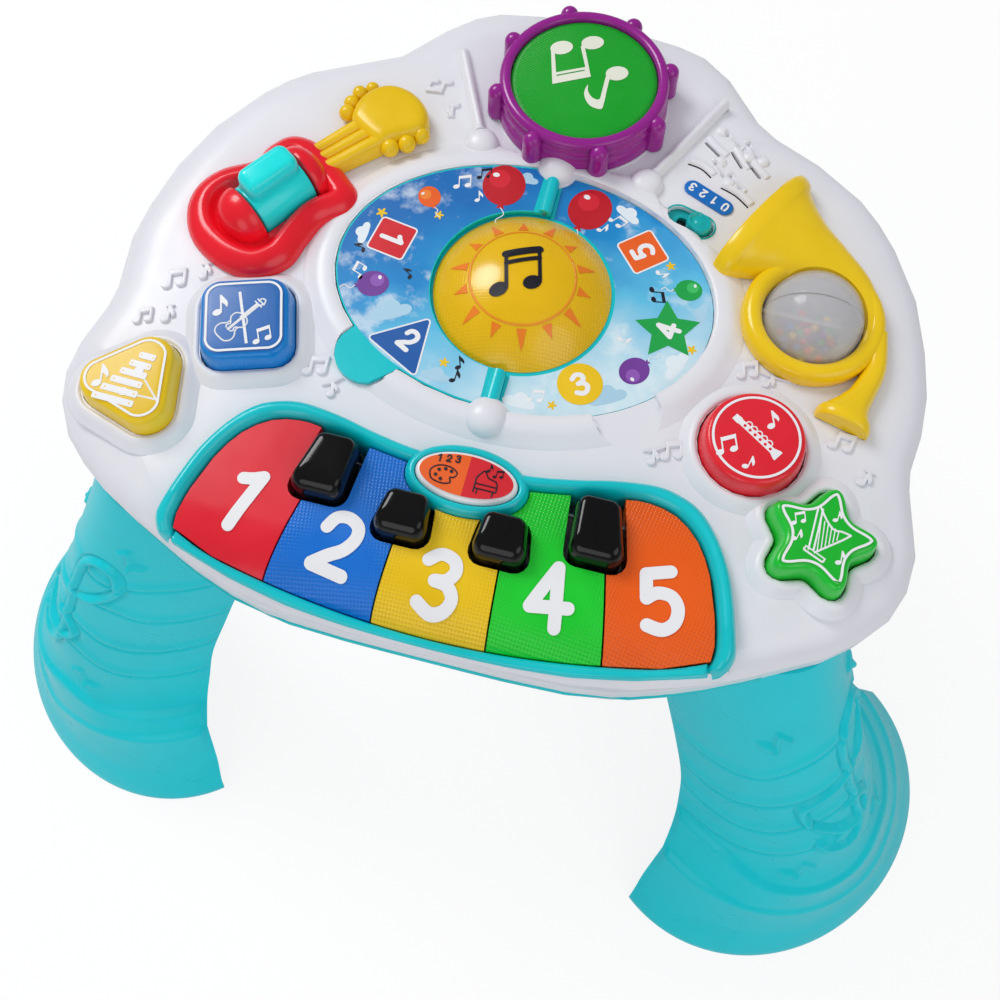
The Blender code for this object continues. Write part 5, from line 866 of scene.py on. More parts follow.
pipe = np.array([(-1.7, 15.5), (-1.9, 12.0), (-1.5, 11.6), (-1.5, -9.0), (-2.8, -12.0), (-2.8, -13.2),
                 (2.8, -13.2), (2.8, -12.0), (1.5, -9.0), (1.5, 11.6), (1.9, 12.0), (1.7, 15.5)])
shapes_on("red", "clarinet", [moved(pipe, (0.6, -0.6), 42)] + notes((9.0, 9.0), 9.5, 4, "single")
          + notes((-13.4, -4.0), 10.0, 4, "pair") + notes((-4.2, -13.5), 7.5, -28, "single"))
keys_on = [moved(np.vstack([oval(2.9, 2.9, 20), oval(2.9, 2.9, 20)[:1]]),
                 moved([(1.9, 7.6 - 3.3 * k)], (0.6, -0.6), 42)[0])
           for k in range(5)]
lines_on("red", "clarinet_keys", keys_on, 0.0007)
shapes_on("red", "clarinet_holes",
          [moved(oval(1.5, 1.5, 14), moved([(-0.1, 8.6 - 3.3 * k)], (0.6, -0.6), 42)[0])
                                    for k in range(6)], RED_FACE)

lines_on("green", "harp_frame", [
    np.array([(-7.4, -6.5), (-0.6, 14.0)]), np.array([(-5.2, -7.2), (1.6, 13.4)]),
    flow(np.array([(0.6, 14.4), (2.6, 8.0), (5.4, 3.2), (9.4, 2.0), (13.2, 0.2)]), 6, closed=False),
    flow(np.array([(13.2, 0.2), (8.0, -2.4), (1.0, -5.4), (-5.0, -8.0)]), 6, closed=False),
    np.array([(-9.6, -6.2), (-1.4, -12.6)]),
    np.array([(-9.6, -6.2), (-8.2, -4.6), (-0.2, -11.0), (-1.4, -12.6)]),
], 0.0010)
lines_on("green", "harp_strings",
         [np.array([(-3.4 + 1.9 * k, -7.0 + 0.95 * k), (0.2 + 1.5 * k, 8.6 - 1.25 * k)])
                                   for k in range(6)], 0.0006)
shapes_on("green", "harp_notes", notes((-9.5, 9.0), 6.5, 0, "pair")
          + notes((-11.2, 0.4), 6.5, -30, "single")
          + notes((8.4, 9.4), 6.0, -20, "single") + notes((7.6, -10.6), 7.0, -14, "single"))
print("pictures drawn")

# %% [markdown]
# ## Keyboard
# The five wide keys are one bowed row of clear-ish coloured plastic, each with its own fine
# prism grid that shows near the walls behind, with painted shade along its lines. They roll over
# at the front. The black keys are solid blocks with a flat top that slopes down to a round nose.

# %% Surfaces of the keyboard
KEY_TOP_Z, KEY_FRONT, KEY_SLOPE, NOSE = 0.3222, 0.1905, 0.155, 0.0185
KEY_SPAN, FRAME_SPAN, FRAME_REACH, SAG = 0.1305, 0.141, 0.196, 0.0155


def fall(y, nose=NOSE):
    share = np.clip((-KEY_SLOPE - (np.asarray(y) - SHIFT_Y)) / (KEY_FRONT - KEY_SLOPE), 0, 1.15)
    return nose * (0.25 * share + 0.75 * share ** 3)


def key_height(x, y):
    return -fall(y)


# The third number of each key is painted shade: how much its grid lines are darkened.
KEY_COLOURS = (("red", paint(236, 24, 46), 0.0), ("blue", paint(0, 118, 222), 0.12),
               ("yellow", paint(250, 206, 0), 0.18), ("green", paint(10, 218, 44), 0.14),
               ("orange", paint(255, 98, 0), 0.2))
KEY_CENTRES = ((-0.102, -0.153), (-0.0515, -0.1635), (0.0, -0.170), (0.0515, -0.1635), (0.102, -0.153))
for k, (colour, shade, dark) in enumerate(KEY_COLOURS):
    middle = np.array(KEY_CENTRES[k]) + C
    look = plastic("key_" + colour, shade, 0.3, coat=0.06, glow=0.05)
    # painted shade along the key's prism grid, strongest near the walls behind
    if dark:
        moulded_grid_and_shade(look, 0.0017, 0.5, dark, angle=(-12, -8, 0, 4, 10)[k],
                     centre=(middle[0], middle[1] + 0.012, 0), inner=(0.012, 0.036, 0.08))
    node = "key_%d" % (k + 1)
    soften(node, "key_%d_body" % (k + 1), look, node, 0.0005, angle=30, segments=3)
    digit("key_%d_number" % (k + 1), str(k + 1), middle + (0, 0.004), 0.0345, 0.0062,
          (-19, -9, 0, 9, 19)[k], KEY_TOP_Z + 0.0001, PRINT_WHITE, node, "button_white", 0.0005,
          key_height)
print("keys", len(KEY_COLOURS))


# %% Black keys
BLACK_PLACES = (((-0.530, -0.722), (-0.490, -0.558)), ((-0.186, -0.776), (-0.180, -0.655)),
                ((0.186, -0.776), (0.180, -0.655)), ((0.530, -0.722), (0.490, -0.558)))


def wedge(front, back, grow=0.0, lean=0.0, longer=0.0, radius=0.0062):
    along = (back - front) / np.linalg.norm(back - front)
    front, back = front + along * lean, back + along * longer
    corners = [(front[0] - 0.0145, front[1]), (front[0] + 0.0145, front[1]), (back[0] + 0.0112, back[1]),
               (back[0] - 0.0112, back[1])]
    return inset(even(round_corners(corners, radius), 96), -grow)


for k, (front_share, back_share) in enumerate(BLACK_PLACES):
    front, back = (np.array([s[0] * KEY_SPAN, s[1] * FRAME_REACH]) + C for s in (front_share, back_share))
    rings = []
    for grow, lean, z in ((-0.0009, 0.0, 0.2945), (-0.0009, 0.0, 0.3222), (-0.0007, 0.0002, 0.3252),
                          (-0.0008, 0.0008, 0.3286), (-0.0014, 0.0015, 0.3310), (-0.0020, 0.0022, 0.3326),
                          (-0.0026, 0.0029, 0.3337), (-0.0034, 0.0038, 0.3345),
                          (-0.0044, 0.0049, 0.33495), (-0.0056, 0.0062, 0.33515)):
        rings.append(at_height(wedge(front, back, grow, lean, 0.0012, 0.0066), z))
    middle = rings[-1].mean(0)
    rings += [middle + (rings[-1] - middle) * s + (0, 0, 0.0001) for s in (0.7, 0.4, 0.1)]
    node = "black_key_%d" % (k + 1)
    dress(skin(node + "_block", rings, angle=38), BLACK, "base", node)
print("black keys", len(BLACK_PLACES))

# %% [markdown]
# ## Keyboard trim
# A puffy teal border frames the keys on three sides, widens into an eye round the mode button and
# drops over the table's front edge at both ends. A thin lip closes the row in front. The border
# is a skin between the outer line of the frame and the line of the keys.

# %% Trim
OUTER = np.array([(0.950, -0.896), (0.975, -0.886), (0.993, -0.866), (1.000, -0.838), (0.986, -0.791),
                  (0.966, -0.730), (0.929, -0.648), (0.865, -0.566), (0.794, -0.510), (0.709, -0.482),
                  (0.624, -0.474), (0.496, -0.485), (0.355, -0.508), (0.200, -0.526),
                  (0.000, -0.530)]) * (FRAME_SPAN, FRAME_REACH)
INNER = np.array([(0.988, -0.893), (0.999, -0.872), (1.005, -0.838), (0.985, -0.765), (0.943, -0.673),
                  (0.875, -0.592), (0.779, -0.540), (0.672, -0.523), (0.573, -0.528), (0.382, -0.551),
                  (0.180, -0.570), (0.000, -0.574)]) * (KEY_SPAN, FRAME_REACH)


def whole(right):
    """Open line from the right front end round the back to the left front end."""
    return np.vstack([right, right[::-1][1:] * (-1, 1)]) + C


outer_line = even(flow(whole(OUTER), 8, closed=False), 320, closed=False)
inner_line = even(flow(whole(INNER), 8, closed=False), 320, closed=False)
ends = np.linspace(0, 1, 320)
settle_in = np.clip(np.minimum(ends, 1 - ends) / 0.02, 0, 1) ** 0.5
dive = 0.0075 * (1 - np.clip(np.minimum(ends, 1 - ends) / 0.009, 0, 1)) ** 2
rings = []
for u, rise in ((-0.04, -0.0060), (-0.04, 0.0006), (0.0, 0.0022), (0.07, 0.0046), (0.17, 0.0065),
                (0.30, 0.0078), (0.44, 0.0083), (0.58, 0.0081), (0.72, 0.0073), (0.84, 0.0059),
                (0.93, 0.0040), (0.98, 0.0018), (1.0, -0.0010), (1.0, -0.0120)):
    line = outer_line + (inner_line - outer_line) * u
    drop = np.minimum(fall(line[:, 1], NOSE + 0.0016), 0.0036)
    z = 0.3172 + (rise if rise < 0 else rise * settle_in) - drop - dive
    rings.append(np.column_stack([line, z]))
border = skin("trim_border", rings, around=False, angle=60)


def front_y(x, back_by=0.0):
    return -(KEY_FRONT - SAG * (x / KEY_SPAN) ** 2) + back_by + SHIFT_Y


def side_rise(x):
    """The front strip climbs with the keys' tops towards both sides."""
    return fall(-KEY_FRONT + SHIFT_Y) - fall(front_y(x))


def deck_edge(x):
    """Front edge of the deck: how far it stands out at each place across."""
    return -np.interp(np.abs(x), (0, .02, .04, .07, .10, .12, .13, .14, .15, .16),
                      (.2208, .2208, .22065, .21945, .21425, .2075, .2035, .199, .1943, .1896))


across = np.linspace(-0.1320, 0.1320, 176)
corner_room = 0.0036 * np.clip((np.abs(across) - 0.10) / 0.03, 0, 1) ** 2
strip = []
tuck = 0.011 * np.clip((np.abs(across) - 0.1286) / 0.0034, 0, 1) ** 2
shelf = (front_y(across) - deck_edge(across)) * (0.64 - 0.26 * (across / 0.13) ** 2)
for u, z in ((-1, 0.2975), (-1, 0.3042), (-0.4, 0.3049), (0.33, 0.3052), (0.72, 0.3049), (0.94, 0.3040),
             (1.0, 0.2975)):
    line = front_y(across, -u * (shelf if u > 0 else corner_room + 0.0006))
    strip.append(np.column_stack([across, line, z + (side_rise(across) - tuck) * (z > 0.3)]))
front_strip = skin("trim_front", strip, around=False, angle=60)
mode_centre = spot((0.0, -0.587))
eye_rings = []
for grow, z in ((0.0054, 0.3170), (0.0054, 0.3205), (0.0050, 0.3232), (0.0042, 0.3252), (0.0030, 0.3266),
                (0.0018, 0.3272), (0.0008, 0.3270), (0.0003, 0.3262), (0.0002, 0.3240), (0.0002, 0.3160)):
    eye_rings.append(at_height(moved(oval(2 * (0.0254 + grow), 2 * (0.0128 + grow), 120), mode_centre),
                               z))
eye = skin("trim_eye", eye_rings, close=False, angle=60)
dress(join_all("keyboard_trim", [border, front_strip, eye]), TRIM, "base", "keyboard_frame")


wide = np.linspace(-0.1400, 0.1400, 200)
inner, outer = front_y(wide, 0.0003), deck_edge(wide)
inner = np.maximum(inner, outer + 0.0030)
lip = []
for u, z in ((-0.06, 0.2960), (-0.04, 0.3022), (0.06, 0.3034), (0.22, 0.3038), (0.42, 0.3036),
             (0.62, 0.3029), (0.80, 0.3014), (0.92, 0.2992), (1.0, 0.2960), (1.03, 0.2925),
             (1.03, 0.2893)):
    climb = np.minimum(side_rise(wide), 0.0108) * max(0, 1 - max(u, 0)) ** 1.3 * (z > 0.3)
    lip.append(np.column_stack([wide, inner + (outer - inner) * u, z + climb]))
dress(skin("front_lip", lip, around=False, angle=60), WHITE, "base", slot="deck_white")
far = np.linspace(-0.1600, 0.1600, 160)
fade = np.clip((0.160 - np.abs(far)) / 0.04, 0, 1)
seam = []
for y, z in ((0.0010, 0.2893), (-0.0006, 0.2892), (-0.0013, 0.2886), (-0.0013, 0.2872), (-0.0006, 0.2866),
             (0.0010, 0.2866)):
    seam.append(np.column_stack([far, deck_edge(far) + 0.0008 * (1 - fade) + y, np.full(len(far), z)]))
dress(skin("front_seam", seam, around=False, angle=60), TRIM, "base", slot="trim_teal")

mode_outline = moved(oval(0.0504, 0.0252, 120), mode_centre)
MODE_STEPS = ((0.0, 0.3190), (0.0, 0.3262), (0.0003, 0.3275), (0.0009, 0.3283), (0.0018, 0.3287))
cap("mode_cap", mode_outline, plastic("mode_white", paint(245, 245, 248), 0.25), "mode_button",
    "mode_button", MODE_STEPS)
mode_high = crown(mode_outline)
MODE_TOP = 0.3288


def half_oval(side, amount):
    p = moved(oval(0.0504 - 2 * amount, 0.0252 - 2 * amount, 120), mode_centre)
    keep = p[(p[:, 0] - mode_centre[0]) * side >= -1e-9]
    x, y = (keep - mode_centre).T
    return keep[np.argsort(np.arctan2(y, x * side))[::side]]


ink("mode_orange", [half_oval(-1, 0.0022)], MODE_TOP, PRINT_ORANGE, "mode_button", "button_white",
    follow=mode_high)
ink("mode_red", [half_oval(1, 0.0022)], MODE_TOP, PRINT_RED, "mode_button", "button_white",
    follow=mode_high)


def on_mode(points):
    return moved(np.asarray(points, float) * 0.001, mode_centre)


palette = flow(np.array([(-11, -6.2), (-16.0, -4.8), (-17.4, -0.6), (-14.0, 2.4), (-8.4, 2.6),
                         (-4.6, 0.4), (-5.6, -2.2), (-7.4, -2.6), (-6.8, -5.2)]), 6)
lids = [np.array([(5.0, -7.0), (5.0, 0.6)]),
        flow(np.array([(5.0, 0.6), (8.0, 4.6), (10.6, 1.6), (14.6, 0.4), (15.6, -2.4)]), 5, closed=False),
        np.array([(15.6, -2.4), (5.0, -2.4)]), np.array([(15.6, -2.4), (15.6, -4.8)]),
        np.array([(15.6, -4.8), (5.0, -4.8)]), np.array([(6.6, -4.8), (6.6, -7.4)]),
        np.array([(14.2, -4.8), (14.2, -7.4)])]
mode_lines = [on_mode(line) for line in [np.vstack([palette, palette[:1]])] + lids]
piece = drawn("mode_pictures", mode_lines, 0.0007, MODE_TOP + 0.0002, 0.0002)
drape(piece, mode_high)
dress(piece, PRINT_DARK, "mode_button", slot="button_white")
dots = [on_mode(moved(oval(1.7, 1.7, 14), p)) for p
        in ((-14.4, -2.6), (-13.4, 0.2), (-10.4, 1.2), (-7.4, 0.6), (-11.6, -4.2))]
ink("mode_dots", dots + [on_mode(part) for part in notes((15.4, 4.6), 4.6, 0, "pair")]
    + [on_mode(part) for part in notes((10.4, 6.6), 4.4, 0, "single")], MODE_TOP + 0.0002, PRINT_DARK,
    "mode_button", "button_white", follow=mode_high)
for k, figure in enumerate("123"):
    digit("mode_number_" + figure, figure, on_mode([(-14.6 + 4.4 * k, 6.2 + 0.6 * k)])[0], 0.0042, 0.0008,
          0, MODE_TOP + 0.0002, PRINT_DARK, "mode_button", "button_white", 0.0002, mode_high)
print("mode button printed")

# %% [markdown]
# ## Picture disc
# The round picture is a printed sheet on a plate, and its left half is a thick page that turns
# over on a hinge through the middle. The sky runs from deep blue to pale with soft clouds. Its
# print lies on both halves, with numbers on tiles, balloons and small notes for the child to find.

# %% Sky
def sky(name, low, high):
    look = plastic(name, paint(20, 130, 200), 0.4, wave=0.0, coat=0.06)
    tree = look.node_tree
    place = object_place(tree)
    slope = add_node(tree, "VectorMath", {0: place, 1: (3.4, -5.6, 0)}, operation="DOT_PRODUCT")
    drift = noise(tree, place, 24, 3)
    sway = add_node(tree, "Math", {0: drift, 1: 0.55, 2: slope.outputs["Value"]},
                    operation="MULTIPLY_ADD")
    ramp = add_node(tree, "ValToRGB", {"Fac": sway.outputs["Value"]})
    deep, pale = ramp.color_ramp.elements
    deep.position, pale.position = low, high
    deep.color, pale.color = paint(0, 112, 192) + (1,), paint(222, 244, 251) + (1,)
    for at, tone in ((0.30, paint(0, 142, 214)), (0.56, paint(96, 198, 238))):
        step = ramp.color_ramp.elements.new(low + (high - low) * at)
        step.color = tone + (1,)
    puff = noise(tree, place, 52, 5, Roughness=0.6)
    cover = add_node(tree, "MapRange", {"From Min": 0.54, "From Max": 0.68, "To Max": 0.6, "Value": puff})
    mix = add_node(tree, "Mix", {"B": paint(236, 248, 253) + (1,), "Factor": cover.outputs["Result"],
                                 "A": ramp.outputs["Color"]}, data_type="RGBA")
    tree.links.new(mix.outputs["Result"], tree.nodes["Principled BSDF"].inputs["Base Color"])
    return look


SKY = sky("picture_sky", 0.0, 0.92)
soften("picture_plate", "picture_plate_body", TRIM, "base")
soften("page", "page_leaf", TRIM, "page", 0.0005)
PLATE_TOP, PAGE_TOP, PAGE_UNDER = 0.3166, 0.3202, 0.3174
# The turned page comes to lie 0.8 mm over the plate, so all the prints between them are thin.
SHEET, INK, LAYER = 0.00004, 0.00004, 0.00006
dome_centre = C + (0, -0.003)
dome_room = moved(oval(0.097, 0.097, 160), dome_centre)


def half_sheet(side, edge, middle):
    """Outline of half the picture: the rim on one side, the dome's room and the hinge gap."""
    outer = moved(oval(2 * (0.1 - edge), 2 * (0.073 - edge), 240), C)
    halves = []
    for line, way in ((outer, 1), (dome_room, -1)):
        line = line[line[:, 0] * side > middle]
        turn = np.arctan2(line[:, 1] - C[1], line[:, 0] * side)
        halves.append(line[np.argsort(turn)][::way])
    return np.vstack(halves)


ink("picture_right", [half_sheet(1, 0.0003, 0.0046)], PLATE_TOP + SHEET, SKY, "base", "picture_blue", INK)
ink("picture_left_under", [half_sheet(-1, 0.0003, 0.0046)], PLATE_TOP + SHEET, SKY, "base",
    "picture_blue", INK)
ink("page_picture", [half_sheet(-1, 0.0013, 0.0042)], PAGE_TOP + SHEET, SKY, "page", "picture_blue", INK)
ink("page_back", [half_sheet(-1, 0.0020, 0.0060)], PAGE_UNDER - SHEET - INK, SKY, "page", "picture_blue",
    INK)
print("sky printed")


# %% Numbers, balloons and notes
def facing(x, y):
    """Turn that makes a print's top face the middle of the disc."""
    return math.degrees(math.atan2(-y * 1.3, -x)) - 90


def level(x):
    """Height and body of a print: the page carries the left half, the plate the right one."""
    top, body = (PAGE_TOP, "page") if x < 0 else (PLATE_TOP, "base")
    return top + SHEET + 2 * LAYER, body


def in_picture(x, y):
    return np.array([x, y]) * 0.001 + C


def tile(figure, shape, look, x, y, turn=None):
    z, body = level(x)
    centre = in_picture(x, y)
    turn = facing(x, y) if turn is None else turn
    outline = moved(shape, centre, turn)
    if figure in "125":
        ink("tile_%s_edge" % figure, [inset(even(outline, 160), -0.0009)], z, PRINT_WHITE, body,
            "button_white", INK)
    ink("tile_" + figure, [outline], z + LAYER, look, body, "picture_blue", INK)
    digit("tile_number_" + figure, figure, centre, 0.0138, 0.0026, turn, z + 2 * LAYER, PRINT_WHITE, body,
          "button_white", INK)


block = even(round_corners([(-.0098, -.0098), (.0098, -.0098), (.0098, .0098), (-.0098, .0098)], 0.0014),
             120)
wedge_tile = even(round_corners([(-.0165, -.0105), (.0165, -.0105), (0, .0180)], 0.0012), 120)
tile("1", block, PRINT_RED, -74, 10)
tile("2", moved(wedge_tile, (0, -0.002)), PRINT_BLUE, -49, -46, -28)
tile("3", oval(0.0232, 0.0232, 96), PRINT_YELLOW, 41, -47)
spikes = np.array([(r * math.cos(a), r * math.sin(a)) for r, a in
                   ((0.0176 if k % 2 == 0 else 0.0088, math.pi / 2 + math.pi * k / 5) for k
                    in range(10))])
tile("4", even(spikes, 200), PRINT_GREEN, 78, -6)
tile("5", block, PRINT_ORANGE, 56, 37)


def balloon(name, look, x, y, width, turn):
    z, body = level(x)
    centre = in_picture(x, y)
    skin_line = moved(oval(width, width * 1.12), centre, turn)
    knot = moved(np.array([(-0.10, -0.64), (0.10, -0.64), (0.03, -0.52), (-0.03, -0.52)]) * width, centre,
                 turn)
    ink(name, [skin_line, knot], z, look, body, "picture_blue", INK)
    shine = moved(oval(width * 0.16, width * 0.12),
                  moved([(-0.22 * width, 0.26 * width)], centre, turn)[0], turn)
    glint = moved(oval(width * 0.5, width * 0.5), moved([(-0.12 * width, 0.16 * width)], centre, turn)[0],
                  turn)
    ink(name + "_glow", [glint], z + LAYER, BALLOON_GLOW[look.name], body, "picture_blue", INK)
    ink(name + "_shine", [shine], z + 2 * LAYER, PRINT_WHITE, body, "button_white", INK)
    thread = np.array([(0, -0.62), (0.10, -0.80), (-0.06, -0.98), (0.04, -1.16)]) * width
    thread = moved(flow(thread, 6, closed=False), centre, turn)
    dress(drawn(name + "_string", [thread], 0.0005, z + LAYER, INK), PRINT_WHITE, body,
          slot="button_white")


BALLOON_RED = plastic("balloon_red", paint(204, 16, 34), 0.35, wave=0.0, coat=0.1)
BALLOON_GLOW = {
    "balloon_red": plastic("balloon_red_light", paint(226, 34, 50), 0.35, wave=0.0, coat=0.1),
    "print_green": plastic("balloon_green_light", paint(62, 200, 104), 0.35, wave=0.0, coat=0.1),
    "print_purple": plastic("balloon_purple_light", paint(150, 92, 190), 0.35, wave=0.0, coat=0.1),
    "print_orange": plastic("balloon_orange_light", paint(255, 140, 50), 0.35, wave=0.0, coat=0.1),
}
balloon("balloon_left", BALLOON_RED, -25, 57, 0.0232, 6)
balloon("balloon_right", BALLOON_RED, 23, 56, 0.0232, -16)
balloon("balloon_west", PRINT_PURPLE, -76, -19, 0.0150, -70)
balloon("balloon_north_west", PRINT_ORANGE, -62, 40, 0.0120, 36)
balloon("balloon_east", PRINT_GREEN, 84, 20, 0.0125, -80)
balloon("balloon_south_east", PRINT_PURPLE, 66, -33, 0.0145, 140)
small = (
    (-46, 54, 9.0, 12, "pair", 1), (-36, 47, 7.0, 16, "single", 1), (-89, 1, 7.0, 80, "single", 0),
    (-85, -12, 8.0, 70, "pair", 1), (-36, 62, 7.5, 10, "pair", 0), (40, 52, 8.0, -40, "pair", 1),
    (33, 46, 7.0, -30, "single", 1), (69, 26, 7.0, -70, "single", 1), (69, 12, 8.5, -80, "pair", 0),
    (-20, -60, 7.5, 0, "single", 0), (-20, -52, 7.5, 20, "single", 0), (22, -59, 8.0, 0, "pair", 1),
    (58, -17, 7.0, -60, "single", 1), (-60, -8, 7.0, 60, "single", 0),
)
for k, (x, y, size, turn, kind, white) in enumerate(small):
    z, body = level(x)
    ink("picture_note_%d" % k, notes(in_picture(x, y), size * 0.001, turn, kind), z,
        PRINT_WHITE if white else PRINT_DARK, body, "button_white", INK)
# clouds, some over the sky and some beside the tiles
for k, (x, y, size, turn) in enumerate(((-62, -32, 13, 30), (-90, 10, 8, 90), (-14, 64, 8, 0),
                                        (86, -24, 11, 70), (56, -50, 12, 30), (14, -64, 10, 0),
                                        (93, 8, 8, 90), (44, 58, 9, -30), (-30, -62, 9, 0))):
    z, body = level(x)
    puffs = [moved(oval(a, b), np.array(c) * size * 0.001, 0, 0.001 * size) for a, b, c in
             ((0.9, 0.55, (-0.45, -0.05)), (0.8, 0.8, (0.0, 0.12)), (0.7, 0.5, (0.45, -0.08)),
              (1.5, 0.34, (0.0, -0.18)))]
    ink("cloud_%d" % k, [moved(p, in_picture(x, y), turn) for p in puffs], z - LAYER, PRINT_CLOUD if k % 2
        else PRINT_MIST, body, "button_white", INK * 0.5)
for k, (x, y, size, turn) in enumerate(((-84, 24, 3.2, 0), (-28, -54, 2.8, 20), (72, 32, 2.8, 40),
                                        (30, -62, 2.6, 10), (92, -14, 2.8, 0), (-54, 30, 2.8, 10))):
    z, body = level(x)
    ink("little_star_%d" % k,
        [moved(star_outline(1.0, 0.46, 80, 1.4), in_picture(x, y), turn, size * 0.001)], z, PRINT_YELLOW,
        body, "button_white", INK)
# what shows when the page is turned: the page's back, and the picture under it
back_z = PAGE_UNDER - SHEET - INK - LAYER
for k, (x, y, look) in enumerate(((-74, 16, PRINT_YELLOW), (-66, -26, PRINT_WHITE), (-40, 50, PRINT_RED),
                                  (-38, -54, PRINT_GREEN))):
    ink("page_back_star_%d" % k, [moved(star_outline(0.011, 0.0052, 120, 1.4), in_picture(x, y), 12 * k)],
        back_z, look, "page", "button_white", INK)
for k, (x, y, look) in enumerate(((-72, 6, PRINT_ORANGE), (-60, -32, PRINT_RED), (-52, 42, PRINT_GREEN),
                                  (-26, -58, PRINT_YELLOW))):
    ink("under_dot_%d" % k, [moved(oval(0.019, 0.019), in_picture(x, y))], PLATE_TOP + SHEET + LAYER,
        look, "base", "picture_blue", INK)
    ink("under_note_%d" % k, notes(in_picture(x, y), 0.0125, 0, "pair"), PLATE_TOP + SHEET + 2 * LAYER,
        PRINT_WHITE, "base", "button_white", INK)
print("picture printed")

# %% [markdown]
# ## Yellow dome
# The light under the picture shines through a clear yellow dome. The real one is printed with a
# cheerful picture of its own, so this one has a plain ring of sun rays and a pair of notes. Fine
# ribs are moulded inside it, with painted shade along them that is strongest near the rim.

# %% Dome
DOME_YELLOW = plastic("dome_yellow", paint(246, 196, 0), 0.2, streak=0.05, coat=0.35, glow=0.15)
# painted shade along the ribs, strongest near the rim
moulded_grid_and_shade(DOME_YELLOW, 0.0016, 0.25, 0.10, angle=-8, centre=(0, SHIFT_Y - 0.003, 0),
             inner=(0.018, 0.046, 0.15))
DOME_R, DOME_H = 0.0463, 0.0200
BALL = (DOME_R ** 2 + DOME_H ** 2) / (2 * DOME_H)


def dome_height(x, y):
    r2 = np.clip((x - dome_centre[0]) ** 2 + (y - dome_centre[1]) ** 2, 0, BALL ** 2 * 0.9)
    return np.sqrt(BALL ** 2 - r2) - (BALL - DOME_H)


profile = [(DOME_R + 0.0002, 0.3160), (DOME_R + 0.0002, 0.3172)]
for share in np.linspace(0, 1, 26)[:-1]:
    r = DOME_R * math.cos(math.radians(90 * share))
    profile.append((r, 0.3172 + math.sqrt(BALL ** 2 - r ** 2) - (BALL - DOME_H)))
profile.append((0.0004, 0.3172 + DOME_H))
dress(lathe("dome", profile, (*dome_centre, 0), 144, angle=60), DOME_YELLOW, "base", "sun_dome")
rays = []
for k in range(14):
    a = 2 * math.pi * k / 14
    long = 0.0385 if k % 2 else 0.0360
    rays.append(moved(np.array([(0.0290, -0.0026), (0.0305, -0.0021), (long - 0.003, -0.0010), (long, 0),
                                (long - 0.003, 0.0010), (0.0305, 0.0021), (0.0290, 0.0026)]), dome_centre,
                                math.degrees(a)))
ink("dome_rays", rays, 0.3173, plastic("ray_orange", paint(250, 132, 20), 0.3, wave=0.0, coat=0.3),
    "base", "key_orange", follow=dome_height)
strokes = [stroke(moved(even(np.array(line), 24, closed=False), dome_centre, LEAN, 0.001), w) for line, w
           in (
    (((-8.4, -8.6), (-8.4, 11.0)), 0.0019), (((8.6, -5.4), (8.6, 14.2)), 0.0019),
    (((-8.4, 11.0), (8.6, 14.2)), 0.0044), (((-8.4, 5.4), (8.6, 8.6)), 0.0024))]
heads = [moved(moved(oval(9.6, 7.2, 40), c, 20), dome_centre, LEAN, 0.001) for c
         in ((-12.4, -9.2), (4.6, -6.0))]
ink("dome_notes", strokes + heads, 0.3174, PRINT_DARK, "base", "button_white", follow=dome_height)
ring = moved(oval(0.0545, 0.0545, 120), dome_centre)
piece = drawn("dome_ring", [np.vstack([ring, ring[:1]])], 0.0010, 0.3174, 0.0002)
drape(piece, dome_height)
dress(piece, plastic("ring_orange", paint(248, 150, 16), 0.3, wave=0.0, coat=0.3), "base",
      slot="key_orange")
print("dome")

# %% [markdown]
# ## Hinge
# The page turns on two round barrels, teal like the page, that end in white bumps on the ring
# round the picture.

# %% Barrels and bumps
barrels = []
for side, low, high in ((1, 0.0470, 0.0722), (-1, 0.0528, 0.0722)):
    y0, y1 = SHIFT_Y + side * low, SHIFT_Y + side * high
    steps = [(0.0002, y0), (0.0030, y0), (0.0038, y0 + side * 0.0008), (0.0038, y1 - side * 0.0008),
             (0.0030, y1), (0.0002, y1)]
    barrels.append(lathe("barrel", steps, (0, 0, 0.3188), 48, "Y", 40))
barrel = join_all("hinge_barrels", barrels)
dress(barrel, TRIM, "page", slot="trim_teal")
for name, side in (("back", 1), ("front", -1)):
    dome_profile = [(0.0116, 0.3150), (0.0116, 0.3176)]
    for t in np.linspace(0, 90, 14):
        dome_profile.append((max(POLE, 0.0110 * math.cos(math.radians(t))), 0.3176
                             + 0.0080 * math.sin(math.radians(t))))
    centre = (0, SHIFT_Y + side * (0.0760 + (0.0012 if side < 0 else 0)), 0)
    bump = lathe("hinge_bump_" + name, dome_profile, centre, 64, angle=60)
    dress(bump, WHITE, "base", slot="deck_white")
print("hinge")

# %% [markdown]
# ## Drum
# The drum's purple rim is a turned ring with a groove round its side and eight round lugs, like
# the tension rods of a real drum. The head is clear green plastic with fine ribs over a light,
# and it carries three big cream notes that stand upside down to the keyboard player.

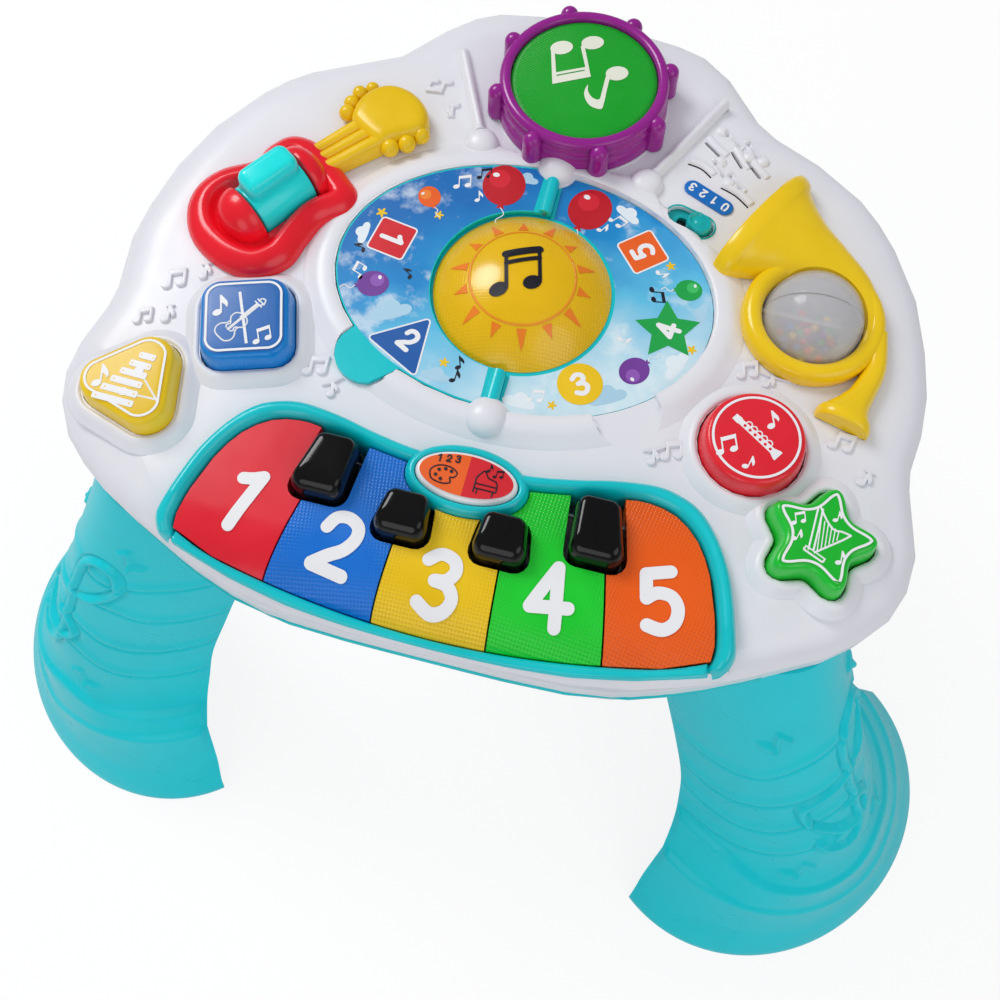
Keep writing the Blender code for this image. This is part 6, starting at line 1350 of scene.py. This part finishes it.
# %% Rim and lugs
# middle of the drum, and of the slider behind the picture
DRUM, SWITCH = spot((0.014, 0.635)), spot((0.347, 0.316))
drum_side = ((0.0403, 0.3185), (0.0403, 0.3362), (0.0402, 0.3371), (0.0408, 0.3380), (0.0421, 0.3386),
             (0.0437, 0.3386), (0.0451, 0.3379), (0.0461, 0.3366), (0.0463, 0.3350), (0.0457, 0.3335),
             (0.0451, 0.3327), (0.0454, 0.3318), (0.0461, 0.3308), (0.0464, 0.3290), (0.0460, 0.3272),
             (0.0461, 0.3260), (0.0469, 0.3248), (0.0474, 0.3230), (0.0475, 0.3200), (0.0477, 0.3184),
             (0.0403, 0.3185))
parts = [lathe("drum_side", drum_side, (*DRUM, 0), 160, angle=50)]
for k in range(8):
    a = math.radians(22.5 + 45 * k)
    at = DRUM + 0.0478 * np.array([math.cos(a), math.sin(a)])
    lug = [(0.0056, 0.3184), (0.0053, 0.3260), (0.0051, 0.3328)]
    lug += [(max(POLE, 0.0051 * math.cos(t)), 0.3328 + 0.0051 * math.sin(t)) for t
            in np.linspace(0.12, math.pi / 2, 9)]
    parts.append(lathe("lug", lug, (*at, 0), 32, angle=60))
dress(join_all("drum_rim_ring", parts), DRUM_PURPLE, "base", "drum_rim")
print("drum rim with", len(parts) - 1, "lugs")

# %% Head and its notes
DRUM_GREEN = plastic("drum_green", paint(12, 180, 40), 0.3, streak=0.04, coat=0.08, glow=0.06)
# painted shade along the clear head's ribs
moulded_grid_and_shade(DRUM_GREEN, 0.0011, 0.35, 0.12, angle=12, centre=(*DRUM, 0), across=False)
HEAD_R, HEAD_CROWN = 0.0400, 0.0016


def head_height(x, y):
    r2 = (x - DRUM[0]) ** 2 + (y - DRUM[1]) ** 2
    return HEAD_CROWN * (1 - r2 / HEAD_R ** 2)


rows = [(HEAD_R, 0.3310), (HEAD_R, 0.3350)]
rows += [(HEAD_R * s, 0.3354 + HEAD_CROWN * (1 - s * s)) for s in np.linspace(0.99, 0.01, 16)]
dress(lathe("drum_skin", rows, (*DRUM, 0), 128, angle=50), DRUM_GREEN, "drum_head", "drum_head")
CREAM = plastic("note_cream", paint(238, 240, 224), 0.45, streak=0.02, wave=0.0, coat=0.0)
shapes = [moved(moved(oval(12.6, 9.4, 48), c, 14), DRUM, LEAN, 0.001) for c
          in ((-12.0, 21.0), (5.2, 24.4), (17.8, 3.0))]
outer = even(np.array([(-17.9, 19.0), (-17.6, -4.2), (3.4, 0.4), (0.6, 22.0), (-1.6, 22.0), (0.6, 7.0),
                       (-15.4, 3.6), (-15.9, 19.0)]), 160)
slot_line = even(np.array([(-15.3, 1.9), (0.4, 5.3), (0.2, 4.4), (-15.2, 1.0)]), 60)
shapes.append([moved(outer, DRUM, LEAN, 0.001), moved(slot_line[::-1], DRUM, LEAN, 0.001)])
hook = flow(np.array([(14.0, 1.6), (11.9, -8.0), (9.9, -17.2), (8.0, -20.8), (2.0, -18.2), (-0.6, -11.0),
                      (1.6, -5.0), (1.6, -9.2), (3.6, -13.2), (7.4, -14.6), (9.2, -9.0), (12.0, 1.8)]), 6)
shapes.append(moved(hook, DRUM, LEAN, 0.001))
ink("drum_notes", shapes, 0.3355, CREAM, "drum_head", "button_white", follow=head_height)
print("drum head")

# %% [markdown]
# ## Guitar
# The body is one puffy red moulding: a round rim that sinks to a dish, with a cheek at each end
# of the strumming drum. Rings of the outline, each moved a little inwards, give the soft rim. The
# window for the strummer is cut out of the dish afterwards.

# %% Guitar body
def sunk(outline, amount):
    steps = max(1, int(amount / 0.0011))
    for _ in range(steps if amount else 0):
        outline = even(inset(outline, amount / steps), len(outline))
        outline = (np.roll(outline, 1, 0) + 2 * outline + np.roll(outline, -1, 0)) / 4
    return outline


def saw(piece, point, normal):
    """Cuts away the side that the normal points to and closes the cut."""
    choose(piece)
    bpy.ops.object.mode_set(mode="EDIT")
    bpy.ops.mesh.select_all(action="SELECT")
    bpy.ops.mesh.bisect(plane_co=point, plane_no=normal, clear_outer=True, use_fill=True)
    bpy.ops.object.mode_set(mode="OBJECT")
    return piece


def cut_out(piece, tool):
    cutter = piece.modifiers.new("cut", "BOOLEAN")
    cutter.operation, cutter.solver, cutter.object = "DIFFERENCE", "EXACT", tool
    apply_all(piece)
    bpy.data.objects.remove(tool)
    return smooth(piece, 40)


def turned_box(name, width, depth, low, high, centre, turn):
    outline = moved(box_outline(width, depth, 0.0012), centre, turn)
    return skin(name, [at_height(outline, low), at_height(outline, high)])


guitar_line = even(flow(np.array([spot(s) for s in (
    (-0.615, -0.157), (-0.552, -0.098), (-0.530, -0.015), (-0.507, 0.050), (-0.457, 0.098),
    (-0.447, 0.160), (-0.498, 0.221), (-0.545, 0.262), (-0.602, 0.305), (-0.665, 0.302), (-0.710, 0.245),
    (-0.724, 0.200), (-0.796, 0.149), (-0.837, 0.082), (-0.842, 0.008), (-0.814, -0.067),
    (-0.765, -0.118), (-0.692, -0.155))]), 10), 220)
rings, line, done = [], guitar_line, 0.0
for amount, z in ((0, TOY_FOOT), (0.0001, 0.3192), (0.0007, 0.3210), (0.0020, 0.3230), (0.0042, 0.3250),
                  (0.0068, 0.3265), (0.0092, 0.3273), (0.0112, 0.3273), (0.0128, 0.3264),
                  (0.0140, 0.3248), (0.0150, 0.3232), (0.0162, 0.3220), (0.0178, 0.3216)):
    line = sunk(line, amount - done)
    done = amount
    rings.append(at_height(line, z))
body = skin("guitar", rings, angle=50)
STRUM = spot((-0.640, 0.098))
STRUM_TURN = 56.0
window = turned_box("window", 0.0356, 0.0316, 0.3100, 0.3400, STRUM, STRUM_TURN)
body = cut_out(body, window)
cheeks = []
for side, long in ((-1, 0.0165), (1, 0.0125)):
    start = 0.0177
    shape = [(0.0002, side * start), (0.0160, side * start), (0.0170, side * (start + 0.0005)),
             (0.0172, side * (start + 0.0016))]
    shape += [(max(POLE, 0.0172 * math.cos(t) ** 0.9),
               side * (start + 0.0016 + (long - 0.0016) * math.sin(t)))
              for t in np.linspace(0.1, math.pi / 2, 16)]
    cheek = lathe("cheek", shape, (0, 0, 0), 72, "X", 45)
    cheek.rotation_euler.z = math.radians(STRUM_TURN)
    cheek.location = (*STRUM, 0.3212)
    settle(cheek)
    cheeks.append(saw(cheek, (0, 0, 0.3177), (0, 0, -1)))
body = join_all("guitar", [body] + cheeks)
dress(body, GUITAR_RED, "base", "guitar_body")
print("guitar body", len(body.data.polygons))

# %% Strumming drum
drum_part = lathe("strum_drum",
                  ((0.0002, -0.0168), (0.0138, -0.0168), (0.0146, -0.0164), (0.0148, -0.0156),
                   (0.0148, 0.0156),
                                 (0.0146, 0.0164), (0.0138, 0.0168), (0.0002, 0.0168)), (0, 0, 0), 96,
                                 "X", 40)
fin_rings = []
for out, z in ((0.0016, 0.0105), (0.0007, 0.0122), (0.0002, 0.0138), (0, 0.0160), (0, 0.0212),
               (-0.0005, 0.0232), (-0.0016, 0.0248), (-0.0030, 0.0257), (-0.0045, 0.0260)):
    fin_rings.append(at_height(box_outline(0.0310 + 2 * out, 0.0164 + 2 * out, max(0.0008, 0.0052 + out))
                               + (0, 0.0026), z))
fin = skin("strum_fin", fin_rings, angle=60)
fin.rotation_euler.x = math.radians(7)
settle(fin)
strummer = join_all("strumming_drum", [drum_part, fin])
saw(strummer, (0, 0, -0.0118), (0, 0, -1))
strummer.rotation_euler.z = math.radians(STRUM_TURN)
strummer.location = (*STRUM, 0.3215)
settle(strummer)
dress(strummer, STRUM_TEAL, "strummer", "strummer", slot="trim_teal")
print("strummer")

# %% Neck, head and pegs


def mm(points):
    return np.array(points) * 0.001


head_line = even(flow(mm([(-95.4, 36.9), (-88.5, 42.0), (-80.2, 47.0), (-75.2, 51.2), (-73.8, 58.6),
                          (-77.9, 67.7), (-86.5, 74.6), (-96.0, 77.4), (-104.3, 76.2), (-111.3, 70.9),
                          (-115.4, 63.8), (-116.9, 56.2), (-115.6, 49.2), (-106.5, 42.0)]), 10), 150)
rings, line, done = [], head_line, 0.0
for amount, z in ((0.0002, TOY_FOOT), (0.0, 0.3215), (0.0002, 0.3245), (0.0012, 0.3272), (0.0030, 0.3288),
                  (0.0052, 0.3295)):
    line = sunk(line, amount - done) if amount > done else line
    done = amount
    rings.append(at_height(line, z))
heart = rings[-1].mean(0)
rings += [heart + (rings[-1] - heart) * s + (0, 0, 0.0001) for s in (0.75, 0.45, 0.12)]
parts = [skin("head_blob", rings, angle=60)]
foot, tip = mm((-125.4, 22.3)), mm((-105.6, 43.6))
ahead = (tip - foot) / np.linalg.norm(tip - foot)
aside = np.array([-ahead[1], ahead[0]])
for k, (low, high) in enumerate(((-0.0108, -0.0030), (-0.0036, 0.0036), (0.0030, 0.0104))):
    sections = []
    for s in np.linspace(-0.10, 1.12, 22):
        wide = 1.0 + 0.16 * s
        a, b = low * wide, high * wide
        swell = (0.0094, 0.0086, 0.0080)[k] * (1 - 0.08 * math.cos(math.pi * s))
        mid, half = (a + b) / 2, (b - a) / 2
        t = np.linspace(0, math.pi, 15)
        x = mid - half * np.sign(np.cos(t)) * np.abs(np.cos(t)) ** 0.8
        z = 0.3176 + swell * np.sin(t) ** 0.5
        flat = foot + (tip - foot) * s
        sections.append(np.column_stack([flat + np.outer(x, aside), z]))
    parts.append(skin("ridge", sections, angle=60))
for x, y, r in ((-90.9, 38.8, 5.0), (-82.7, 43.7, 4.9), (-76.6, 51.1, 4.8), (-120.4, 55.6, 4.6),
                (-120.0, 62.6, 4.4), (-117.4, 70.2, 4.4), (-111.6, 75.2, 4.0)):
    ball_line = [(max(POLE, r * 0.001 * math.cos(t)), 0.3176 + r * 0.001 * (1 + math.sin(t))) for t
                 in np.linspace(-1.5, math.pi / 2, 16)]
    parts.append(lathe("peg", ball_line, (x * 0.001, y * 0.001, 0), 32, angle=60))
neck = join_all("guitar_head", parts)
dress(neck, GUITAR_YELLOW, "base", "guitar_neck")
print("neck, head and", len(parts) - 4, "pegs")

# %% [markdown]
# ## Horn
# A yellow french horn is wound round the rattle ball. Its bell flares out to a thick round lip,
# the pipe runs down the outer side and ends in a small foot. The sections are half ellipses that
# sweep along the pipe; a ring closes round the ball.

# %% Horn
PIPE_HALF, PIPE_RISE, BALL_ROOM = 0.0375, 0.0190, 0.0264


def piped(name, stations, base=TOY_FOOT, steps=9):
    """Half-round pipe: closed sections that stand across the path, flat side down."""
    path = flow(np.array([(*spot(p), w * PIPE_HALF, h * PIPE_RISE) for p, w, h in stations]), steps,
                closed=False)
    sections, before = [], None
    for i, (x, y, half, rise) in enumerate(path):
        ahead = path[min(i + 1, len(path) - 1), :2] - path[max(i - 1, 0), :2]
        ahead = ahead / max(np.linalg.norm(ahead), 1e-9)
        if before is not None and ahead @ before < 0.6:
            ahead = before
        before = ahead
        t = np.linspace(0, math.pi, 33)
        out = half * np.sign(np.cos(t)) * np.abs(np.cos(t)) ** 0.86
        z = base + 0.0006 + rise * np.sin(t) ** 0.92
        arch = np.column_stack([np.array([x, y]) + np.outer(out, (ahead[1], -ahead[0])), z])
        foot = [[*(arch[k, :2]), base] for k in (-1, 0)]
        sections.append(np.vstack([arch, foot]))
    return skin(name, sections, angle=50)


HORN = spot((0.672, 0.082))


def ball_room():
    return lathe("ball_room",
                 ((0.0002, 0.3120), (BALL_ROOM, 0.3120), (BALL_ROOM, 0.3480), (0.0002, 0.3480)),
                 (*HORN, 0), 144, angle=40)


ring = [(BALL_ROOM, 0.3176), (0.0365, 0.3176), (0.0367, 0.3200)]
ring += [(0.0315 + 0.0052 * math.cos(t), 0.3217 + 0.0056 * math.sin(t)) for t
         in np.linspace(0.1, math.pi - 0.1, 18)]
ring += [(BALL_ROOM, 0.3200), (BALL_ROOM, 0.3176)]
parts = [lathe("horn_ring", ring, (*HORN, 0), 144, angle=50)]
bell = (((0.806, 0.020), 0.17, 0.42), ((0.800, 0.110), 0.21, 0.46), ((0.752, 0.195), 0.31, 0.54),
        ((0.680, 0.250), 0.44, 0.64), ((0.615, 0.285), 0.60, 0.77), ((0.568, 0.310), 0.78, 0.90),
        ((0.548, 0.321), 0.885, 0.955), ((0.536, 0.328), 0.975, 1.0), ((0.522, 0.336), 1.02, 1.025),
        ((0.508, 0.344), 1.01, 1.015), ((0.500, 0.349), 0.97, 0.975))
parts.append(cut_out(piped("horn_bell", bell), ball_room()))
tail = (((0.822, 0.080), 0.15, 0.43), ((0.828, -0.020), 0.155, 0.43), ((0.810, -0.095), 0.175, 0.45),
        ((0.794, -0.135), 0.23, 0.50), ((0.785, -0.160), 0.31, 0.55), ((0.780, -0.176), 0.37, 0.59),
        ((0.776, -0.188), 0.385, 0.60), ((0.773, -0.198), 0.37, 0.57), ((0.772, -0.202), 0.33, 0.52))
parts.append(cut_out(piped("horn_foot", tail), ball_room()))
horn = join_all("french_horn", parts)
dress(horn, HORN_YELLOW, "base", "horn")
print("horn", len(horn.data.polygons))


# %% [markdown]
# ## Bank round the picture
# The ring is a soft bank: steep to the picture, long and low to the deck. It stops short of the
# drum and the slider, and two round rooms are cut in it for the page's tab: where it lies at rest
# and where it lands.

# %% Bank
RIM = np.array([0.2002, 0.1462])
rim_line = moved(oval(*RIM, 480), C)
tabs = [np.array([side * 0.303 * HALF_WIDTH, -0.298 * HALF_DEPTH]) + C for side in (-1, 1)]
slot_way = np.array([math.cos(math.radians(-15)), math.sin(math.radians(-15))]) * 0.0068
slot_gap = np.min([np.linalg.norm(rim_line - SWITCH - t * slot_way, axis=1) for t
                   in np.linspace(-1, 1, 9)], 0)
room = np.minimum(np.linalg.norm(rim_line - DRUM, axis=1) - 0.0490, slot_gap - 0.0092)
bank_rings = []
for grow, rise in ((0.0, -0.0006), (0.0, 0.0028), (0.0006, 0.0036), (0.0018, 0.0040), (0.0040, 0.0041),
                   (0.0064, 0.0040), (0.0084, 0.0037), (0.0104, 0.0029), (0.0126, 0.0018),
                   (0.0150, 0.0008), (0.0172, 0.0001), (0.0184, -0.0006)):
    grown = moved(oval(*(RIM + 2 * grow), 480), C)
    share = np.minimum(1, np.maximum(room, 0.001) / max(grow, 1e-6))
    plan = rim_line + (grown - rim_line) * share[:, None]
    bank_rings.append(at_height(plan, DECK + rise))
bank_rings.append(bank_rings[0])
bank = skin("picture_bank", bank_rings, close=False, angle=50)
for tab in tabs:
    clear_selection()
    bpy.ops.mesh.primitive_cylinder_add(vertices=96, radius=0.0176, depth=0.02,
                                        location=(*tab, DECK + 0.0098))
    cut_out(bank, bpy.context.object)
dress(smooth(bank, 50), WHITE, "base", slot="deck_white")
print("bank round the picture")

# %% [markdown]
# ## Rattle ball
# Two clear half shells meet at a seam and turn on a steel axle across the horn's ring. Dozens of
# coloured beads lie inside. Each shell has a small bevel at the seam so light catches it.

# %% Clear shells
CLEAR = plastic("clear_shell", (0.95, 0.95, 0.99), 0.05, streak=0.0, wave=0.02, coat=0.0, clear=0.7)
BALL_C = np.array([*HORN, 0.3200])
R_OUT, R_IN = 0.0255, 0.0243
for node, side in (("rattle_half_front", -1), ("rattle_half_back", 1)):
    turn = np.linspace(0, math.pi / 2, 26)
    shape = [(R_OUT - 0.0002, side * 0.0004)] + [(max(POLE, R_OUT * math.cos(t)),
                                                  side * max(0.0008, R_OUT * math.sin(t))) for t in turn]
    shape += [(max(POLE, R_IN * math.cos(t)), side * max(0.0008, R_IN * math.sin(t))) for t in turn[::-1]]
    shape += [(R_IN, side * 0.0004), (R_OUT - 0.0002, side * 0.0004)]
    shell_half = lathe(node + "_shell", shape, BALL_C, 96, "Y", 50)
    dress(shell_half, CLEAR, "rattle_ball", node)
print("clear shells")

# %% Beads
BEAD_PAINTS = (("red", (228, 30, 46)), ("blue", (0, 110, 205)), ("yellow", (250, 205, 20)),
               ("green", (30, 180, 70)), ("purple", (140, 60, 165)))
pick = np.random.default_rng(4)
taken = []
for k, (name, rgb) in enumerate(BEAD_PAINTS):
    look = plastic("bead_" + name, paint(*rgb), 0.2, coat=0.3)
    beads = []
    while len(beads) < 9:
        p = pick.uniform(-1, 1, 3) * (0.0150, 0.0150, 0.0040) - (0, 0.0040, 0.0150)
        r = 0.0021
        if np.linalg.norm(p) > R_IN - r - 0.0003 or any(np.linalg.norm(p - q) < 2.05 * r for q in taken):
            continue
        taken.append(p)
        line = [(max(0.0001, r * math.cos(t)), r * math.sin(t)) for t in np.linspace(-1.5, 1.5, 12)]
        beads.append(lathe("one", line, BALL_C + p, 20, angle=60))
    dress(join_all("beads_" + name, beads), look, "rattle_ball", "bead_%d" % (k + 1))
print("beads", len(taken))

# %% [markdown]
# ## Slider and its label
# A teal knob slides in an oval well. The blue pill beside it shows the positions in white.

# %% Slider
soften("switch_plate", "slider_well", SWITCH_TEAL, "base")
def cup(width, depth, count=96):
    """Oval with straight long sides: two half circles, set apart."""
    ring, apart = oval(depth, depth, count), ((width - depth) / 2, 0)
    a, b = count // 4, 3 * count // 4
    return np.vstack([ring[:a] + apart, ring[a:b] - apart, ring[b:] + apart])


KNOB = np.array([0.08142, 0.03548])
knob_line = cup(0.0142, 0.0108)
rings = []
for share, z in ((0.30, 0.3108), (0.34, 0.3120), (0.96, 0.3128), (1.0, 0.3150), (1.0, 0.3188),
                 (0.97, 0.3203), (0.90, 0.3211), (0.80, 0.3212), (0.72, 0.3207), (0.64, 0.3200),
                 (0.40, 0.3199), (0.30, 0.3203), (0.18, 0.3205), (0.05, 0.3206)):
    rings.append(at_height(moved(knob_line * share, KNOB, -32), z))
knob = skin("slider_knob", rings, angle=45)
dress(knob, SWITCH_TEAL, "switch_knob", "switch_knob")
well = moved(cup(0.0282, 0.0146), SWITCH, -15)
lip_line = np.vstack([well, well[:1]])
dress(drawn("slider_lip", [lip_line], 0.0011, 0.3171, 0.0003), SWITCH_TEAL, "base", slot="switch_teal")
LABEL = spot((0.378, 0.404))
PILL = plastic("label_blue", paint(0, 112, 200), 0.3, wave=0.02, coat=0.3)
pill = flat_shape("slider_label", [moved(cup(0.0300, 0.0094), LABEL, -24)], 0.3172, 0.0009, 0.00035)
dress(pill, PILL, "base", "switch_label")
across = np.array([math.cos(math.radians(-24)), math.sin(math.radians(-24))])
for k, figure in enumerate("0123"):
    digit("label_" + figure, figure, LABEL + across * (0.0104 - 0.0070 * k), 0.0056, 0.0010, 156, 0.3181,
          PRINT_WHITE, "base", "button_white", 0.0002)
print("slider")

# %% [markdown]
# ## Deck relief
# The white deck carries relief in its own colour: notes scattered between the toys, a pair of
# drumsticks beside the drum, and a swirl of music over the speaker's slots. Thin black lines along
# two of the waves are painted shade that stands for their grooves.

# %% Height of the deck
deck_faces = BVHTree.FromPolygons([v.co.copy() for v in deck.data.vertices],
                                  [tuple(f.vertices) for f in deck.data.polygons])
OVER_ALL = 0.36


def on_deck(x, y):
    """Height of the deck's top above its flat level at each point."""
    out = np.zeros(len(x))
    for i, (a, b) in enumerate(zip(x, y)):
        place = deck_faces.ray_cast(Vector((a, b, OVER_ALL)), Vector((0, 0, -1)))[0]
        out[i] = (place.z if place else DECK - 0.004) - DECK
    return np.maximum(out, -0.012)


# %% Notes in relief
relief = ((-176.7, -64.6, 11.0, 14, "pair"), (-163.4, -56.8, 8.5, 14, "single"),
          (-185.0, -89.5, 8.5, 14, "pair"), (-173.4, -85.6, 9.0, 10, "single"),
          (-89.4, -95.1, 11.0, 4, "pair"), (-78.5, -105.7, 7.5, 20, "single"),
          (-79.0, 90.4, 11.0, 176, "pair"), (-66.3, 76.1, 9.5, 190, "single"),
          (122.8, -43.1, 9.5, 10, "pair"), (133.6, -47.6, 7.0, -20, "single"),
          (94.2, -96.0, 10.0, 10, "pair"), (85.2, -102.0, 7.5, 10, "single"),
          (174.7, -71.3, 10.5, -14, "pair"), (187.6, -88.0, 8.5, -20, "single"))
for k, (x, y, size, turn, kind) in enumerate(relief):
    fat = [inset(even(p, 48), -0.0005) for p in notes(mm((x, y)), size * 0.001, turn, kind)]
    ink("relief_note_%d" % k, fat, DECK - 0.0004, WHITE, "base", "deck_white", thick=0.0021,
        follow=on_deck, edge=0.0005)
print("notes in relief", len(relief))

# %% Drumsticks
for k, (x, y, tx, ty) in enumerate(((-43.98, 58.35, -71.0, 117.3), (49.06, 54.27, 81.0, 117.3))):
    knob_shape = [(0.0094, 0.3166), (0.0090, 0.3176), (0.0086, 0.3186)]
    knob_shape += [(max(POLE, 0.0085 * math.cos(t)), 0.3186 + 0.0046 * math.sin(t)) for t
                   in np.linspace(0.15, math.pi / 2, 12)]
    tip_ball = lathe("stick_ball", knob_shape, (x * 0.001, y * 0.001, 0), 56, angle=60)
    start, end = mm((x, y)), mm((tx, ty))
    path = start + np.outer(np.linspace(0.1, 1.0, 30), end - start)
    stick = drawn("stick", [path], 0.0068, DECK - 0.0002, 0.0030, steps=5)
    drape(stick, lambda a, b: on_deck(a, b) * 0.98)
    dress(join_all("drumstick_%d" % (k + 1), [tip_ball, stick]), WHITE, "base", slot="deck_white")
print("drumsticks")

# %% Speaker relief
SPEAKER = spot((0.415, 0.535))


def slot_at(x, y, turn):
    return moved(mm([(-7.6, 0.5), (0, 0), (7.6, 0.5)]), SPEAKER + 0.019 * np.array((x, y)), turn)


waves = [slot_at(-0.62, 0.35, -38), slot_at(0.12, 0.16, -52), slot_at(0.66, -0.08, -45),
         mm([(68.5, 73.2), (76.2, 71.6), (82.4, 67.3)]), mm([(88.8, 62.2), (97.4, 58.9), (105.2, 53.2)])]
for k, line in enumerate(waves):
    path = flow(line, 8, closed=False)
    ahead = (path[-1] - path[0]) / np.linalg.norm(path[-1] - path[0])
    out = np.array([-ahead[1], ahead[0]])
    swirl = drawn("speaker_wave_%d" % k, [path + out * 0.0032], 0.0046, DECK - 0.0002, 0.0014, steps=4)
    drape(swirl, on_deck)
    dress(swirl, WHITE, "base", slot="deck_white")
    # painted shade: a thin black line stands for the dark of the groove beside each of the last two waves
    if k > 2:
        groove_shade_line = drawn("speaker_line_%d" % k, [path], 0.0009, DECK + 0.0001, 0.0002)
        drape(groove_shade_line, on_deck)
        dress(groove_shade_line, BLACK, "base", slot="black_plastic")
strokes = [slot_at(*place) for place
           in ((-0.10, 0.80, -38), (-0.30, -0.30, -52), (0.52, 0.58, -50), (0.22, -0.62, -45))]
soft = drawn("speaker_strokes", [flow(line, 8, closed=False) for line in strokes], 0.0044, DECK - 0.0001,
             0.0013, steps=4)
dress(drape(soft, on_deck), WHITE, "base", slot="deck_white")
for k, (x, y) in enumerate(((83.0, 99.0), (100.4, 85.6), (92.6, 66.0), (108.4, 84.6), (85.6, 78.8))):
    blob = [(max(POLE, 0.0036 * math.cos(t)), DECK - 0.0004 + 0.0024 * math.sin(t)) for t
            in np.linspace(0, math.pi / 2, 10)]
    head = drape(lathe("speaker_note_%d" % k, blob, (x * 0.001, y * 0.001, 0), 32, angle=60), on_deck)
    dress(head, WHITE, "base", slot="deck_white")
print("speaker relief")

# %% [markdown]
# ## Parts that are mostly hidden
# Springs, pins, boards, cells and the speaker keep their solid shape. Each gets a finish of its
# own, so the table still looks right when the page is turned or when it is seen from below.

# %% Finishes of the hidden parts
def metal(name, tone, rough):
    look = plastic(name, tone, rough, streak=0.12, wave=0.02, grain=0.05, coat=0.0)
    look.node_tree.nodes["Principled BSDF"].inputs["Metallic"].default_value = 1.0
    return look


STEEL = metal("steel", (0.62, 0.63, 0.65), 0.28)
BOARD = plastic("board_green", paint(18, 104, 58), 0.45, streak=0.2, wave=0.0, grain=0.1, coat=0.1,
                scale=6)
CELL = plastic("cell_red", paint(188, 30, 36), 0.3, streak=0.1)
RUBBER = plastic("pad_rubber", (0.03, 0.03, 0.032), 0.7, streak=0.2, grain=0.2, coat=0.0)
hidden = {
    STEEL: ("blue_button_spring", "yellow_button_spring", "red_button_spring", "green_button_spring",
            "hinge_pin_back", "hinge_pin_front", "key_rod", "rattle_axle", "strummer_axle",
            "battery_door_screw"),
    BOARD: ("main_board", "button_board_left", "button_board_right"),
    CELL: ("battery_1", "battery_2", "battery_3"),
    RUBBER: ("drum_cushion",),
    BLACK: ("speaker",),
    WHITE: ("battery_box",),
}
for look, names in hidden.items():
    for name in names:
        nodes[name].material_slots[0].material = look
soften("battery_door", "battery_lid", WHITE, "base", 0.0003)
print("hidden parts dressed", sum(len(v) for v in hidden.values()))

# %% [markdown]
# ## Floor, light and camera
# The photograph is a product shot: white all round, soft light from above, and a faint shadow.

# %% Stage
def lamp(name, place, size, power):
    data = bpy.data.lights.new(name, "AREA")
    data.shape, data.size, data.energy = "DISK", size, power
    lamp_object = bpy.data.objects.new(name, data)
    lamp_object.location = place
    aim = Vector((0, 0, 0.22)) - Vector(place)
    lamp_object.rotation_euler = aim.to_track_quat("-Z", "Y").to_euler()
    bpy.context.scene.collection.objects.link(lamp_object)


lamp("key_light", (-1.35, 0.75, 1.9), 1.0, 21)
lamp("fill_light", (1.3, -0.9, 1.5), 1.4, 5.4)
lamp("front_light", (-0.2, -1.6, 0.9), 1.0, 3.0)
clear_selection()
bpy.ops.mesh.primitive_plane_add(size=12, location=(0, 0, 0))
floor = settle(bpy.context.object)
floor.name = "floor"
pale = bpy.data.materials.new("pale_floor")
pale.use_nodes = True
tree = pale.node_tree
seen = add_node(tree, "LightPath").outputs["Is Camera Ray"]
tone = add_node(tree, "Mix", {"A": (0.80, 0.80, 0.81, 1), "B": (1.0, 1.0, 1.0, 1), "Factor": seen},
                data_type="RGBA")
shader = set_inputs(tree, tree.nodes["Principled BSDF"],
                    {"Roughness": 0.7, "Base Color": tone.outputs["Result"]})
glow = add_node(tree, "Emission", {"Strength": 1.02})
share = add_node(tree, "Math", {0: seen, 1: 0.84}, operation="MULTIPLY")
paper = add_node(tree, "MixShader",
                 {"Fac": share.outputs["Value"], 1: shader.outputs["BSDF"], 2: glow.outputs["Emission"]})
set_inputs(tree, tree.nodes["Material Output"], {"Surface": paper.outputs["Shader"]})
floor.data.materials.append(pale)
world = bpy.data.worlds.new("studio")
bpy.context.scene.world = world
world.use_nodes = True
tree = world.node_tree
DAYLIGHT = (0.95, 0.97, 1.0, 1)
ground = set_inputs(tree, tree.nodes["Background"],
                    {"Color": DAYLIGHT, "Strength": 0.52}).outputs["Background"]
white = add_node(tree, "Background", {"Strength": 1.0}).outputs["Background"]
path = add_node(tree, "LightPath").outputs
either = add_node(tree, "Math", {0: path["Is Camera Ray"], 1: path["Is Transmission Ray"]},
                  operation="MAXIMUM")
blend = add_node(tree, "MixShader", {"Fac": either.outputs["Value"], 1: ground, 2: white})
dim = add_node(tree, "Background", {"Color": DAYLIGHT, "Strength": 0.16}).outputs["Background"]
mirror = add_node(tree, "MixShader", {"Fac": path["Is Glossy Ray"], 1: blend.outputs["Shader"], 2: dim})
set_inputs(tree, tree.nodes["World Output"], {"Surface": mirror.outputs["Shader"]})
bpy.context.scene.view_settings.view_transform = "Standard"

# %% Camera
right = Vector((0.968694, 0.248259, 0)).normalized()
back = Vector((0.0851, -0.3322, 0.9394)).normalized()
right = (right - right.dot(back) * back).normalized()
up = back.cross(right)
eye = bpy.data.cameras.new("eye")
eye.lens, eye.sensor_width = 37.92, 36.0
eye.clip_start, eye.clip_end = 0.02, 40
camera = bpy.data.objects.new("eye", eye)
camera.matrix_world = Matrix((
    (right.x, up.x, back.x, 0.0608), (right.y, up.y, back.y, -0.2868 + SHIFT_Y),
    (right.z, up.z, back.z, 0.7959), (0, 0, 0, 1)))
bpy.context.scene.collection.objects.link(camera)
bpy.context.scene.camera = camera
print("camera set")
